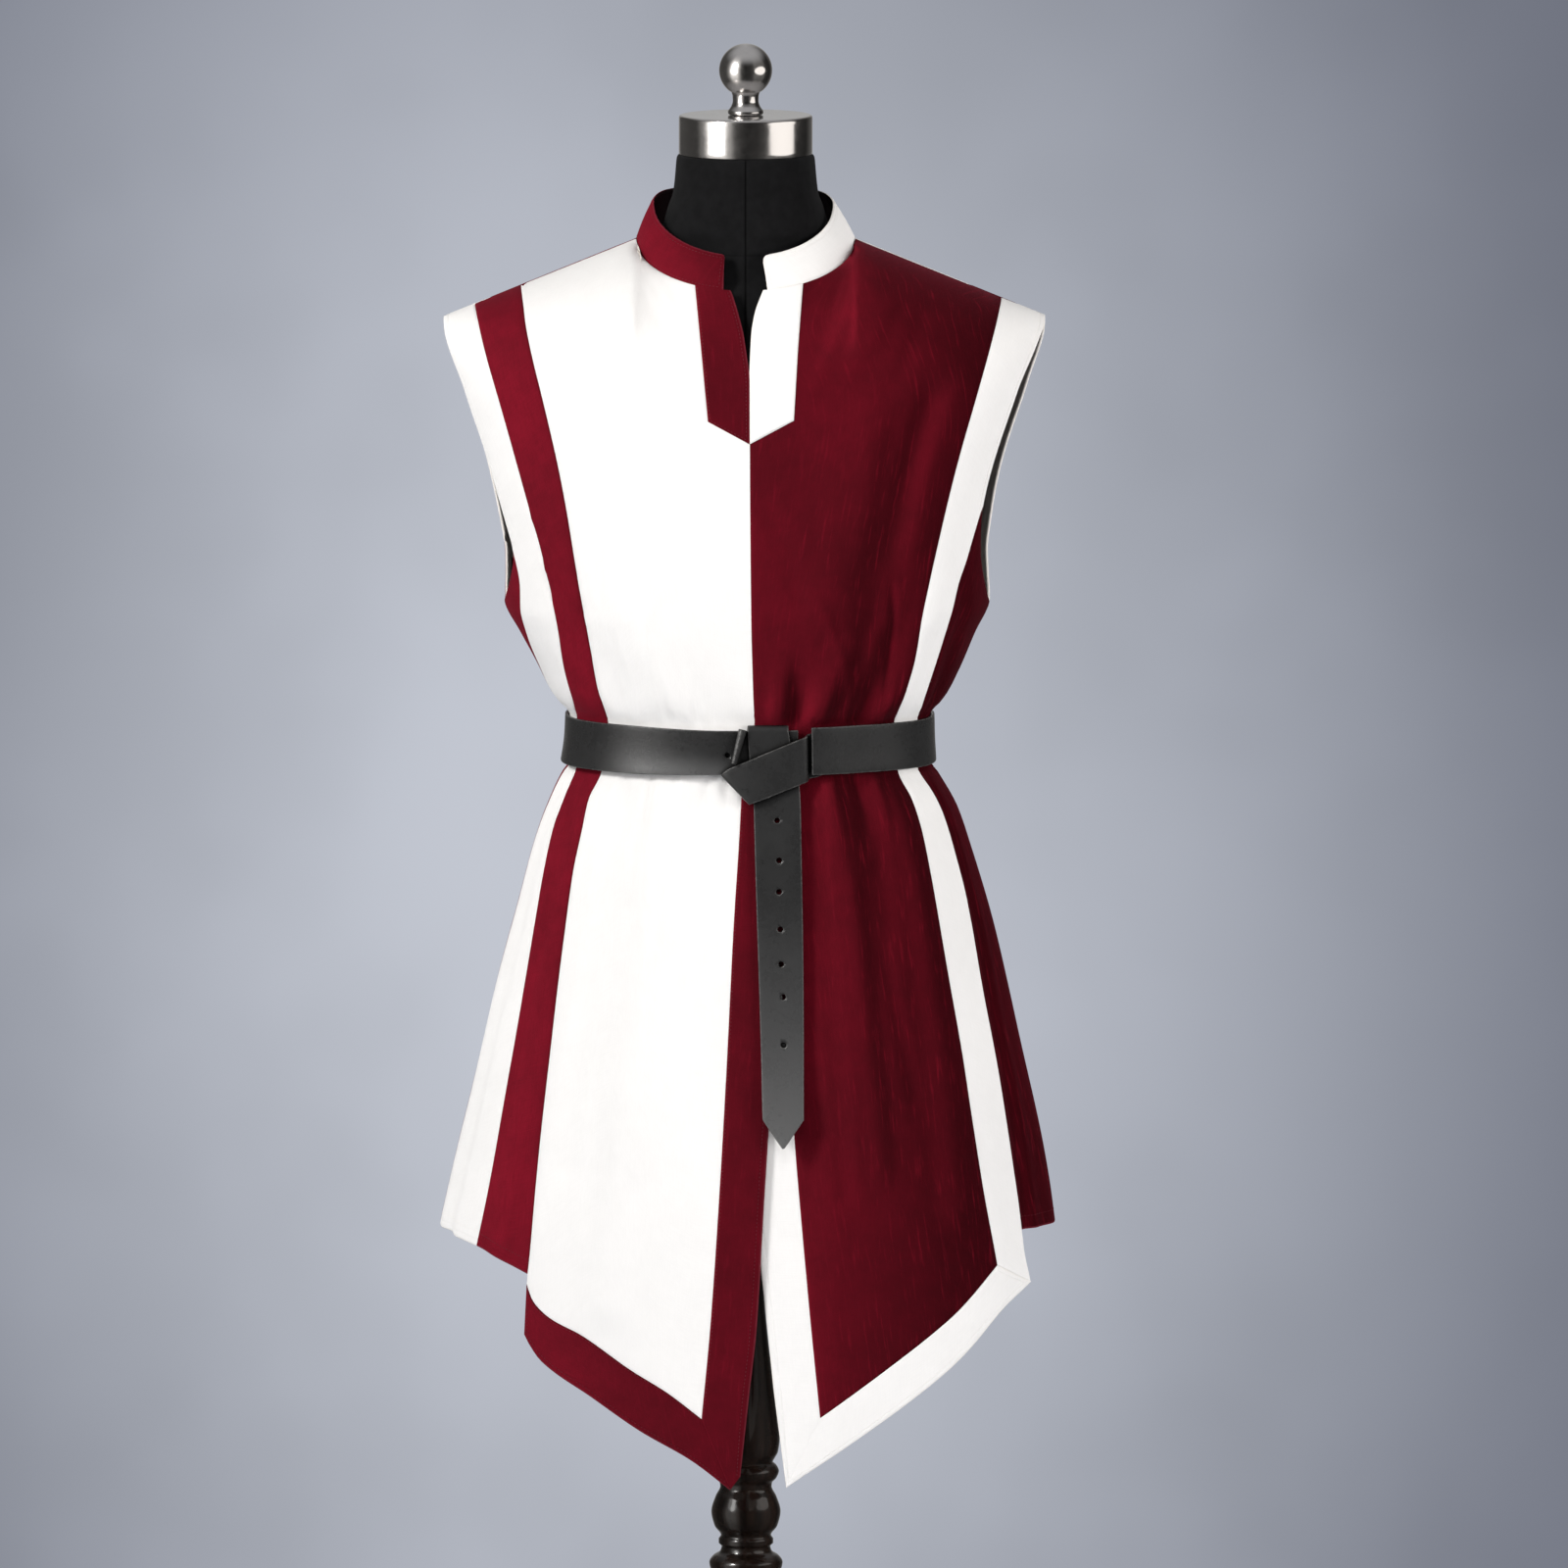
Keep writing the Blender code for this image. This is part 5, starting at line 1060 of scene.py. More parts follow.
@dataclass
class Stitches:
    """Rows of small stitches that lie on a face, gathered into one object."""

    name: str
    finish: "Finish"
    length: float = 2.4
    lengths: tuple[float, float] = (0.86, 1.08)
    pitch: float = 3.3
    radius: float = 0.24
    top: float = 0.3
    sunk: float = 0.2
    end_sunk: float = 0.15
    shoulders: tuple[float, float] = (0.24, 0.76)
    seed: int = 5
    bodies: list[Array] = field(default_factory=list)

    def row(self, line: tuple[Array, Array], trim: float, above: float = 0.0) -> None:
        """Lays one row of stitches along a line.

        Args:
            line: the line's points and the face's normals at them.
            trim: how far from the line's ends the first and the last stitch lie, in mm.
            above: the height above which stitches are kept.
        """
        points, normals = line
        reach = along(points, 0)
        centres = np.arange(trim + self.length / 2, reach[-1] - trim - self.length / 2, self.pitch)

        def at(where: Array, values: Array) -> Array:
            """The values at places along the line."""
            return np.stack([np.interp(where, reach, values[:, k]) for k in range(3)], -1)

        draw = np.random.default_rng(self.seed + len(self.bodies))
        half = self.length / 2 * draw.uniform(*self.lengths, len(centres))
        kept = at(centres, points)[:, 2] > above
        first, last = at(centres - half, points)[kept], at(centres + half, points)[kept]
        up = unit(at(centres, normals))[kept]
        side = unit(np.cross(last - first, up))
        ring = [first - up * self.end_sunk]
        for share in self.shoulders:
            core = lerp(first, last, share)
            ring += [core + side * self.radius, core + up * self.top,
                     core - side * self.radius, core - up * self.sunk]
        ring.append(last - up * self.end_sunk)
        self.bodies.append(np.stack(ring, axis=1).reshape(-1, 3))

    def build(self) -> Object:
        """The object with every stitch laid so far."""
        points = np.concatenate(self.bodies)
        one = [(0, 1 + k, 1 + (k + 1) % 4) for k in range(4)]
        one += [(1 + k, 5 + k, 5 + (k + 1) % 4, 1 + (k + 1) % 4) for k in range(4)]
        one += [(5 + k, 9, 5 + (k + 1) % 4) for k in range(4)]
        faces = [tuple(k + i for i in face) for k in range(0, len(points), 10) for face in one]
        return mesh_object(self.name, points, faces, self.finish, 40.0)


# --- nodes, and the groups that several materials share ---
class Graph:
    """A node tree being built."""

    def __init__(self, tree: Tree) -> None:
        """Takes the tree to build in."""
        self.tree = tree

    def feed(self, socket: Socket, value: Any) -> None:
        """Gives a socket a plain value, or links it to another socket."""
        if isinstance(value, Socket):
            self.tree.links.new(value, socket)
        else:
            socket.default_value = value

    def add(self, kind: str, inputs: dict[Any, Any] | None = None, **settings: Any) -> bpy.types.Node:
        """Adds a node.

        Args:
            kind: its type, without ShaderNode.
            inputs: values or sockets for its inputs, by name or number.
            settings: its own properties.

        Returns:
            The node.
        """
        node = self.tree.nodes.new("ShaderNode" + kind)
        for name, value in settings.items():
            setattr(node, name, value)
        for key, value in (inputs or {}).items():
            self.feed(node.inputs[key], value)
        return node

    def math(self, operation: str, *values: Any, clamp: bool = False) -> Socket:
        """The result of one Math node over values or sockets."""
        return self.add("Math", dict(enumerate(values)), operation=operation, use_clamp=clamp).outputs[0]

    def times(self, first: Any, second: Any) -> Socket:
        """The product of two values or sockets."""
        return self.math("MULTIPLY", first, second)

    def blend(self, share: Any, first: Any, second: Any) -> Socket:
        """The colour part of the way from first to second."""
        return self.add("Mix", {0: share, 6: first, 7: second}, data_type="RGBA").outputs[2]

    def fit(self, value: Any, low: float, high: float, to_low: float = 0.0,
            to_high: float = 1.0) -> Socket:
        """A value mapped smoothly from one range to another."""
        return self.add("MapRange", {0: value, 1: low, 2: high, 3: to_low, 4: to_high},
                        interpolation_type="SMOOTHSTEP").outputs[0]

    def noise(self, vector: Any, scale: Any, detail: float, rough: float) -> Socket:
        """Noise over a vector."""
        return self.add("TexNoise", {"Vector": vector, "Scale": scale, "Detail": detail,
                                     "Roughness": rough}).outputs[0]

    def stretched(self, vector: Any, x: float, y: float, z: float = 1.0) -> Socket:
        """A vector scaled along its three axes."""
        return self.add("Mapping", {0: vector, 3: (x, y, z)}).outputs[0]

    def scaled(self, vector: Any, factor: Any) -> Socket:
        """A colour or vector times a value."""
        return self.add("VectorMath", {0: vector, 3: factor}, operation="SCALE").outputs[0]

    def bump(self, height: Any, distance: float, strength: float, under: Socket | None = None) -> Socket:
        """A normal bumped by a height in metres times a distance, over another normal."""
        inputs = {"Height": height, "Distance": distance, "Strength": strength}
        return self.add("Bump", inputs | ({"Normal": under} if under else {})).outputs[0]

    def value(self, name: str) -> Socket:
        """One of the values that a piece's points carry."""
        return self.add("Attribute", attribute_name=name).outputs["Fac"]

    def place(self) -> Socket:
        """The place on the piece, in its own space."""
        return self.add("TexCoord").outputs["Object"]

    def cloud(self, scale: float, fine: float) -> Socket:
        """Clouding over the piece, with a share of finer blotches."""
        return self.add("Group", {"Vector": self.place(), "Scale": scale, "Fine share": fine},
                        node_tree=mottle_group()).outputs[0]

    def lines(self, along_lines: float, across: float) -> Socket:
        """Fine lines over the piece."""
        return self.add("Group", {"Vector": self.place(), "Along": along_lines,
                                  "Across": across}, node_tree=brushed_group()).outputs[0]

    def edge(self, width: float, breaks: float) -> Socket:
        """1 at the piece's edges, 0 from a width in mm away, broken up by wear."""
        return self.add("Group", {"Distance": self.value("edge"), "Width": width,
                                  "Breaks": breaks, "Vector": self.place()},
                        node_tree=edge_group()).outputs[0]


def new_group(name: str, takes: dict[str, str], *gives: str) -> tuple[Tree, Graph, Any, Any]:
    """A node group with named sockets.

    Args:
        name: the group's name.
        takes: its inputs' names and types, Float, Vector or Color.
        gives: its outputs' names, each of type Float.

    Returns:
        The group, its graph, its inputs' sockets and those that take its outputs.
    """
    tree = bpy.data.node_groups.new(name, "ShaderNodeTree")
    for sockets, way in ((takes, "INPUT"), (dict.fromkeys(gives, "Float"), "OUTPUT")):
        for label, kind in sockets.items():
            tree.interface.new_socket(label, in_out=way, socket_type=f"NodeSocket{kind}")
    entry = tree.nodes.new("NodeGroupInput")
    leave = tree.nodes.new("NodeGroupOutput")
    return tree, Graph(tree), entry.outputs, leave.inputs


@cache
def thread_group() -> Tree:
    """Plain weave: the height of crossing threads, and their unevenness."""
    tree, g, takes, leave = new_group("Plain weave", {"Vector": "Vector", "Threads": "Float"},
                                      "Height", "Slub")
    split = g.add("SeparateXYZ", {0: takes["Vector"]})
    waves = [g.math("SINE", g.times(g.times(split.outputs[k], takes["Threads"]), math.pi))
             for k in (0, 1)]
    cell = g.math("ABSOLUTE", g.times(*waves))
    warp = g.noise(g.stretched(takes["Vector"], 900.0, 60.0), 1.0, 2.0, 0.5)
    weft = g.noise(g.stretched(takes["Vector"], 60.0, 900.0), 1.0, 2.0, 0.5)
    slub = g.times(g.math("ADD", warp, weft), 0.5)
    g.feed(leave["Height"], g.times(g.math("POWER", cell, 0.6), g.fit(slub, 0.2, 0.8, 0.55, 1.0)))
    g.feed(leave["Slub"], slub)
    return tree


@cache
def mottle_group() -> Tree:
    """Soft clouding: broad patches and finer blotches, from 0 to 1 about a half."""
    tree, g, takes, leave = new_group(
        "Clouding", {"Vector": "Vector", "Scale": "Float", "Fine share": "Float"}, "Cloud")
    broad = g.noise(takes["Vector"], takes["Scale"], 3.0, 0.55)
    fine = g.noise(takes["Vector"], g.times(takes["Scale"], 7.0), 4.0, 0.6)
    mixed = g.add("Mix", {0: takes["Fine share"], 2: broad, 3: fine}).outputs[0]
    g.feed(leave["Cloud"], g.fit(mixed, 0.28, 0.72))
    return tree


@cache
def edge_group() -> Tree:
    """Worn or turned edges: 1 at an edge, 0 from a width away, broken up by wear."""
    tree, g, takes, leave = new_group(
        "Edge wear", {"Distance": "Float", "Width": "Float", "Breaks": "Float",
                      "Vector": "Vector"}, "Mask")
    near = g.math("SUBTRACT", 1.0, g.math("DIVIDE", takes["Distance"], takes["Width"]), clamp=True)
    broken = g.fit(g.noise(takes["Vector"], 240.0, 4.0, 0.6), 0.35, 0.65)
    kept = g.math("SUBTRACT", 1.0, g.times(takes["Breaks"], broken))
    g.feed(leave["Mask"], g.times(near, kept))
    return tree


@cache
def brushed_group() -> Tree:
    """Fine brushed or grained lines along one direction, as a height."""
    tree, g, takes, leave = new_group(
        "Fine lines", {"Vector": "Vector", "Along": "Float", "Across": "Float"}, "Lines")
    scale = g.add("CombineXYZ", {0: takes["Along"], 1: takes["Along"], 2: takes["Across"]})
    moved = g.add("VectorMath", {0: takes["Vector"], 1: scale.outputs[0]},
                  operation="MULTIPLY").outputs[0]
    g.feed(leave["Lines"], g.noise(moved, 1.0, 4.0, 0.6))
    return tree


# --- finishes ---
@dataclass(frozen=True)
class Finish:
    """A finish: its name, the slot it belongs to and how its material is made."""

    name: str
    slot: str
    colour: Colour
    roughness: float = 0.6

    def dress(self, g: Graph) -> dict[str, Any]:
        """What this finish gives to its shader's inputs.

        Args:
            g: the material's graph.

        Returns:
            A value or a socket for each input that it sets, by name.
        """
        raise NotImplementedError

    def tint(self, factor: float) -> tuple[float, ...]:
        """The finish's colour made lighter or darker."""
        return (*(min(1.0, c * factor) for c in self.colour), 1.0)

    def uneven(self, g: Graph, cloud: Socket, less: float, more: float) -> Socket:
        """The roughness, less in the dark clouds and more in the light ones."""
        return g.fit(cloud, 0.0, 1.0, self.roughness - less, self.roughness + more)

    def material(self) -> bpy.types.Material:
        """The finish as a Blender material."""
        made = bpy.data.materials.new(self.name)
        made.use_nodes = True
        made.diffuse_color = (*self.colour, 1.0)
        shader = made.node_tree.nodes["Principled BSDF"]
        shader.inputs["Base Color"].default_value = (*self.colour, 1.0)
        shader.inputs["Roughness"].default_value = self.roughness
        g = Graph(made.node_tree)
        for name, value in self.dress(g).items():
            g.feed(shader.inputs[name], value)
        return made


@cache
def material_of(finish: Finish) -> bpy.types.Material:
    """The one material of a finish."""
    return finish.material()


@dataclass(frozen=True)
class WovenCloth(Finish):
    """A woven cloth with a turned edge, an inner face and, where it has one, a pile, with painted light
    and shade that follow the way each part faces.
    """

    inside: Colour = (0.5, 0.5, 0.5)
    edge: Colour = (0.5, 0.5, 0.5)
    dark: float = 0.9
    light: float = 1.06
    threads: float = 1500.0
    weave_depth: float = 0.00012
    fuzz_depth: float = 0.00025
    pile_depth: float = 0.0006
    groove_from_edge: float = 5.0
    groove_half: float = 1.3
    groove_depth: float = 0.00022
    # How much paler the painted side light makes cloth that faces -X, and how much darker it makes cloth
    # that faces +X.
    lit_side_gain: float = 1.95
    shaded_side_gain: float = 0.34
    pile_and_side_light: float = 0.0
    sheen: float = 0.1
    sheen_tint: Colour = (1.0, 1.0, 1.0)

    def lean(self, g: Graph, tone: Socket) -> Socket:
        """The tone with painted side light: paler where the cloth faces -X, towards the key lamp, and
        darker where it faces +X, away from it.

        Args:
            g: the material's graph.
            tone: the tone without it.

        Returns:
            The tone as it is seen.
        """
        if not self.pile_and_side_light:
            return tone
        # Painted side light: the tone follows which way the cloth faces, as light from the key lamp on
        # the left would fall.
        normal = g.add("NewGeometry").outputs["Normal"]
        side = g.add("SeparateXYZ", {0: normal}).outputs[0]
        paler = g.fit(side, -0.6, 0.0, self.lit_side_gain, 1.0)
        darker = g.fit(side, 0.0, 0.6, 1.0, self.shaded_side_gain)
        return g.scaled(tone, g.times(paler, darker))

    def dress(self, g: Graph) -> dict[str, Any]:
        """Weave, pile, clouding, painted side light, turned edges, the inner face with the white cloth's
        painted shade, the collar's painted shade and the painted light on the turned-in facing.
        """
        flat = g.add("UVMap", uv_map="cloth").outputs[0]
        weave = g.add("Group", {"Vector": flat, "Threads": self.threads},
                      node_tree=thread_group()).outputs
        cloud = g.cloud(9.0, 0.35)
        tone = self.lean(g, g.blend(cloud, self.tint(self.dark), self.tint(self.light)))
        streak = g.fit(g.noise(g.stretched(flat, 260.0, 26.0), 1.0, 4.0, 0.62), 0.52, 0.78)
        slub = g.fit(weave["Slub"], 0.35, 0.65)
        inner = g.value("inside")
        for share, colour in (
                (g.times(streak, 0.2 + 0.5 * self.pile_and_side_light),
                 self.tint(self.light * (1 + 0.35 * self.pile_and_side_light))),
                (g.times(slub, 0.22), self.tint(self.dark * 0.9)),
                (g.times(g.edge(1.5, 0.3), 0.8), (*self.edge, 1.0)),
                # The inner face takes the cloth's inside tone, which on the white cloth is painted shade.
                (g.times(g.math("MINIMUM", inner, 1.0), 0.9), (*self.inside, 1.0)),
                # The collar's inner face takes near-black painted shade.
                (g.math("MAXIMUM", g.math("SUBTRACT", inner, 1.0), 0.0), COLLAR_PAINTED_SHADE),
                # The turned-in armhole facing takes a paler warm tone: painted light in the shade inside
                # the armhole.
                (g.value("faced"), FACING_PAINTED_LIGHT)):
            tone = g.blend(share, tone, colour)
        fuzz = g.noise(g.place(), 420.0, 4.0, 0.65)
        soft = g.bump(fuzz, self.fuzz_depth + self.pile_depth * self.pile_and_side_light, 0.35)
        groove = g.math("ABSOLUTE", g.math("SUBTRACT", g.value("edge"), self.groove_from_edge))
        soft = g.bump(g.fit(groove, 0.0, self.groove_half), self.groove_depth, 0.8, soft)
        return {"Base Color": tone, "Roughness": self.uneven(g, cloud, 0.05, 0.05),
                "Sheen Weight": self.sheen, "Sheen Roughness": 0.45,
                "Sheen Tint": (*self.sheen_tint, 1.0), "Specular IOR Level": 0.06,
                "Normal": g.bump(weave["Height"], self.weave_depth, 0.8, soft)}


@dataclass(frozen=True)
class Thread(Finish):
    """Sewing thread: a twisted cotton, a shade away from its cloth."""

    def dress(self, g: Graph) -> dict[str, Any]:
        """Twist and uneven dye."""
        return {"Base Color": g.blend(g.cloud(60.0, 0.5), self.tint(0.86), self.tint(1.08)),
                "Normal": g.bump(g.lines(1500.0, 5000.0), 0.0001, 0.6)}


@dataclass(frozen=True)
class Leather(Finish):
    """Black belt leather: pressed grain, waxed face, paler worn edges, creases, painted highlights and
    painted shade in its hollows.
    """

    # The paler tone of worn edges, also laid on the rolled fold as a painted highlight.
    wear_and_highlight: Colour = (0.14, 0.137, 0.133)

    def dress(self, g: Graph) -> dict[str, Any]:
        """Grain, creases, clouded wax, painted highlights on faces, edge wear and painted shade in
        hollows.
        """
        cloud = g.cloud(34.0, 0.4)
        tone = g.blend(cloud, self.tint(0.88), self.tint(1.14))
        # Painted highlight: faces are lightened towards a much paler tone where the strap marks it.
        tone = g.blend(g.value("rub"), tone, self.tint(4.6))
        # Worn edges are paler; on the rolled fold the same tone marks a painted highlight.
        tone = g.blend(g.times(g.edge(1.2, 0.7), 0.75), tone, (*self.wear_and_highlight, 1.0))
        # Painted shade: hollows, slits and the leather under the knot's band are darkened by how enclosed
        # they are.
        painted_shade_openness = g.add("AmbientOcclusion", {"Distance": 0.016}).outputs["AO"]
        tone = g.blend(g.fit(painted_shade_openness, 0.3, 0.95), self.tint(0.08), tone)
        place = g.place()
        pebble = g.add("TexVoronoi", {"Vector": place, "Scale": 900.0},
                       feature="DISTANCE_TO_EDGE").outputs["Distance"]
        crease = g.noise(g.stretched(place, 60.0, 60.0, 130.0), 1.0, 5.0, 0.6)
        crease = g.math("ABSOLUTE", g.math("SUBTRACT", crease, 0.5))
        soft = g.bump(g.fit(crease, 0.0, 0.03), 0.0003, 0.10)
        return {"Base Color": tone, "Roughness": self.uneven(g, cloud, 0.05, 0.06),
                "Specular IOR Level": 0.27,
                "Normal": g.bump(g.fit(pebble, 0.0, 0.28), 0.00010, 0.4, soft)}


@dataclass(frozen=True)
class Jersey(Finish):
    """The form's black knitted cover."""

    def dress(self, g: Graph) -> dict[str, Any]:
        """Fine wales, lint, dark seams and a soft sheen."""
        tone = g.blend(g.cloud(16.0, 0.45), self.tint(0.75), self.tint(1.35))
        return {"Base Color": g.blend(g.value("seam"), tone, self.tint(0.12)),
                "Sheen Weight": 0.02, "Sheen Roughness": 0.5, "Specular IOR Level": 0.05,
                "Normal": g.bump(g.lines(1400.0, 90.0), 0.00025, 0.5)}


@dataclass(frozen=True)
class Steel(Finish):
    """Polished steel with faint turning lines and smudges."""

    def dress(self, g: Graph) -> dict[str, Any]:
        """Turning lines in the bump, smudges in the roughness."""
        cloud = g.cloud(40.0, 0.3)
        return {"Metallic": 1.0, "Base Color": g.blend(cloud, self.tint(0.94), self.tint(1.03)),
                "Roughness": self.uneven(g, cloud, 0.04, 0.05),
                "Normal": g.bump(g.lines(5.0, 2600.0), 0.00003, 0.25)}


@dataclass(frozen=True)
class Lacquer(Finish):
    """Dark stained wood under clear gloss lacquer."""

    def dress(self, g: Graph) -> dict[str, Any]:
        """Grain in the colour, a clear coat over it and a little dust."""
        lines, cloud = g.lines(160.0, 9.0), g.cloud(22.0, 0.3)
        tone = g.blend(g.fit(lines, 0.35, 0.7), self.tint(0.6), self.tint(1.9))
        return {"Base Color": g.blend(g.times(cloud, 0.3), tone, self.tint(0.8)),
                "Roughness": self.uneven(g, cloud, 0.05, 0.05), "Coat Weight": 0.55,
                "Specular IOR Level": 0.25, "Coat Roughness": 0.08,
                "Normal": g.bump(lines, 0.00006, 0.3)}


@dataclass(frozen=True)
class Floor(Finish):
    """The studio's plain pale floor."""

    def dress(self, g: Graph) -> dict[str, Any]:
        """A faint clouding."""
        return {"Base Color": g.blend(g.cloud(3.0, 0.3), self.tint(0.96), self.tint(1.02))}


# The paler warm tone painted on the strip turned in along the armholes as painted light in the shade
# there, and the near-black painted shade inside the collar.
FACING_PAINTED_LIGHT, COLLAR_PAINTED_SHADE = (0.84, 0.80, 0.75, 1.0), (0.020, 0.016, 0.017, 1.0)
BURGUNDY_CLOTH = WovenCloth(
    "burgundy velveteen", "burgundy_cloth", (0.084, 0.0025, 0.0071), 0.85,
    inside=(0.110, 0.006, 0.014), edge=(0.17, 0.022, 0.034), dark=0.74, light=1.16,
    threads=1700.0, weave_depth=0.00008, pile_and_side_light=1.0, sheen=0.05, sheen_tint=(1.0, 0.20, 0.30))
# The white cloth's inside tone is a darker beige: painted shade for the inside of the coat.
WHITE_CLOTH = WovenCloth(
    "white cotton", "white_cloth", (0.785, 0.77, 0.755), 0.85, inside=(0.74, 0.68, 0.61),
    edge=(0.80, 0.76, 0.71), dark=0.965, light=1.01, threads=1300.0, sheen=0.0)
BURGUNDY_THREAD = Thread("burgundy thread", "burgundy_cloth", (0.085, 0.004, 0.010), 0.7)
WHITE_THREAD = Thread("white thread", "white_cloth", (0.78, 0.76, 0.73), 0.65)
BLACK_LEATHER = Leather("black leather", "black_leather", (0.0195, 0.0195, 0.0195), 0.29)
BLACK_JERSEY = Jersey("black jersey", "black_jersey", (0.0066, 0.0066, 0.0069), 0.9)
POLISHED_STEEL = Steel("polished steel", "polished_steel", (0.70, 0.68, 0.665), 0.15)
DARK_LACQUER = Lacquer("dark lacquered wood", "dark_lacquered_wood", (0.0085, 0.0050, 0.0036), 0.24)
PALE_FLOOR = Floor("pale floor", "floor", (0.62, 0.65, 0.70), 0.7)


# --- the surcoat ---
class Cloth(Enum):
    """The two cloths, each with its sewing thread."""

    BURGUNDY = (BURGUNDY_CLOTH, BURGUNDY_THREAD)
    WHITE = (WHITE_CLOTH, WHITE_THREAD)

    @classmethod
    def of(cls, node: str) -> "Cloth":
        """The cloth that a node's name ends in."""
        return cls[node.rsplit("_", 1)[1].upper()]


@dataclass
class Surcoat:
    """The sleeveless coat: panels, plackets, bands, collar and their topstitching."""

    hem_stitch: float = 11.0
    edge_stitch: float = 5.0
    seam_stitch: float = 2.0
    placket_inset: float = -0.3
    placket_lift: float = 1.5
    placket_columns: int = 9
    slit_band_width: float = 37.0
    slit_band_columns: int = 12
    slit_band_rows: int = 118
    collar_corners: tuple[float, float] = (2.5, 7.0)
    grids: dict[str, Grid] = field(default_factory=dict)
    threads: dict[Cloth, Stitches] = field(default_factory=dict)

    def __post_init__(self) -> None:
        """Threads the needles, one for each cloth."""
        for cloth in Cloth:
            self.threads[cloth] = Stitches(f"stitches_{cloth.name.lower()}", cloth.value[1])

    def sew(self, node: str, grid: Grid, hold: Hold) -> None:
        """Makes a piece of cloth and works out its flat cut.

        Args:
            node: the node that it stands for; the name ends in its cloth's.
            grid: the sheet of cloth.
            hold: how it is held; not used.
        """
        self.grids[node] = grid
        obj = cloth_object(node, grid, Cloth.of(node).value[0])
        width, length, area = grid.flat()

    def cuts(self) -> list[Cut]:
        """Every cut panel, front and back."""
        inner, low = Kinds(foot=Kind.SEWN), Kinds(top=Kind.FREE)
        neck_edge = (NEVER, 1318.0)
        left_arm, hem = (ARM_SEAM_HEIGHT, NEVER), ARM_HEM
        return [
            Cut("front_panel_white", LEFT_INNER, LEFT_FRONT, 46, foot_on(LEFT_PANEL_FOOT),
                kinds=inner, neck=True, free_above=neck_edge),
            Cut("front_panel_burgundy", RIGHT_INNER, RIGHT_FRONT, 48,
                foot_on(RIGHT_PANEL_FOOT), kinds=inner, neck=True, under=True,
                free_above=neck_edge),
            Cut("back_panel_burgundy", BACK_LEFT_INNER, steady(-math.pi), 50, neck=True),
            Cut("back_panel_white", BACK_RIGHT_INNER, steady(math.pi), 48, neck=True),
            Cut("front_stripe_burgundy", LEFT_OUTER, LEFT_INNER, 9, foot_on(LEFT_SIDE_HEM)),
            Cut("front_stripe_white", RIGHT_INNER, RIGHT_OUTER, 9, foot_on(RIGHT_STRIPE_FOOT),
                kinds=Kinds(foot=Kind.MITRED), free_above=(NEVER, RIGHT_STRIPE_LEAVES),
                hem=hem),
            Cut("back_stripe_white", BACK_LEFT_OUTER, BACK_LEFT_INNER, 9,
                free_above=left_arm, hem=hem),
            Cut("back_stripe_burgundy", BACK_RIGHT_INNER, BACK_RIGHT_OUTER, 9),
            Cut("front_side_white", leaving(left_side, 1, ARM_SEAM_HEIGHT), LEFT_OUTER, 26,
                foot_on(LEFT_SIDE_HEM), free_above=left_arm, hem=hem),
            Cut("back_side_white", RIGHT_BACK_EDGE, BACK_RIGHT_OUTER, 26,
                free_above=(UNDERARM, NEVER), hem=hem),
            Cut("front_side_burgundy", RIGHT_SIDE_SEAM, RIGHT_SIDE, 26,
                foot_on(RIGHT_SIDE_HEM), armhole_top(1201.0, 2), low, hem=hem),
            Cut("back_side_burgundy", BACK_LEFT_SEAM, left_side, 30,
                top=armhole_top(1165.0, 1, 3), kinds=low, hem=hem),
        ]

    def panels(self) -> None:
        """Builds the cut panels."""
        for cut in self.cuts():
            self.sew(cut.node, cut.grid(), Hold.HUNG)

    def plackets(self) -> None:
        """Builds the two facings beside the neck opening, laid on the front panels."""
        kinds = Kinds(Kind.LAID, Kind.FREE, Kind.SEWN, Kind.LAID)
        foot_x, foot_height = np.array(PLACKET_FOOT).T

        def foot(cut: Cut) -> Array:
            """Feet on the placket's pointed lower line."""
            return solve(SEARCH_PLACKET, lambda height: height > np.interp(
                cut.x_at(height), foot_x, foot_height), cut.total)

        for node, panel, first, second in (
                ("placket_burgundy", "white", LEFT_PLACKET, LEFT_FRONT),
                ("placket_white", "burgundy", RIGHT_PLACKET, RIGHT_FRONT)):
            cut = Cut(node, first, second, self.placket_columns, foot, kinds=kinds)
            height = cut.heights() - self.placket_inset
            height[:, -1] += self.placket_inset
            grid = Grid(COAT.point(cut.angles(height), height), kinds,
                        thickness=self.placket_lift + 0.2, lift=self.placket_lift)
            self.sew(node, grid, Hold.LAID)

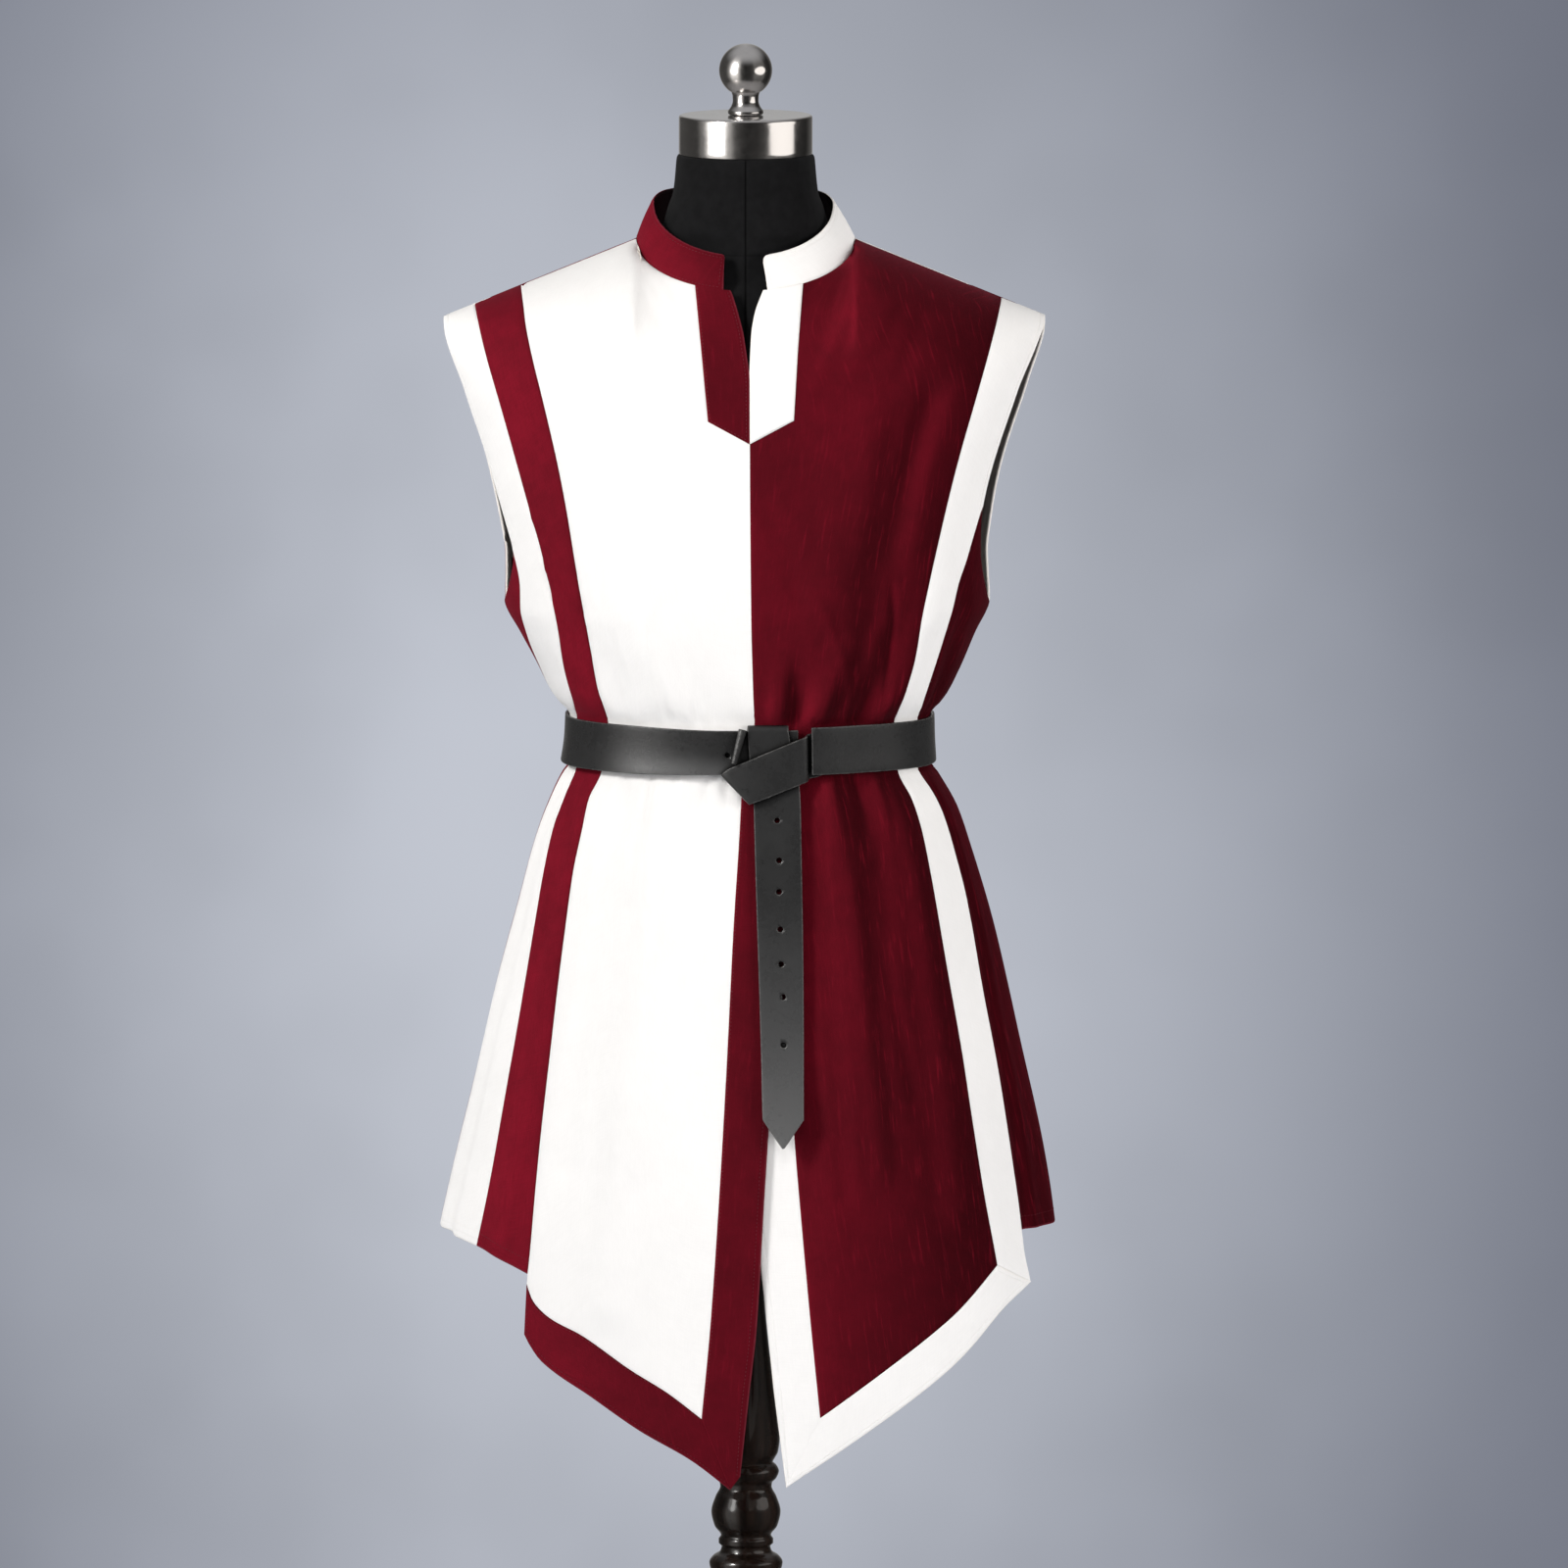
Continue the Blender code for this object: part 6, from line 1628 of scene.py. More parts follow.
    def slit_bands(self) -> None:
        """Builds the contrasting bands down the two edges of the skirt's slit."""
        inset = ROW_AT[-1] / self.slit_band_width
        share = close_ended((0, inset / 3), inset, self.slit_band_columns)
        level = np.linspace(SLIT_TOP, SLIT_LAST_LEVEL, self.slit_band_rows)
        t = np.concatenate([np.linspace(0, 1, 16)[1:-1], [0.97, 0.99, 1.0]])
        for node, panel, seam_edge, free_edge, tip in (
                ("slit_band_burgundy", "white", LEFT_FRONT, LEFT_SLIT, LEFT_BAND_TIP),
                ("slit_band_white", "burgundy", RIGHT_FRONT, RIGHT_SLIT, RIGHT_BAND_TIP)):
            angle = lerp(seam_edge(level), free_edge(level), share[:, None])
            height = np.broadcast_to(level, angle.shape)
            start_x = COAT.girth.point(angle[:, -1], height[:, -1])[:, 0]
            foot_x, foot_z = (np.interp(share, (0.0, 0.6, 1.0), ends) for ends in zip(*tip))
            x = lerp(start_x[:, None], foot_x[:, None], t)
            z = lerp(SLIT_LAST_LEVEL, foot_z[:, None], t)
            points = COAT.point(np.concatenate([angle, COAT.girth.angle_of(x, z)], axis=1),
                                np.concatenate([height, z], axis=1))
            kinds = Kinds(Kind.SEWN, Kind.FREE, Kind.SEWN, Kind.MITRED)
            self.sew(node, Grid(points, kinds, under=panel == "burgundy"), Hold.HUNG)

    def hem_bands(self) -> None:
        """Builds the contrasting bands along the slanted feet of the two fronts."""
        share = close_ended((0, 0.004), 1 / 48, 47)
        t = close_ended((0, 0.02, 0.06), 0.15, 8)
        for node, panel, upper, lower in (
                ("hem_band_burgundy", "white", LEFT_PANEL_FOOT, LEFT_BAND_FOOT),
                ("hem_band_white", "burgundy", RIGHT_PANEL_FOOT, RIGHT_BAND_FOOT)):
            feet = self.grids[f"front_panel_{panel}"].points[:, -1]
            start, stop = feet[0, 0], feet[-1, 0]
            lower = lower if start < stop else lower[::-1]
            x_upper = lerp(start, stop, share)
            x_lower = lerp(lower[0][0], lower[-1][0], share)
            x = lerp(x_upper[:, None], x_lower[:, None], t)
            z = lerp(column(upper, 1).at(x_upper)[:, None], column(lower, 1).at(x_lower)[:, None], t)
            points = COAT.point(COAT.girth.angle_of(x, z), z)
            kinds = Kinds(Kind.FREE, Kind.MITRED, Kind.SEWN, Kind.FREE)
            self.sew(node, Grid(points, kinds, under=panel == "burgundy"), Hold.HUNG)

    def collar(self) -> None:
        """Builds the two halves of the stand collar on the neckline."""
        turn = lerp(-math.acos(COLLAR_END / NECK_HALF), math.pi / 2,
                    close_ended((0, 0.003, 0.008), 1 / 63, 62))
        back, across, share = turn > 0, np.cos(turn), np.abs(np.sin(turn))
        t = close_ended((0, 0.025, 0.065), 0.14, 9)
        kinds = Kinds(Kind.FREE, Kind.SEWN, Kind.FREE, Kind.SEWN)
        for node, sign, corner in zip(("collar_burgundy", "collar_white"), (-1.0, 1.0),
                                      self.collar_corners):
            base = stack(sign * NECK_HALF * across,
                         np.where(back, NECK_BACK, -NECK_FRONT) * share,
                         NECK_SIDE_HEIGHT
                         + np.where(back, NECK_BACK_RISE, -NECK_FRONT_DROP) * share)
            top_x = COLLAR_TOP_CENTRE * np.where(back, across, 1) + (sign * COLLAR_TOP_HALF * across)
            top_y = np.where(back, COLLAR_TOP_BACK, -COLLAR_TOP_FRONT) * share
            level = np.hypot(top_x - base[:, 0], top_y - base[:, 1])
            rise = COLLAR_BACK_RISE * smooth_step((turn + 0.35) / 0.9)
            top = stack(top_x, top_y, base[:, 2] + np.sqrt(COLLAR_SLANT ** 2 - level ** 2) + rise)
            short = np.clip(corner - along(base, 0), 0, None)
            cut_off = corner - np.sqrt(np.clip(corner ** 2 - short ** 2, 0, None))
            share_up = t[::-1] * (1 - cut_off / COLLAR_SLANT)[:, None]
            away = unit(base * np.array([1.0, 1.0, 0.0]))
            bow = COLLAR_BOW * np.sin(math.pi * share_up)
            points = (lerp(base[:, None], top[:, None], share_up[..., None])
                      + away[:, None] * bow[..., None])
            self.sew(node, Grid(points, kinds, thickness=COLLAR_WALL), Hold.FOLDED)

    def topstitch(self) -> None:
        """Stitches the hems, armholes, slit, bands, plackets and collar."""
        hem, edge, seam_in = self.hem_stitch, self.edge_stitch, self.seam_stitch
        for piece in ("back_panel_burgundy", "back_panel_white", "front_stripe_burgundy",
                      "back_stripe_white", "back_stripe_burgundy", "front_side_white",
                      "back_side_white", "front_side_burgundy", "back_side_burgundy"):
            self.stitch(piece, "foot", hem, 0.6)
        for piece, side, above in (("front_side_white", "first", ARM_SEAM_HEIGHT),
                                   ("back_stripe_white", "first", ARM_SEAM_HEIGHT),
                                   ("back_side_white", "first", UNDERARM),
                                   ("front_stripe_white", "second", RIGHT_STRIPE_LEAVES)):
            self.stitch(piece, side, edge, 3.0, above)
        for piece in ("front_side_burgundy", "back_side_burgundy"):
            self.stitch(piece, "top", edge, 1.0)
        for piece, rows in (
                ("slit_band", (("second", edge, 4.0), ("first", seam_in, 2.0))),
                ("hem_band", (("foot", edge, 2.0), ("top", seam_in, 2.0),
                              ("first", edge, 3.0))),
                ("placket", (("first", seam_in + 0.6, 3.0), ("foot", seam_in + 0.6, 3.0),
                             ("second", seam_in + 1.2, 3.0))),
                ("collar", (("top", seam_in + 1.6, 4.0), ("foot", seam_in + 0.4, 4.0),
                            ("first", seam_in + 1.6, 4.0)))):
            for cloth in Cloth:
                for side, distance, trim in rows:
                    self.stitch(f"{piece}_{cloth.name.lower()}", side, distance, trim)
        for thread in self.threads.values():
            thread.build()

    def stitch(self, node: str, side: str, distance: float, trim: float, above: float = 0.0) -> None:
        """Lays a row of stitches on one piece, in the thread of its cloth."""
        line = self.grids[node].line(side, distance)
        self.threads[Cloth.of(node)].row(line, trim, above)

    def build(self) -> None:
        """Builds the whole coat."""
        self.panels()
        self.plackets()
        self.slit_bands()
        self.hem_bands()
        self.collar()
        self.topstitch()


# --- the belt ---
def off_section(angle: Array, height: Array, stand: Array) -> Array:
    """Points at angles round the belt's section, a given way off it."""
    level = np.full(np.shape(angle), BELT_HEIGHT)
    point = COAT.girth.point(angle, level)
    point = point + COAT.outward(angle, level) * np.expand_dims(stand, -1)
    point[..., 2] = height
    return point


def on_section(x: Array, height: Array, stand: Array) -> Array:
    """Points in front of the coat at distances x, a given way off its belt section."""
    x = np.asarray(x, float)
    level = np.full(np.shape(x), BELT_HEIGHT)
    return off_section(COAT.girth.angle_of(x, level), height, stand)


@dataclass
class Ribbon:
    """A leather strap with rounded edges, lofted between its upper and lower edges."""

    upper: Array
    lower: Array
    outward: Array
    thickness: float = LEATHER
    radius: float = 0.9
    crown: float = 0.25
    across: int = 10
    curl: Array | float = 0.0
    nose: float = 0.0
    end_round: float = 0.8

    def section(self, shrink: float, width: float, curl: float) -> tuple[Array, Array, Array]:
        """The section's outline: share across, height off the inner face, edge value.

        Args:
            shrink: how much smaller than full it is on every side, in mm.
            width: the strap's width there, in mm.
            curl: how far its lower edge stands out there, in mm.

        Returns:
            Share from the lower edge, distance out and distance from the edge.
        """
        r, t = self.radius, self.thickness
        quarter = np.radians([0, 22.5, 45, 67.5, 90])
        cos, sin = r * np.cos(quarter), r * np.sin(quarter)
        face = np.linspace(r, width - r, self.across)[1:-1]
        bulge = self.crown * (1 - ((face - width / 2) / (width / 2)) ** 4)
        across = np.concatenate([r - cos, face, width - r + sin, width - r + cos,
                                 [width * 0.7, width * 0.3], r - sin])
        out = np.concatenate([t - r + sin, t + bulge, t - r + cos, r - sin, [0, 0], r - cos])
        out = out + curl * (1 - across / width) ** 2.4
        edge = np.minimum(across, width - across)
        across = width / 2 + (across - width / 2) * (1 - 2 * shrink / width)
        out = t / 2 + (out - t / 2) * (1 - 2 * shrink / t)
        return across / width, out, edge

    def build(self, name: str, node: str) -> Object:
        """The strap with both its ends rounded.

        Args:
            name: the object's name.
            node: the node that it stands for.

        Returns:
            The object.
        """
        width = np.linalg.norm(self.upper - self.lower, axis=1)
        length = along((self.upper + self.lower) / 2, 0)
        from_end = np.minimum(length, length[-1] - length)
        rings, edges = [], []
        curl = np.broadcast_to(self.curl, len(width))
        limit = self.end_round
        for k, near in enumerate(from_end):
            rest = limit - min(limit, near)
            shrink = max(0.0, limit - math.sqrt(max(0.0, limit ** 2 - rest ** 2)))
            share, out, edge = self.section(shrink, width[k], curl[k])
            place = lerp(self.lower[k], self.upper[k], share[:, None])
            short = max(0.0, self.nose - length[k])
            turned = math.sqrt(self.nose ** 2 - short ** 2) / self.nose if short else 1.0
            rings.append(place + unit(self.outward[k]) * (out * turned)[:, None])
            edges.append(np.minimum(edge, near))
        return mesh_object(name, np.concatenate(rings), ring_faces(len(rings), len(rings[0])),
                           BLACK_LEATHER, node=node, edge=np.concatenate(edges))


def rub(strap: Object, share: Callable[[Array], Array]) -> None:
    """Marks where a painted highlight lightens a strap's face.

    Args:
        strap: the strap.
        share: gives each point's share of the painted highlight's paler tone from its place in mm.
    """
    flat = np.empty(3 * len(strap.data.vertices), np.float32)
    strap.data.vertices.foreach_get("co", flat)
    set_values(strap.data, "rub", share(flat.reshape(-1, 3) / MM))


def end_spaced(start: float, stop: float, count: int, length: float) -> Array:
    """Places from start to stop with a few close to either end, for rounded ends."""
    close = np.array([0.0, 0.12, 0.35, 0.8]) / length
    return lerp(start, stop, close_ended(close, 1 / count, count - 1))


def facing_front(upper: Array, lower: Array) -> Array:
    """The directions out of a strap's face, towards the front."""
    run = unit(np.gradient((upper + lower) / 2, axis=0))
    out = unit(np.cross(run, upper - lower))
    return out * np.sign(-out[:, 1:2])


@dataclass
class Belt:
    """The knotted belt: strap, fold, band across the knot and hanging tail."""

    strap_right_end: float = 55.6
    strap_left_end: float = 45.0
    right_lift: float = 4.4
    knot_drop: float = 3.0
    drop_run: float = 90.0
    lift_run: float = 46.0
    low_curl: float = 1.7
    hip_curl: float = 5.6
    hole_radius: float = 2.3
    holes: Pairs = (
        (27.2, 938.0), (28.9, 904.0), (28.9, 877.0), (29.8, 845.0), (30.6, 815.0),
        (32.3, 787.0), (32.7, 746.0))
    # The lowest hole and the strap hole beside the knot stop short of going through: their dark leather
    # floors stand in for the shade seen through a hole.
    low_hole_depth: float = 2.2
    strap_hole: tuple[float, float] = (-15.5, 993.5)
    strap_hole_depth: float = 2.1
    roll_radius: float = 3.7
    roll_hole: float = 2.2
    roll_tilt: float = 5.0
    roll_taper: float = 0.62
    roll_top: tuple[float, float] = (-2.3, 1016.2)
    roll_low: tuple[float, float] = (-9.8, 987.0)
    top_turn: float = 3.2
    point_from: float = 682.0
    tip_kick: float = 11.0

    def strap(self) -> None:
        """Builds the strap from the knot's right side round the back and in under it."""
        level = np.array(BELT_HEIGHT)
        start, stop = (float(COAT.girth.angle_of(np.array(x), level))
                       for x in (self.strap_right_end, self.strap_left_end))
        stop += math.tau
        angle = end_spaced(start, stop, 300, 900.0)
        share = (angle - start) / (stop - start)
        x = off_section(angle, BELT_HEIGHT, np.zeros(len(angle)))[:, 0]
        lift = self.right_lift * (1 - smooth_step((x - self.strap_right_end) / self.lift_run))
        stand = BELT_EASE + np.where(share > 0.5, 0.0, lift)
        sway = 0.5 * np.sin(3 * angle + 0.6) + 0.3 * np.sin(7 * angle + 2.0)
        sway *= np.minimum(1.0, 12 * np.minimum(share, 1 - share))
        half = BELT_WIDTH / 2
        drop = self.knot_drop * (1 - smooth_step((np.abs(x) - 20) / self.drop_run))
        drop *= np.where(share > 0.5, 1.0, 0.0)
        upper = off_section(angle, BELT_HEIGHT + half - drop + 0.5 * sway, stand)
        lower = off_section(angle, BELT_HEIGHT - half + 0.5 * sway, stand)
        out = COAT.outward(angle, np.full(len(angle), BELT_HEIGHT))
        hip = smooth_step((x + 172) / 34) * smooth_step((-16 - x) / 26)
        curl = lerp(self.low_curl, self.hip_curl, hip * (share > 0.5))
        strap = Ribbon(upper, lower, out, curl=curl).build("belt_long_strap", "belt_strap")
        # Painted highlight along the lower half of the strap's front, left of the knot.
        rub(strap, lambda p: 0.62 * (p[:, 1] < 0) * smooth_step((p[:, 0] + 130) / 90)
            * smooth_step((-8 - p[:, 0]) / 14) * smooth_step((BELT_HEIGHT - p[:, 2]) / 20))
        x, height = self.strap_hole
        depth = on_section(x, height, BELT_EASE + LEATHER)[1]
        self.punch(strap, [(x, height, depth)], 0.1, self.strap_hole_depth)

    def punch(self, strap: Object, places: Sequence[tuple[float, float, float]],
              flare: float = 1.8, depth_of: float = 9.0) -> None:
        """Punches holes with a pressed lip into a strap that faces the front, through it unless depth_of
        stops short.

        Args:
            strap: the strap.
            places: each hole's x, height and the depth of the strap's outer face.
            flare: how much wider the hole is at its pressed lip.
            depth_of: how deep the hole goes.
        """
        rings = ((-2.0, flare), (0.0, 0.2 * flare), (0.7, 0.0), (depth_of, 0.0))
        turn = np.linspace(0, math.tau, 20, endpoint=False)
        faces, points = [], []
        for x, height, depth in places:
            faces += [tuple(i + len(points) for i in face) for face in ring_faces(len(rings), len(turn))]
            for back, wider in rings:
                radius = self.hole_radius + wider
                points += [(x + radius * math.cos(a), depth + back, height + radius * math.sin(a))
                           for a in turn]
        cutter = mesh_object("hole_cutter", np.array(points), faces, BLACK_LEATHER, 40.0)
        cut = strap.modifiers.new("holes", "BOOLEAN")
        cut.operation, cut.solver, cut.object = "DIFFERENCE", "EXACT", cutter
        graph = bpy.context.evaluated_depsgraph_get()
        made = bpy.data.meshes.new_from_object(strap.evaluated_get(graph))
        strap.modifiers.clear()
        old, strap.data = strap.data, made
        bpy.data.meshes.remove(old)
        bpy.data.objects.remove(cutter, do_unlink=True)

    def band(self) -> None:
        """Builds the strap laid across the knot, over the hanging end."""
        rows = np.array(BAND_ROWS)
        at = end_spaced(0.0, len(rows) - 1.0, 66, 96.0)
        values = [Curve(enumerate(rows[:, k])).at(at) for k in range(6)]
        upper, lower = on_section(*values[:3]), on_section(*values[3:])
        Ribbon(upper, lower, facing_front(upper, lower), radius=1.0, nose=2.4).build(
            "belt_crossing_band", "belt_knot_band")

    def roll(self) -> None:
        """Builds the fold that stands on the strap, curled into a small open tube."""
        stand = BELT_EASE + LEATHER + 0.3 + self.roll_radius
        ends = [on_section(x, z, stand + tilt)
                for (x, z), tilt in ((self.roll_top, 0.0), (self.roll_low, self.roll_tilt))]
        axis = unit(ends[1] - ends[0])
        side = unit(np.cross(axis, [0.0, 1.0, 0.0]))
        side = side * np.sign(side[0])
        front = unit(np.cross(side, axis))
        front = front * -np.sign(front[1])
        r, low, taper = self.roll_radius, self.roll_radius + 0.1, self.roll_taper
        turn = np.radians(np.linspace(192, -30, 24))
        outline = np.array([(-3.0, -low), (-3.5, -0.6 * low),
                            *((r * math.cos(a), r * math.sin(a)) for a in turn),
                            (2.4, -low), (0.0, -low), (-1.6, -low)])
        centre = outline[3:-3].mean(axis=0) * 0.15
        hole = self.roll_hole * unit(outline - centre)
        length = float(np.linalg.norm(ends[1] - ends[0]))
        rings = []
        for place, shape in (
                (9.0, centre + hole * 0.55), (1.6, centre + hole), (0.25, centre + hole * 1.12),
                (0.0, lerp(centre + hole, outline, 0.5)), (0.2, outline * 0.95),
                (0.8, outline),
                *[(length * k / 7, outline * lerp(1.0, taper, k / 7)) for k in range(1, 7)],
                (length - 1.0, outline * taper), (length - 0.3, outline * 0.93 * taper),
                (length, outline * 0.8 * taper)):
            rings.append(ends[0] + axis * place + shape[:, :1] * side + shape[:, 1:] * front)
        steps = len(outline)
        # Painted highlight: the worn tone is laid along the tube's front-left crest, where the key lamp's
        # light catches it.
        highlight_crest = np.array([-0.62, 0.78]) * r
        off_highlight = np.linalg.norm(outline - highlight_crest, axis=1) / r * 1.3
        edge = np.concatenate([np.full(3 * steps, 9.0)] + [off_highlight] * (len(rings) - 3))
        mesh_object("belt_rolled_fold", np.concatenate(rings), ring_faces(len(rings), steps),
                    BLACK_LEATHER, node="belt_knot_roll", edge=edge)

    def tail_depth(self, x: Array, height: Array) -> Array:
        """The inner face of the hanging strap, clear of the belt and the skirt."""
        belt = on_section(x, height, np.full(np.shape(x), BELT_EASE + LEATHER + 0.3))[..., 1]
        skirt = COAT.girth.point(COAT.girth.angle_of(x, height), height)[..., 1]
        return np.where(height > BELT_HEIGHT - BELT_WIDTH / 2, belt,
                        np.minimum(belt, skirt - TAIL_CLEARANCE))

    def tail(self) -> None:
        """Builds the hanging end, turned over the belt at its top, with its holes."""
        left, right = column(TAIL_ROWS, 1), column(TAIL_ROWS, 2)
        top, tip = TAIL_ROWS[0][0] - 1.0, TAIL_ROWS[-1][0]
        height = np.concatenate([
            np.linspace(top, self.point_from + 2, 84), np.linspace(self.point_from, tip + 1, 9),
            [tip + 0.5, tip + 0.2, tip]])
        middle = (left.at(height) + right.at(height)) / 2
        flat = smooth_step((BELT_HEIGHT - height) / 120)
        kick = self.tip_kick * np.clip((742.0 - height) / 90, 0.0, None) ** 1.6
        edges = []
        for curve in (left, right):
            x = np.where(height < self.point_from, np.interp(height, [tip, self.point_from], [
                curve.at(tip), curve.at(self.point_from)]), curve.at(height))
            depth = lerp(self.tail_depth(x, height), self.tail_depth(middle, height), flat)
            edges.append(stack(x, depth - kick, height))
        turn = np.radians(np.linspace(90, 0, 9)[:-1])[:, None]
        over = np.cos(turn) * np.array([0, -1.0, 0]) + np.sin(turn) * np.array([0, 0, 1.0])
        lower, upper = (np.concatenate([edge[0] + self.top_turn * (
            np.array([0, 1.0, 0]) + over), edge]) for edge in edges)
        out = np.concatenate([over, facing_front(edges[0], edges[1])])
        strap = Ribbon(upper, lower, out).build("belt_hanging_tail", "belt_tail")
        # Painted highlight, growing stronger towards the tail's tip.
        rub(strap, lambda p: np.clip((900 - p[:, 2]) / 240, 0.0, 1.0) ** 1.6)
        places = [(x, z, float(self.tail_depth(np.array(x), np.array(z))) - LEATHER)
                  for x, z in self.holes]
        self.punch(strap, places[:-1])
        self.punch(strap, places[-1:], depth_of=self.low_hole_depth)

    def build(self) -> None:
        """Builds the whole belt."""
        self.strap()
        self.roll()
        self.band()
        self.tail()


# --- the dress form and its stand ---
def lathe(name: str, profile: Table, finish: "Finish", node: str, steps: int = 96,
          spacing: float | None = None) -> None:
    """Builds a turned piece on the stand's axis.

    Args:
        name: the object's name.
        profile: heights and radii, from the top down.
        finish: what it is finished with.
        node: the node that it stands for.
        steps: how many points each ring has.
        spacing: how far apart, in mm, the rings of a smoothly curved profile are, or
            None for straight runs between its points.
    """
    height, radius = np.array(profile, float).T
    if spacing:
        length = along(stack(radius, 0.0, height), 0)
        count = max(8, round(length[-1] / spacing))
        at = np.union1d(np.linspace(0, length[-1], count), length)
        height, radius = (Curve(zip(length, values)).at(at) for values in (height, radius))
    turn = np.linspace(0, math.tau, steps, endpoint=False)
    rings = stack(radius[:, None] * np.cos(turn), radius[:, None] * np.sin(turn), height[:, None])
    mesh_object(name, rings.reshape(-1, 3), ring_faces(len(height), steps), finish, node=node)


@dataclass
class DressForm:
    """The limbless form, with its neck cap and finial."""

    steps: int = 144
    seam_depth: float = 0.8
    seam_half: float = 1.142857
    edge_round: float = 2.2
    neck_seam_height: float = 1421.0
    seams: tuple[float, ...] = (-90.0, 90.0)
    princess: tuple[float, ...] = (-112.0, -68.0, 68.0, 112.0)
    princess_top: float = 1400.0
    cap_top: float = 1537.4
    cap_low: float = 1503.7
    cap_radius: float = 57.8
    ball_centre: float = 1576.2
    ball_radius: float = 23.0
    foot: Pairs = (
        (1558.0, 12.8), (1554, 11.4), (1549.5, 11.2), (1545.5, 12.3), (1542.5, 14.2),
        (1540.6, 15.4), (1538.6, 15.2), (1537.7, 14))

    def dip(self, angle: Array, height: float) -> Array:
        """How deep in a seam each place of a section lies, from 0 to 1."""
        dip = np.full(len(angle), 0.35 * max(0.0, 1 - abs(height - self.neck_seam_height) / 1.3))
        princess = self.princess if height <= self.princess_top else ()
        for centre in (*self.seams, *princess):
            away = np.abs((np.degrees(angle) - centre + 180) % 360 - 180)
            dip = np.maximum(dip, np.clip(1 - away / self.seam_half, 0, 1))
        return dip

    def torso(self) -> None:
        """Builds the form's covered torso with its sewn seams."""
        curves = [column(FORM_ROWS, k) for k in range(1, 5)]
        top = FORM_ROWS[0][0]
        heights = np.concatenate([
            [top, 1502.6, 1501.0], np.linspace(1498, 1425, 20), [1422.2, 1421.0, 1419.8],
            np.linspace(1417, 1380, 28), np.linspace(1374, 775, 92),
            [770.0, 766.0, 763.6, 762.5, TORSO_BOTTOM]])
        extra = [s + d for s in (*self.seams, *self.princess)
                 for d in (-self.seam_half, 0.0, self.seam_half)]
        angle = np.concatenate([np.linspace(0, 360, self.steps, endpoint=False), np.mod(extra, 360)])
        angle = np.radians(np.unique(np.round(angle, 4)))
        across, reach = np.abs(np.cos(angle)), np.abs(np.sin(angle))
        rings, dips = [], []
        for z in heights:
            half_width, front, back, power = (curve.at(z) for curve in curves)
            depth = np.where(np.sin(angle) < 0, front, back)
            radius = ((across / half_width) ** power + (reach / depth) ** power) ** (-1 / power)
            dips.append(self.dip(angle, z))
            end = 1 - min(1.0, min(top - z, z - TORSO_BOTTOM) / 4)
            radius -= self.seam_depth * dips[-1] + self.edge_round * (1 - math.sqrt(1 - end ** 2))
            rings.append(stack(radius * np.cos(angle), radius * np.sin(angle), z))
        mesh_object("form_covered_torso", np.concatenate(rings),
                    ring_faces(len(rings), len(angle)), BLACK_JERSEY, 60.0, "form_torso",
                    seam=np.concatenate(dips))

    def cap(self) -> None:
        """Builds the neck cap: a polished plate with rolled edges."""
        top, low, wide = self.cap_top, self.cap_low, self.cap_radius
        profile = [(top, 14.0), (top, 40.0), (top, wide - 3.2), (top - 0.1, wide - 1.9),
                   (top - 0.5, wide - 0.9), (top - 1.2, wide - 0.25), (top - 2.2, wide),
                   *((z, wide) for z in np.linspace(top - 5, low + 4, 9)),
                   (low + 0.5, wide), (low + 0.15, wide - 0.15), (low, wide - 0.6), (low, 30.0)]
        lathe("form_neck_cap", profile, POLISHED_STEEL, "neck_cap", 160)

    def finial(self) -> None:
        """Builds the ball and its waisted foot."""
        turn = np.radians(np.linspace(-88, 52, 44))
        ball = [(self.ball_centre - self.ball_radius * math.sin(a),
                 self.ball_radius * math.cos(a)) for a in turn]
        at = np.linspace(self.foot[0][0] - 0.6, self.foot[-1][0], 30)
        lathe("form_finial", [*ball, *zip(at, Curve(self.foot).at(at))], POLISHED_STEEL, "finial")

    def build(self) -> None:
        """Builds the form."""
        self.torso()
        self.cap()
        self.finial()


@dataclass
class Stand:
    """The turned post and its round base."""

    spacing: float = 2.0
    base_steps: int = 128

    def build(self) -> None:
        """Builds the post and the base."""
        lathe("stand_turned_post", POST_PROFILE, DARK_LACQUER, "stand_post", spacing=self.spacing)
        lathe("stand_round_base", BASE_PROFILE, DARK_LACQUER, "stand_base", self.base_steps, self.spacing)


# --- the studio ---
class Lamp(NamedTuple):
    """A soft lamp: its place, aim height, width and height, power, colour, if it mirrors."""

    name: str
    place: Colour
    aim: float
    size: tuple[float, float]
    power: float
    colour: Colour
    mirrored: bool = True


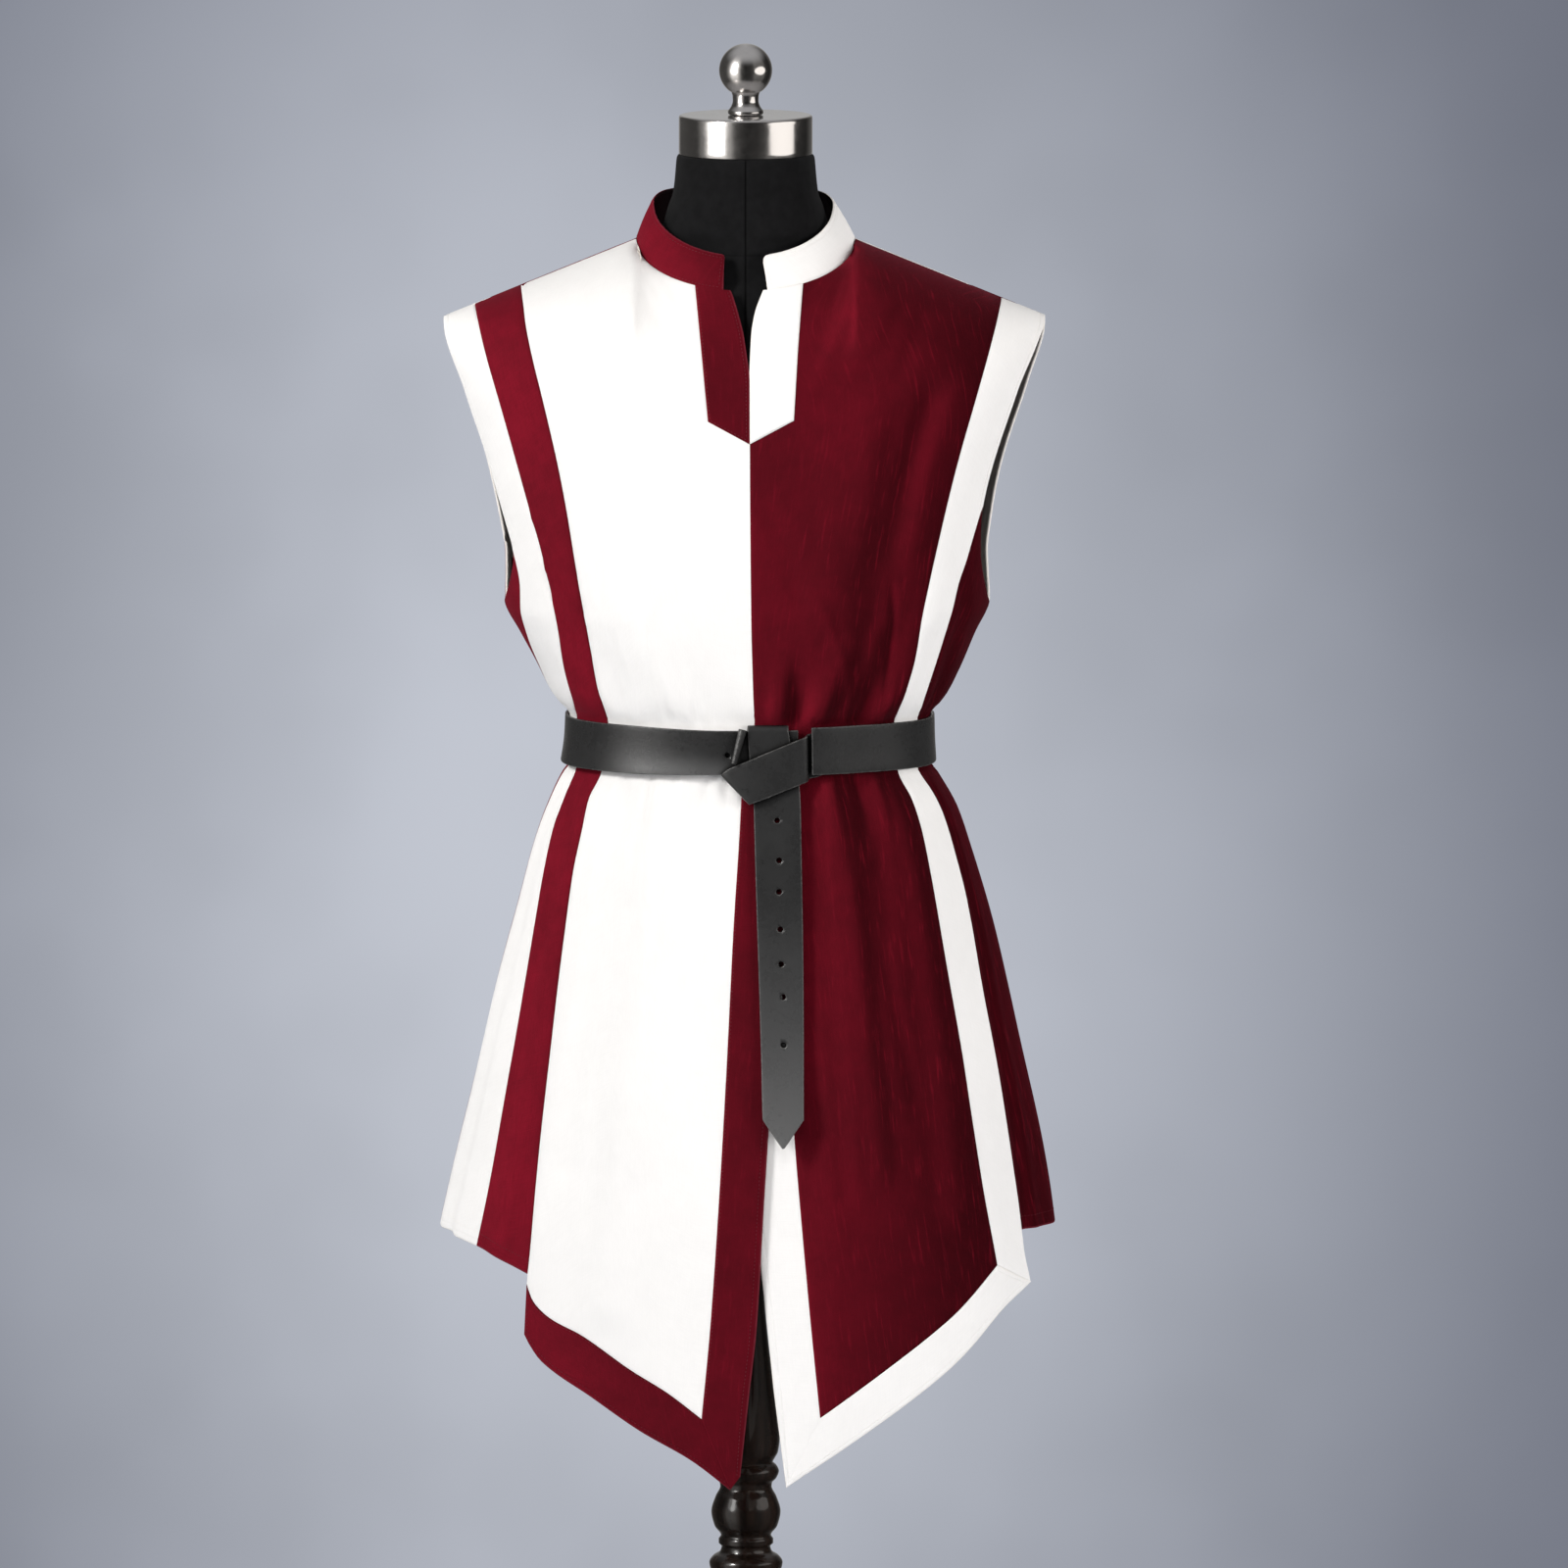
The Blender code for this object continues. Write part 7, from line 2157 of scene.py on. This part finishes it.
@dataclass
class Studio:
    """Floor, backdrop, soft lamps and the camera. Sizes are in metres."""

    distance: float = 20.0
    pitch: float = 6.8
    aim: Colour = (0.03315, 0.0, 0.9549)
    frame_width: float = 1.36
    sensor: float = 36.0
    floor_radius: float = 1.7
    floor_thickness: float = 0.003
    backdrop: Colour = (0.165, 0.177, 0.220)
    glow: Colour = (0.510, 0.535, 0.598)
    glow_at: tuple[float, float] = (-0.0064, -0.1226)
    glow_reach: tuple[float, float] = (0.0060, 0.0640)
    ambient: Colour = (0.150, 0.154, 0.162)
    ceiling: Colour = (0.42, 0.42, 0.43)
    ground: Colour = (0.035, 0.035, 0.035)
    room_tint: Colour = (1.03, 1.0, 0.965)
    # The room as the reflections see it: a share of the way round from behind, value.
    room: Pairs = (
        (0.0, 0.44), (0.04, 0.28), (0.08, 0.07), (0.24, 0.05), (0.28, 0.2), (0.32, 0.95),
        (0.39, 0.95), (0.42, 0.4), (0.45, 0.05), (0.50, 0.02), (0.55, 0.03), (0.585, 0.05),
        (0.62, 0.16), (0.74, 0.13), (0.78, 0.03), (0.85, 0.02), (0.93, 0.10), (0.97, 0.28),
        (1.0, 0.44))
    lamps: tuple[Lamp, ...] = (
        Lamp("key", (-2.25, -2.05, 2.85), 1.0, (0.8, 0.8), 86.0, (1.0, 0.988, 0.97)),
        Lamp("window", (-2.38, -2.14, 1.72), 1.0, (0.9, 1.35), 17.0, (1.0, 0.99, 0.975)),
        Lamp("fill", (2.55, -1.75, 1.45), 1.0, (1.5, 1.5), 59.0, (1.0, 0.985, 0.975), False),
        Lamp("front", (-0.10, -2.9, 2.7), 1.1, (1.0, 1.0), 25.0, (1.0, 0.99, 0.985), False),
        Lamp("back_left", (-1.7, 2.4, 2.1), 1.1, (1.2, 1.2), 42.0, (1.0, 1.0, 1.0), False),
        Lamp("back_right", (1.9, 2.2, 1.8), 1.0, (1.2, 1.2), 34.0, (1.0, 1.0, 1.0), False),
        Lamp("card_left", (-1.82, -1.44, 1.55), 1.5, (1.40, 1.2), 7.0, (1.0, 0.99, 0.98)),
        Lamp("card_right", (2.12, -0.92, 1.55), 1.5, (2.35, 1.2), 9.0, (1.0, 0.96, 0.92)))

    def floor(self) -> None:
        """Lays a round pale floor."""
        turn = np.linspace(0, math.tau, 128, endpoint=False)
        points = [(self.floor_radius * math.cos(a), self.floor_radius * math.sin(a), z)
                  for z in (0.0, -self.floor_thickness) for a in turn]
        mesh = bpy.data.meshes.new("floor")
        mesh.from_pydata(points, [], ring_faces(2, len(turn)))
        mesh.materials.append(material_of(PALE_FLOOR))
        floor = bpy.data.objects.new("floor", mesh)
        bpy.context.scene.collection.objects.link(floor)
        floor.visible_glossy = False

    def light(self) -> None:
        """Hangs the lamps."""
        for lamp in self.lamps:
            data = bpy.data.lights.new(lamp.name, "AREA")
            data.shape = "ELLIPSE" if lamp.mirrored else "RECTANGLE"
            data.size, data.size_y = lamp.size
            data.energy, data.color = lamp.power, lamp.colour
            obj = bpy.data.objects.new(lamp.name, data)
            obj.location = lamp.place
            look = Vector((0.0, 0.0, lamp.aim)) - Vector(lamp.place)
            obj.rotation_euler = look.to_track_quat("-Z", "Y").to_euler()
            obj.visible_glossy = lamp.mirrored
            bpy.context.scene.collection.objects.link(obj)

    def reflected_room(self, g: Graph, x: Socket, y: Socket, z: Socket) -> Socket:
        """The banded room that reflections see.

        Args:
            g: the world's graph.
            x: how far a direction points along X.
            y: how far it points along Y.
            z: how far it points up.

        Returns:
            The room's colour in that direction.
        """
        turn = g.math("ARCTAN2", x, g.times(y, -1.0))
        share = g.add("MapRange", {0: turn, 1: -math.pi, 2: math.pi}).outputs[0]
        ramp = g.add("ValToRGB", {0: share})
        ramp.color_ramp.interpolation = "EASE"
        elements = ramp.color_ramp.elements
        for position, value in self.room[1:-1]:
            elements.new(position).color = (*(value * c for c in self.room_tint), 1.0)
        for element, (_, value) in ((elements[0], self.room[0]), (elements[-1], self.room[-1])):
            element.color = (value, value, value, 1.0)
        room = g.blend(g.fit(z, 0.35, 0.95), ramp.outputs[0], (*self.ceiling, 1.0))
        return g.blend(g.fit(z, -0.95, -0.3), (*self.ground, 1.0), room)

    def seen_backdrop(self, g: Graph, way: Socket, x: Socket, y: Socket, z: Socket) -> Socket:
        """The plain backdrop with its soft glow.

        Args:
            g: the world's graph.
            way: a direction.
            x: how far it points along X.
            y: how far it points along Y.
            z: how far it points up.

        Returns:
            The backdrop's colour in that direction.
        """
        flat = g.add("CombineXYZ", {0: x, 1: g.fit(y, -0.2, 0.2, 9.0, 0.0), 2: z}).outputs[0]
        centre = (self.glow_at[0], 0.0, self.glow_at[1])
        off = g.add("VectorMath", {0: flat, 1: centre}, operation="SUBTRACT").outputs[0]
        away = g.add("VectorMath", {0: g.stretched(off, 1.3, 1.0, 0.8)}, operation="LENGTH").outputs[1]
        cloud = g.fit(g.noise(way, 42.0, 3.0, 0.55), 0.3, 0.7, 0.93, 1.07)
        glow = g.fit(away, *self.glow_reach, 1.0, 0.0)
        return g.scaled(g.blend(glow, (*self.backdrop, 1.0), (*self.glow, 1.0)), cloud)

    def surroundings(self) -> None:
        """A plain backdrop for the eye and a darker banded room for the reflections."""
        world = bpy.data.worlds.new("studio")
        world.use_nodes = True
        bpy.context.scene.world = world
        world.node_tree.nodes.clear()
        g = Graph(world.node_tree)
        way = g.add("TexCoord").outputs["Generated"]
        parts = g.add("SeparateXYZ", {0: way}).outputs[:]
        path = g.add("LightPath").outputs
        around = g.blend(path["Is Glossy Ray"], (*self.ambient, 1.0), self.reflected_room(g, *parts))
        seen = g.blend(path["Is Camera Ray"], around, self.seen_backdrop(g, way, *parts))
        back = g.add("Background", {"Color": seen, "Strength": 1.0})
        g.add("OutputWorld", {0: back.outputs[0]})

    def camera(self) -> None:
        """Sets up the camera, far off and a little above, looking gently down."""
        data = bpy.data.cameras.new("camera")
        data.sensor_width = self.sensor
        data.lens = self.sensor * self.distance / self.frame_width
        data.clip_end = 100.0
        camera = bpy.data.objects.new("camera", data)
        tilt = math.radians(self.pitch)
        back = Vector((0, -math.cos(tilt), math.sin(tilt))) * self.distance
        camera.location = Vector(self.aim) + back
        camera.rotation_euler = (math.pi / 2 - tilt, 0.0, 0.0)
        bpy.context.scene.collection.objects.link(camera)
        bpy.context.scene.camera = camera

    def build(self) -> None:
        """Sets up the whole studio."""
        bpy.context.scene.view_settings.view_transform = "Standard"
        self.floor()
        self.light()
        self.surroundings()
        self.camera()


def main() -> None:
    """Builds every part of the piece and the studio round it, in order."""
    logging.basicConfig(level=logging.INFO, format="%(name)s: %(message)s")
    for part in (Studio(), DressForm(), Stand(), Surcoat(), Belt()):
        log.info("building %s", type(part).__name__)
        part.build()


if __name__ == "__main__":
    main()
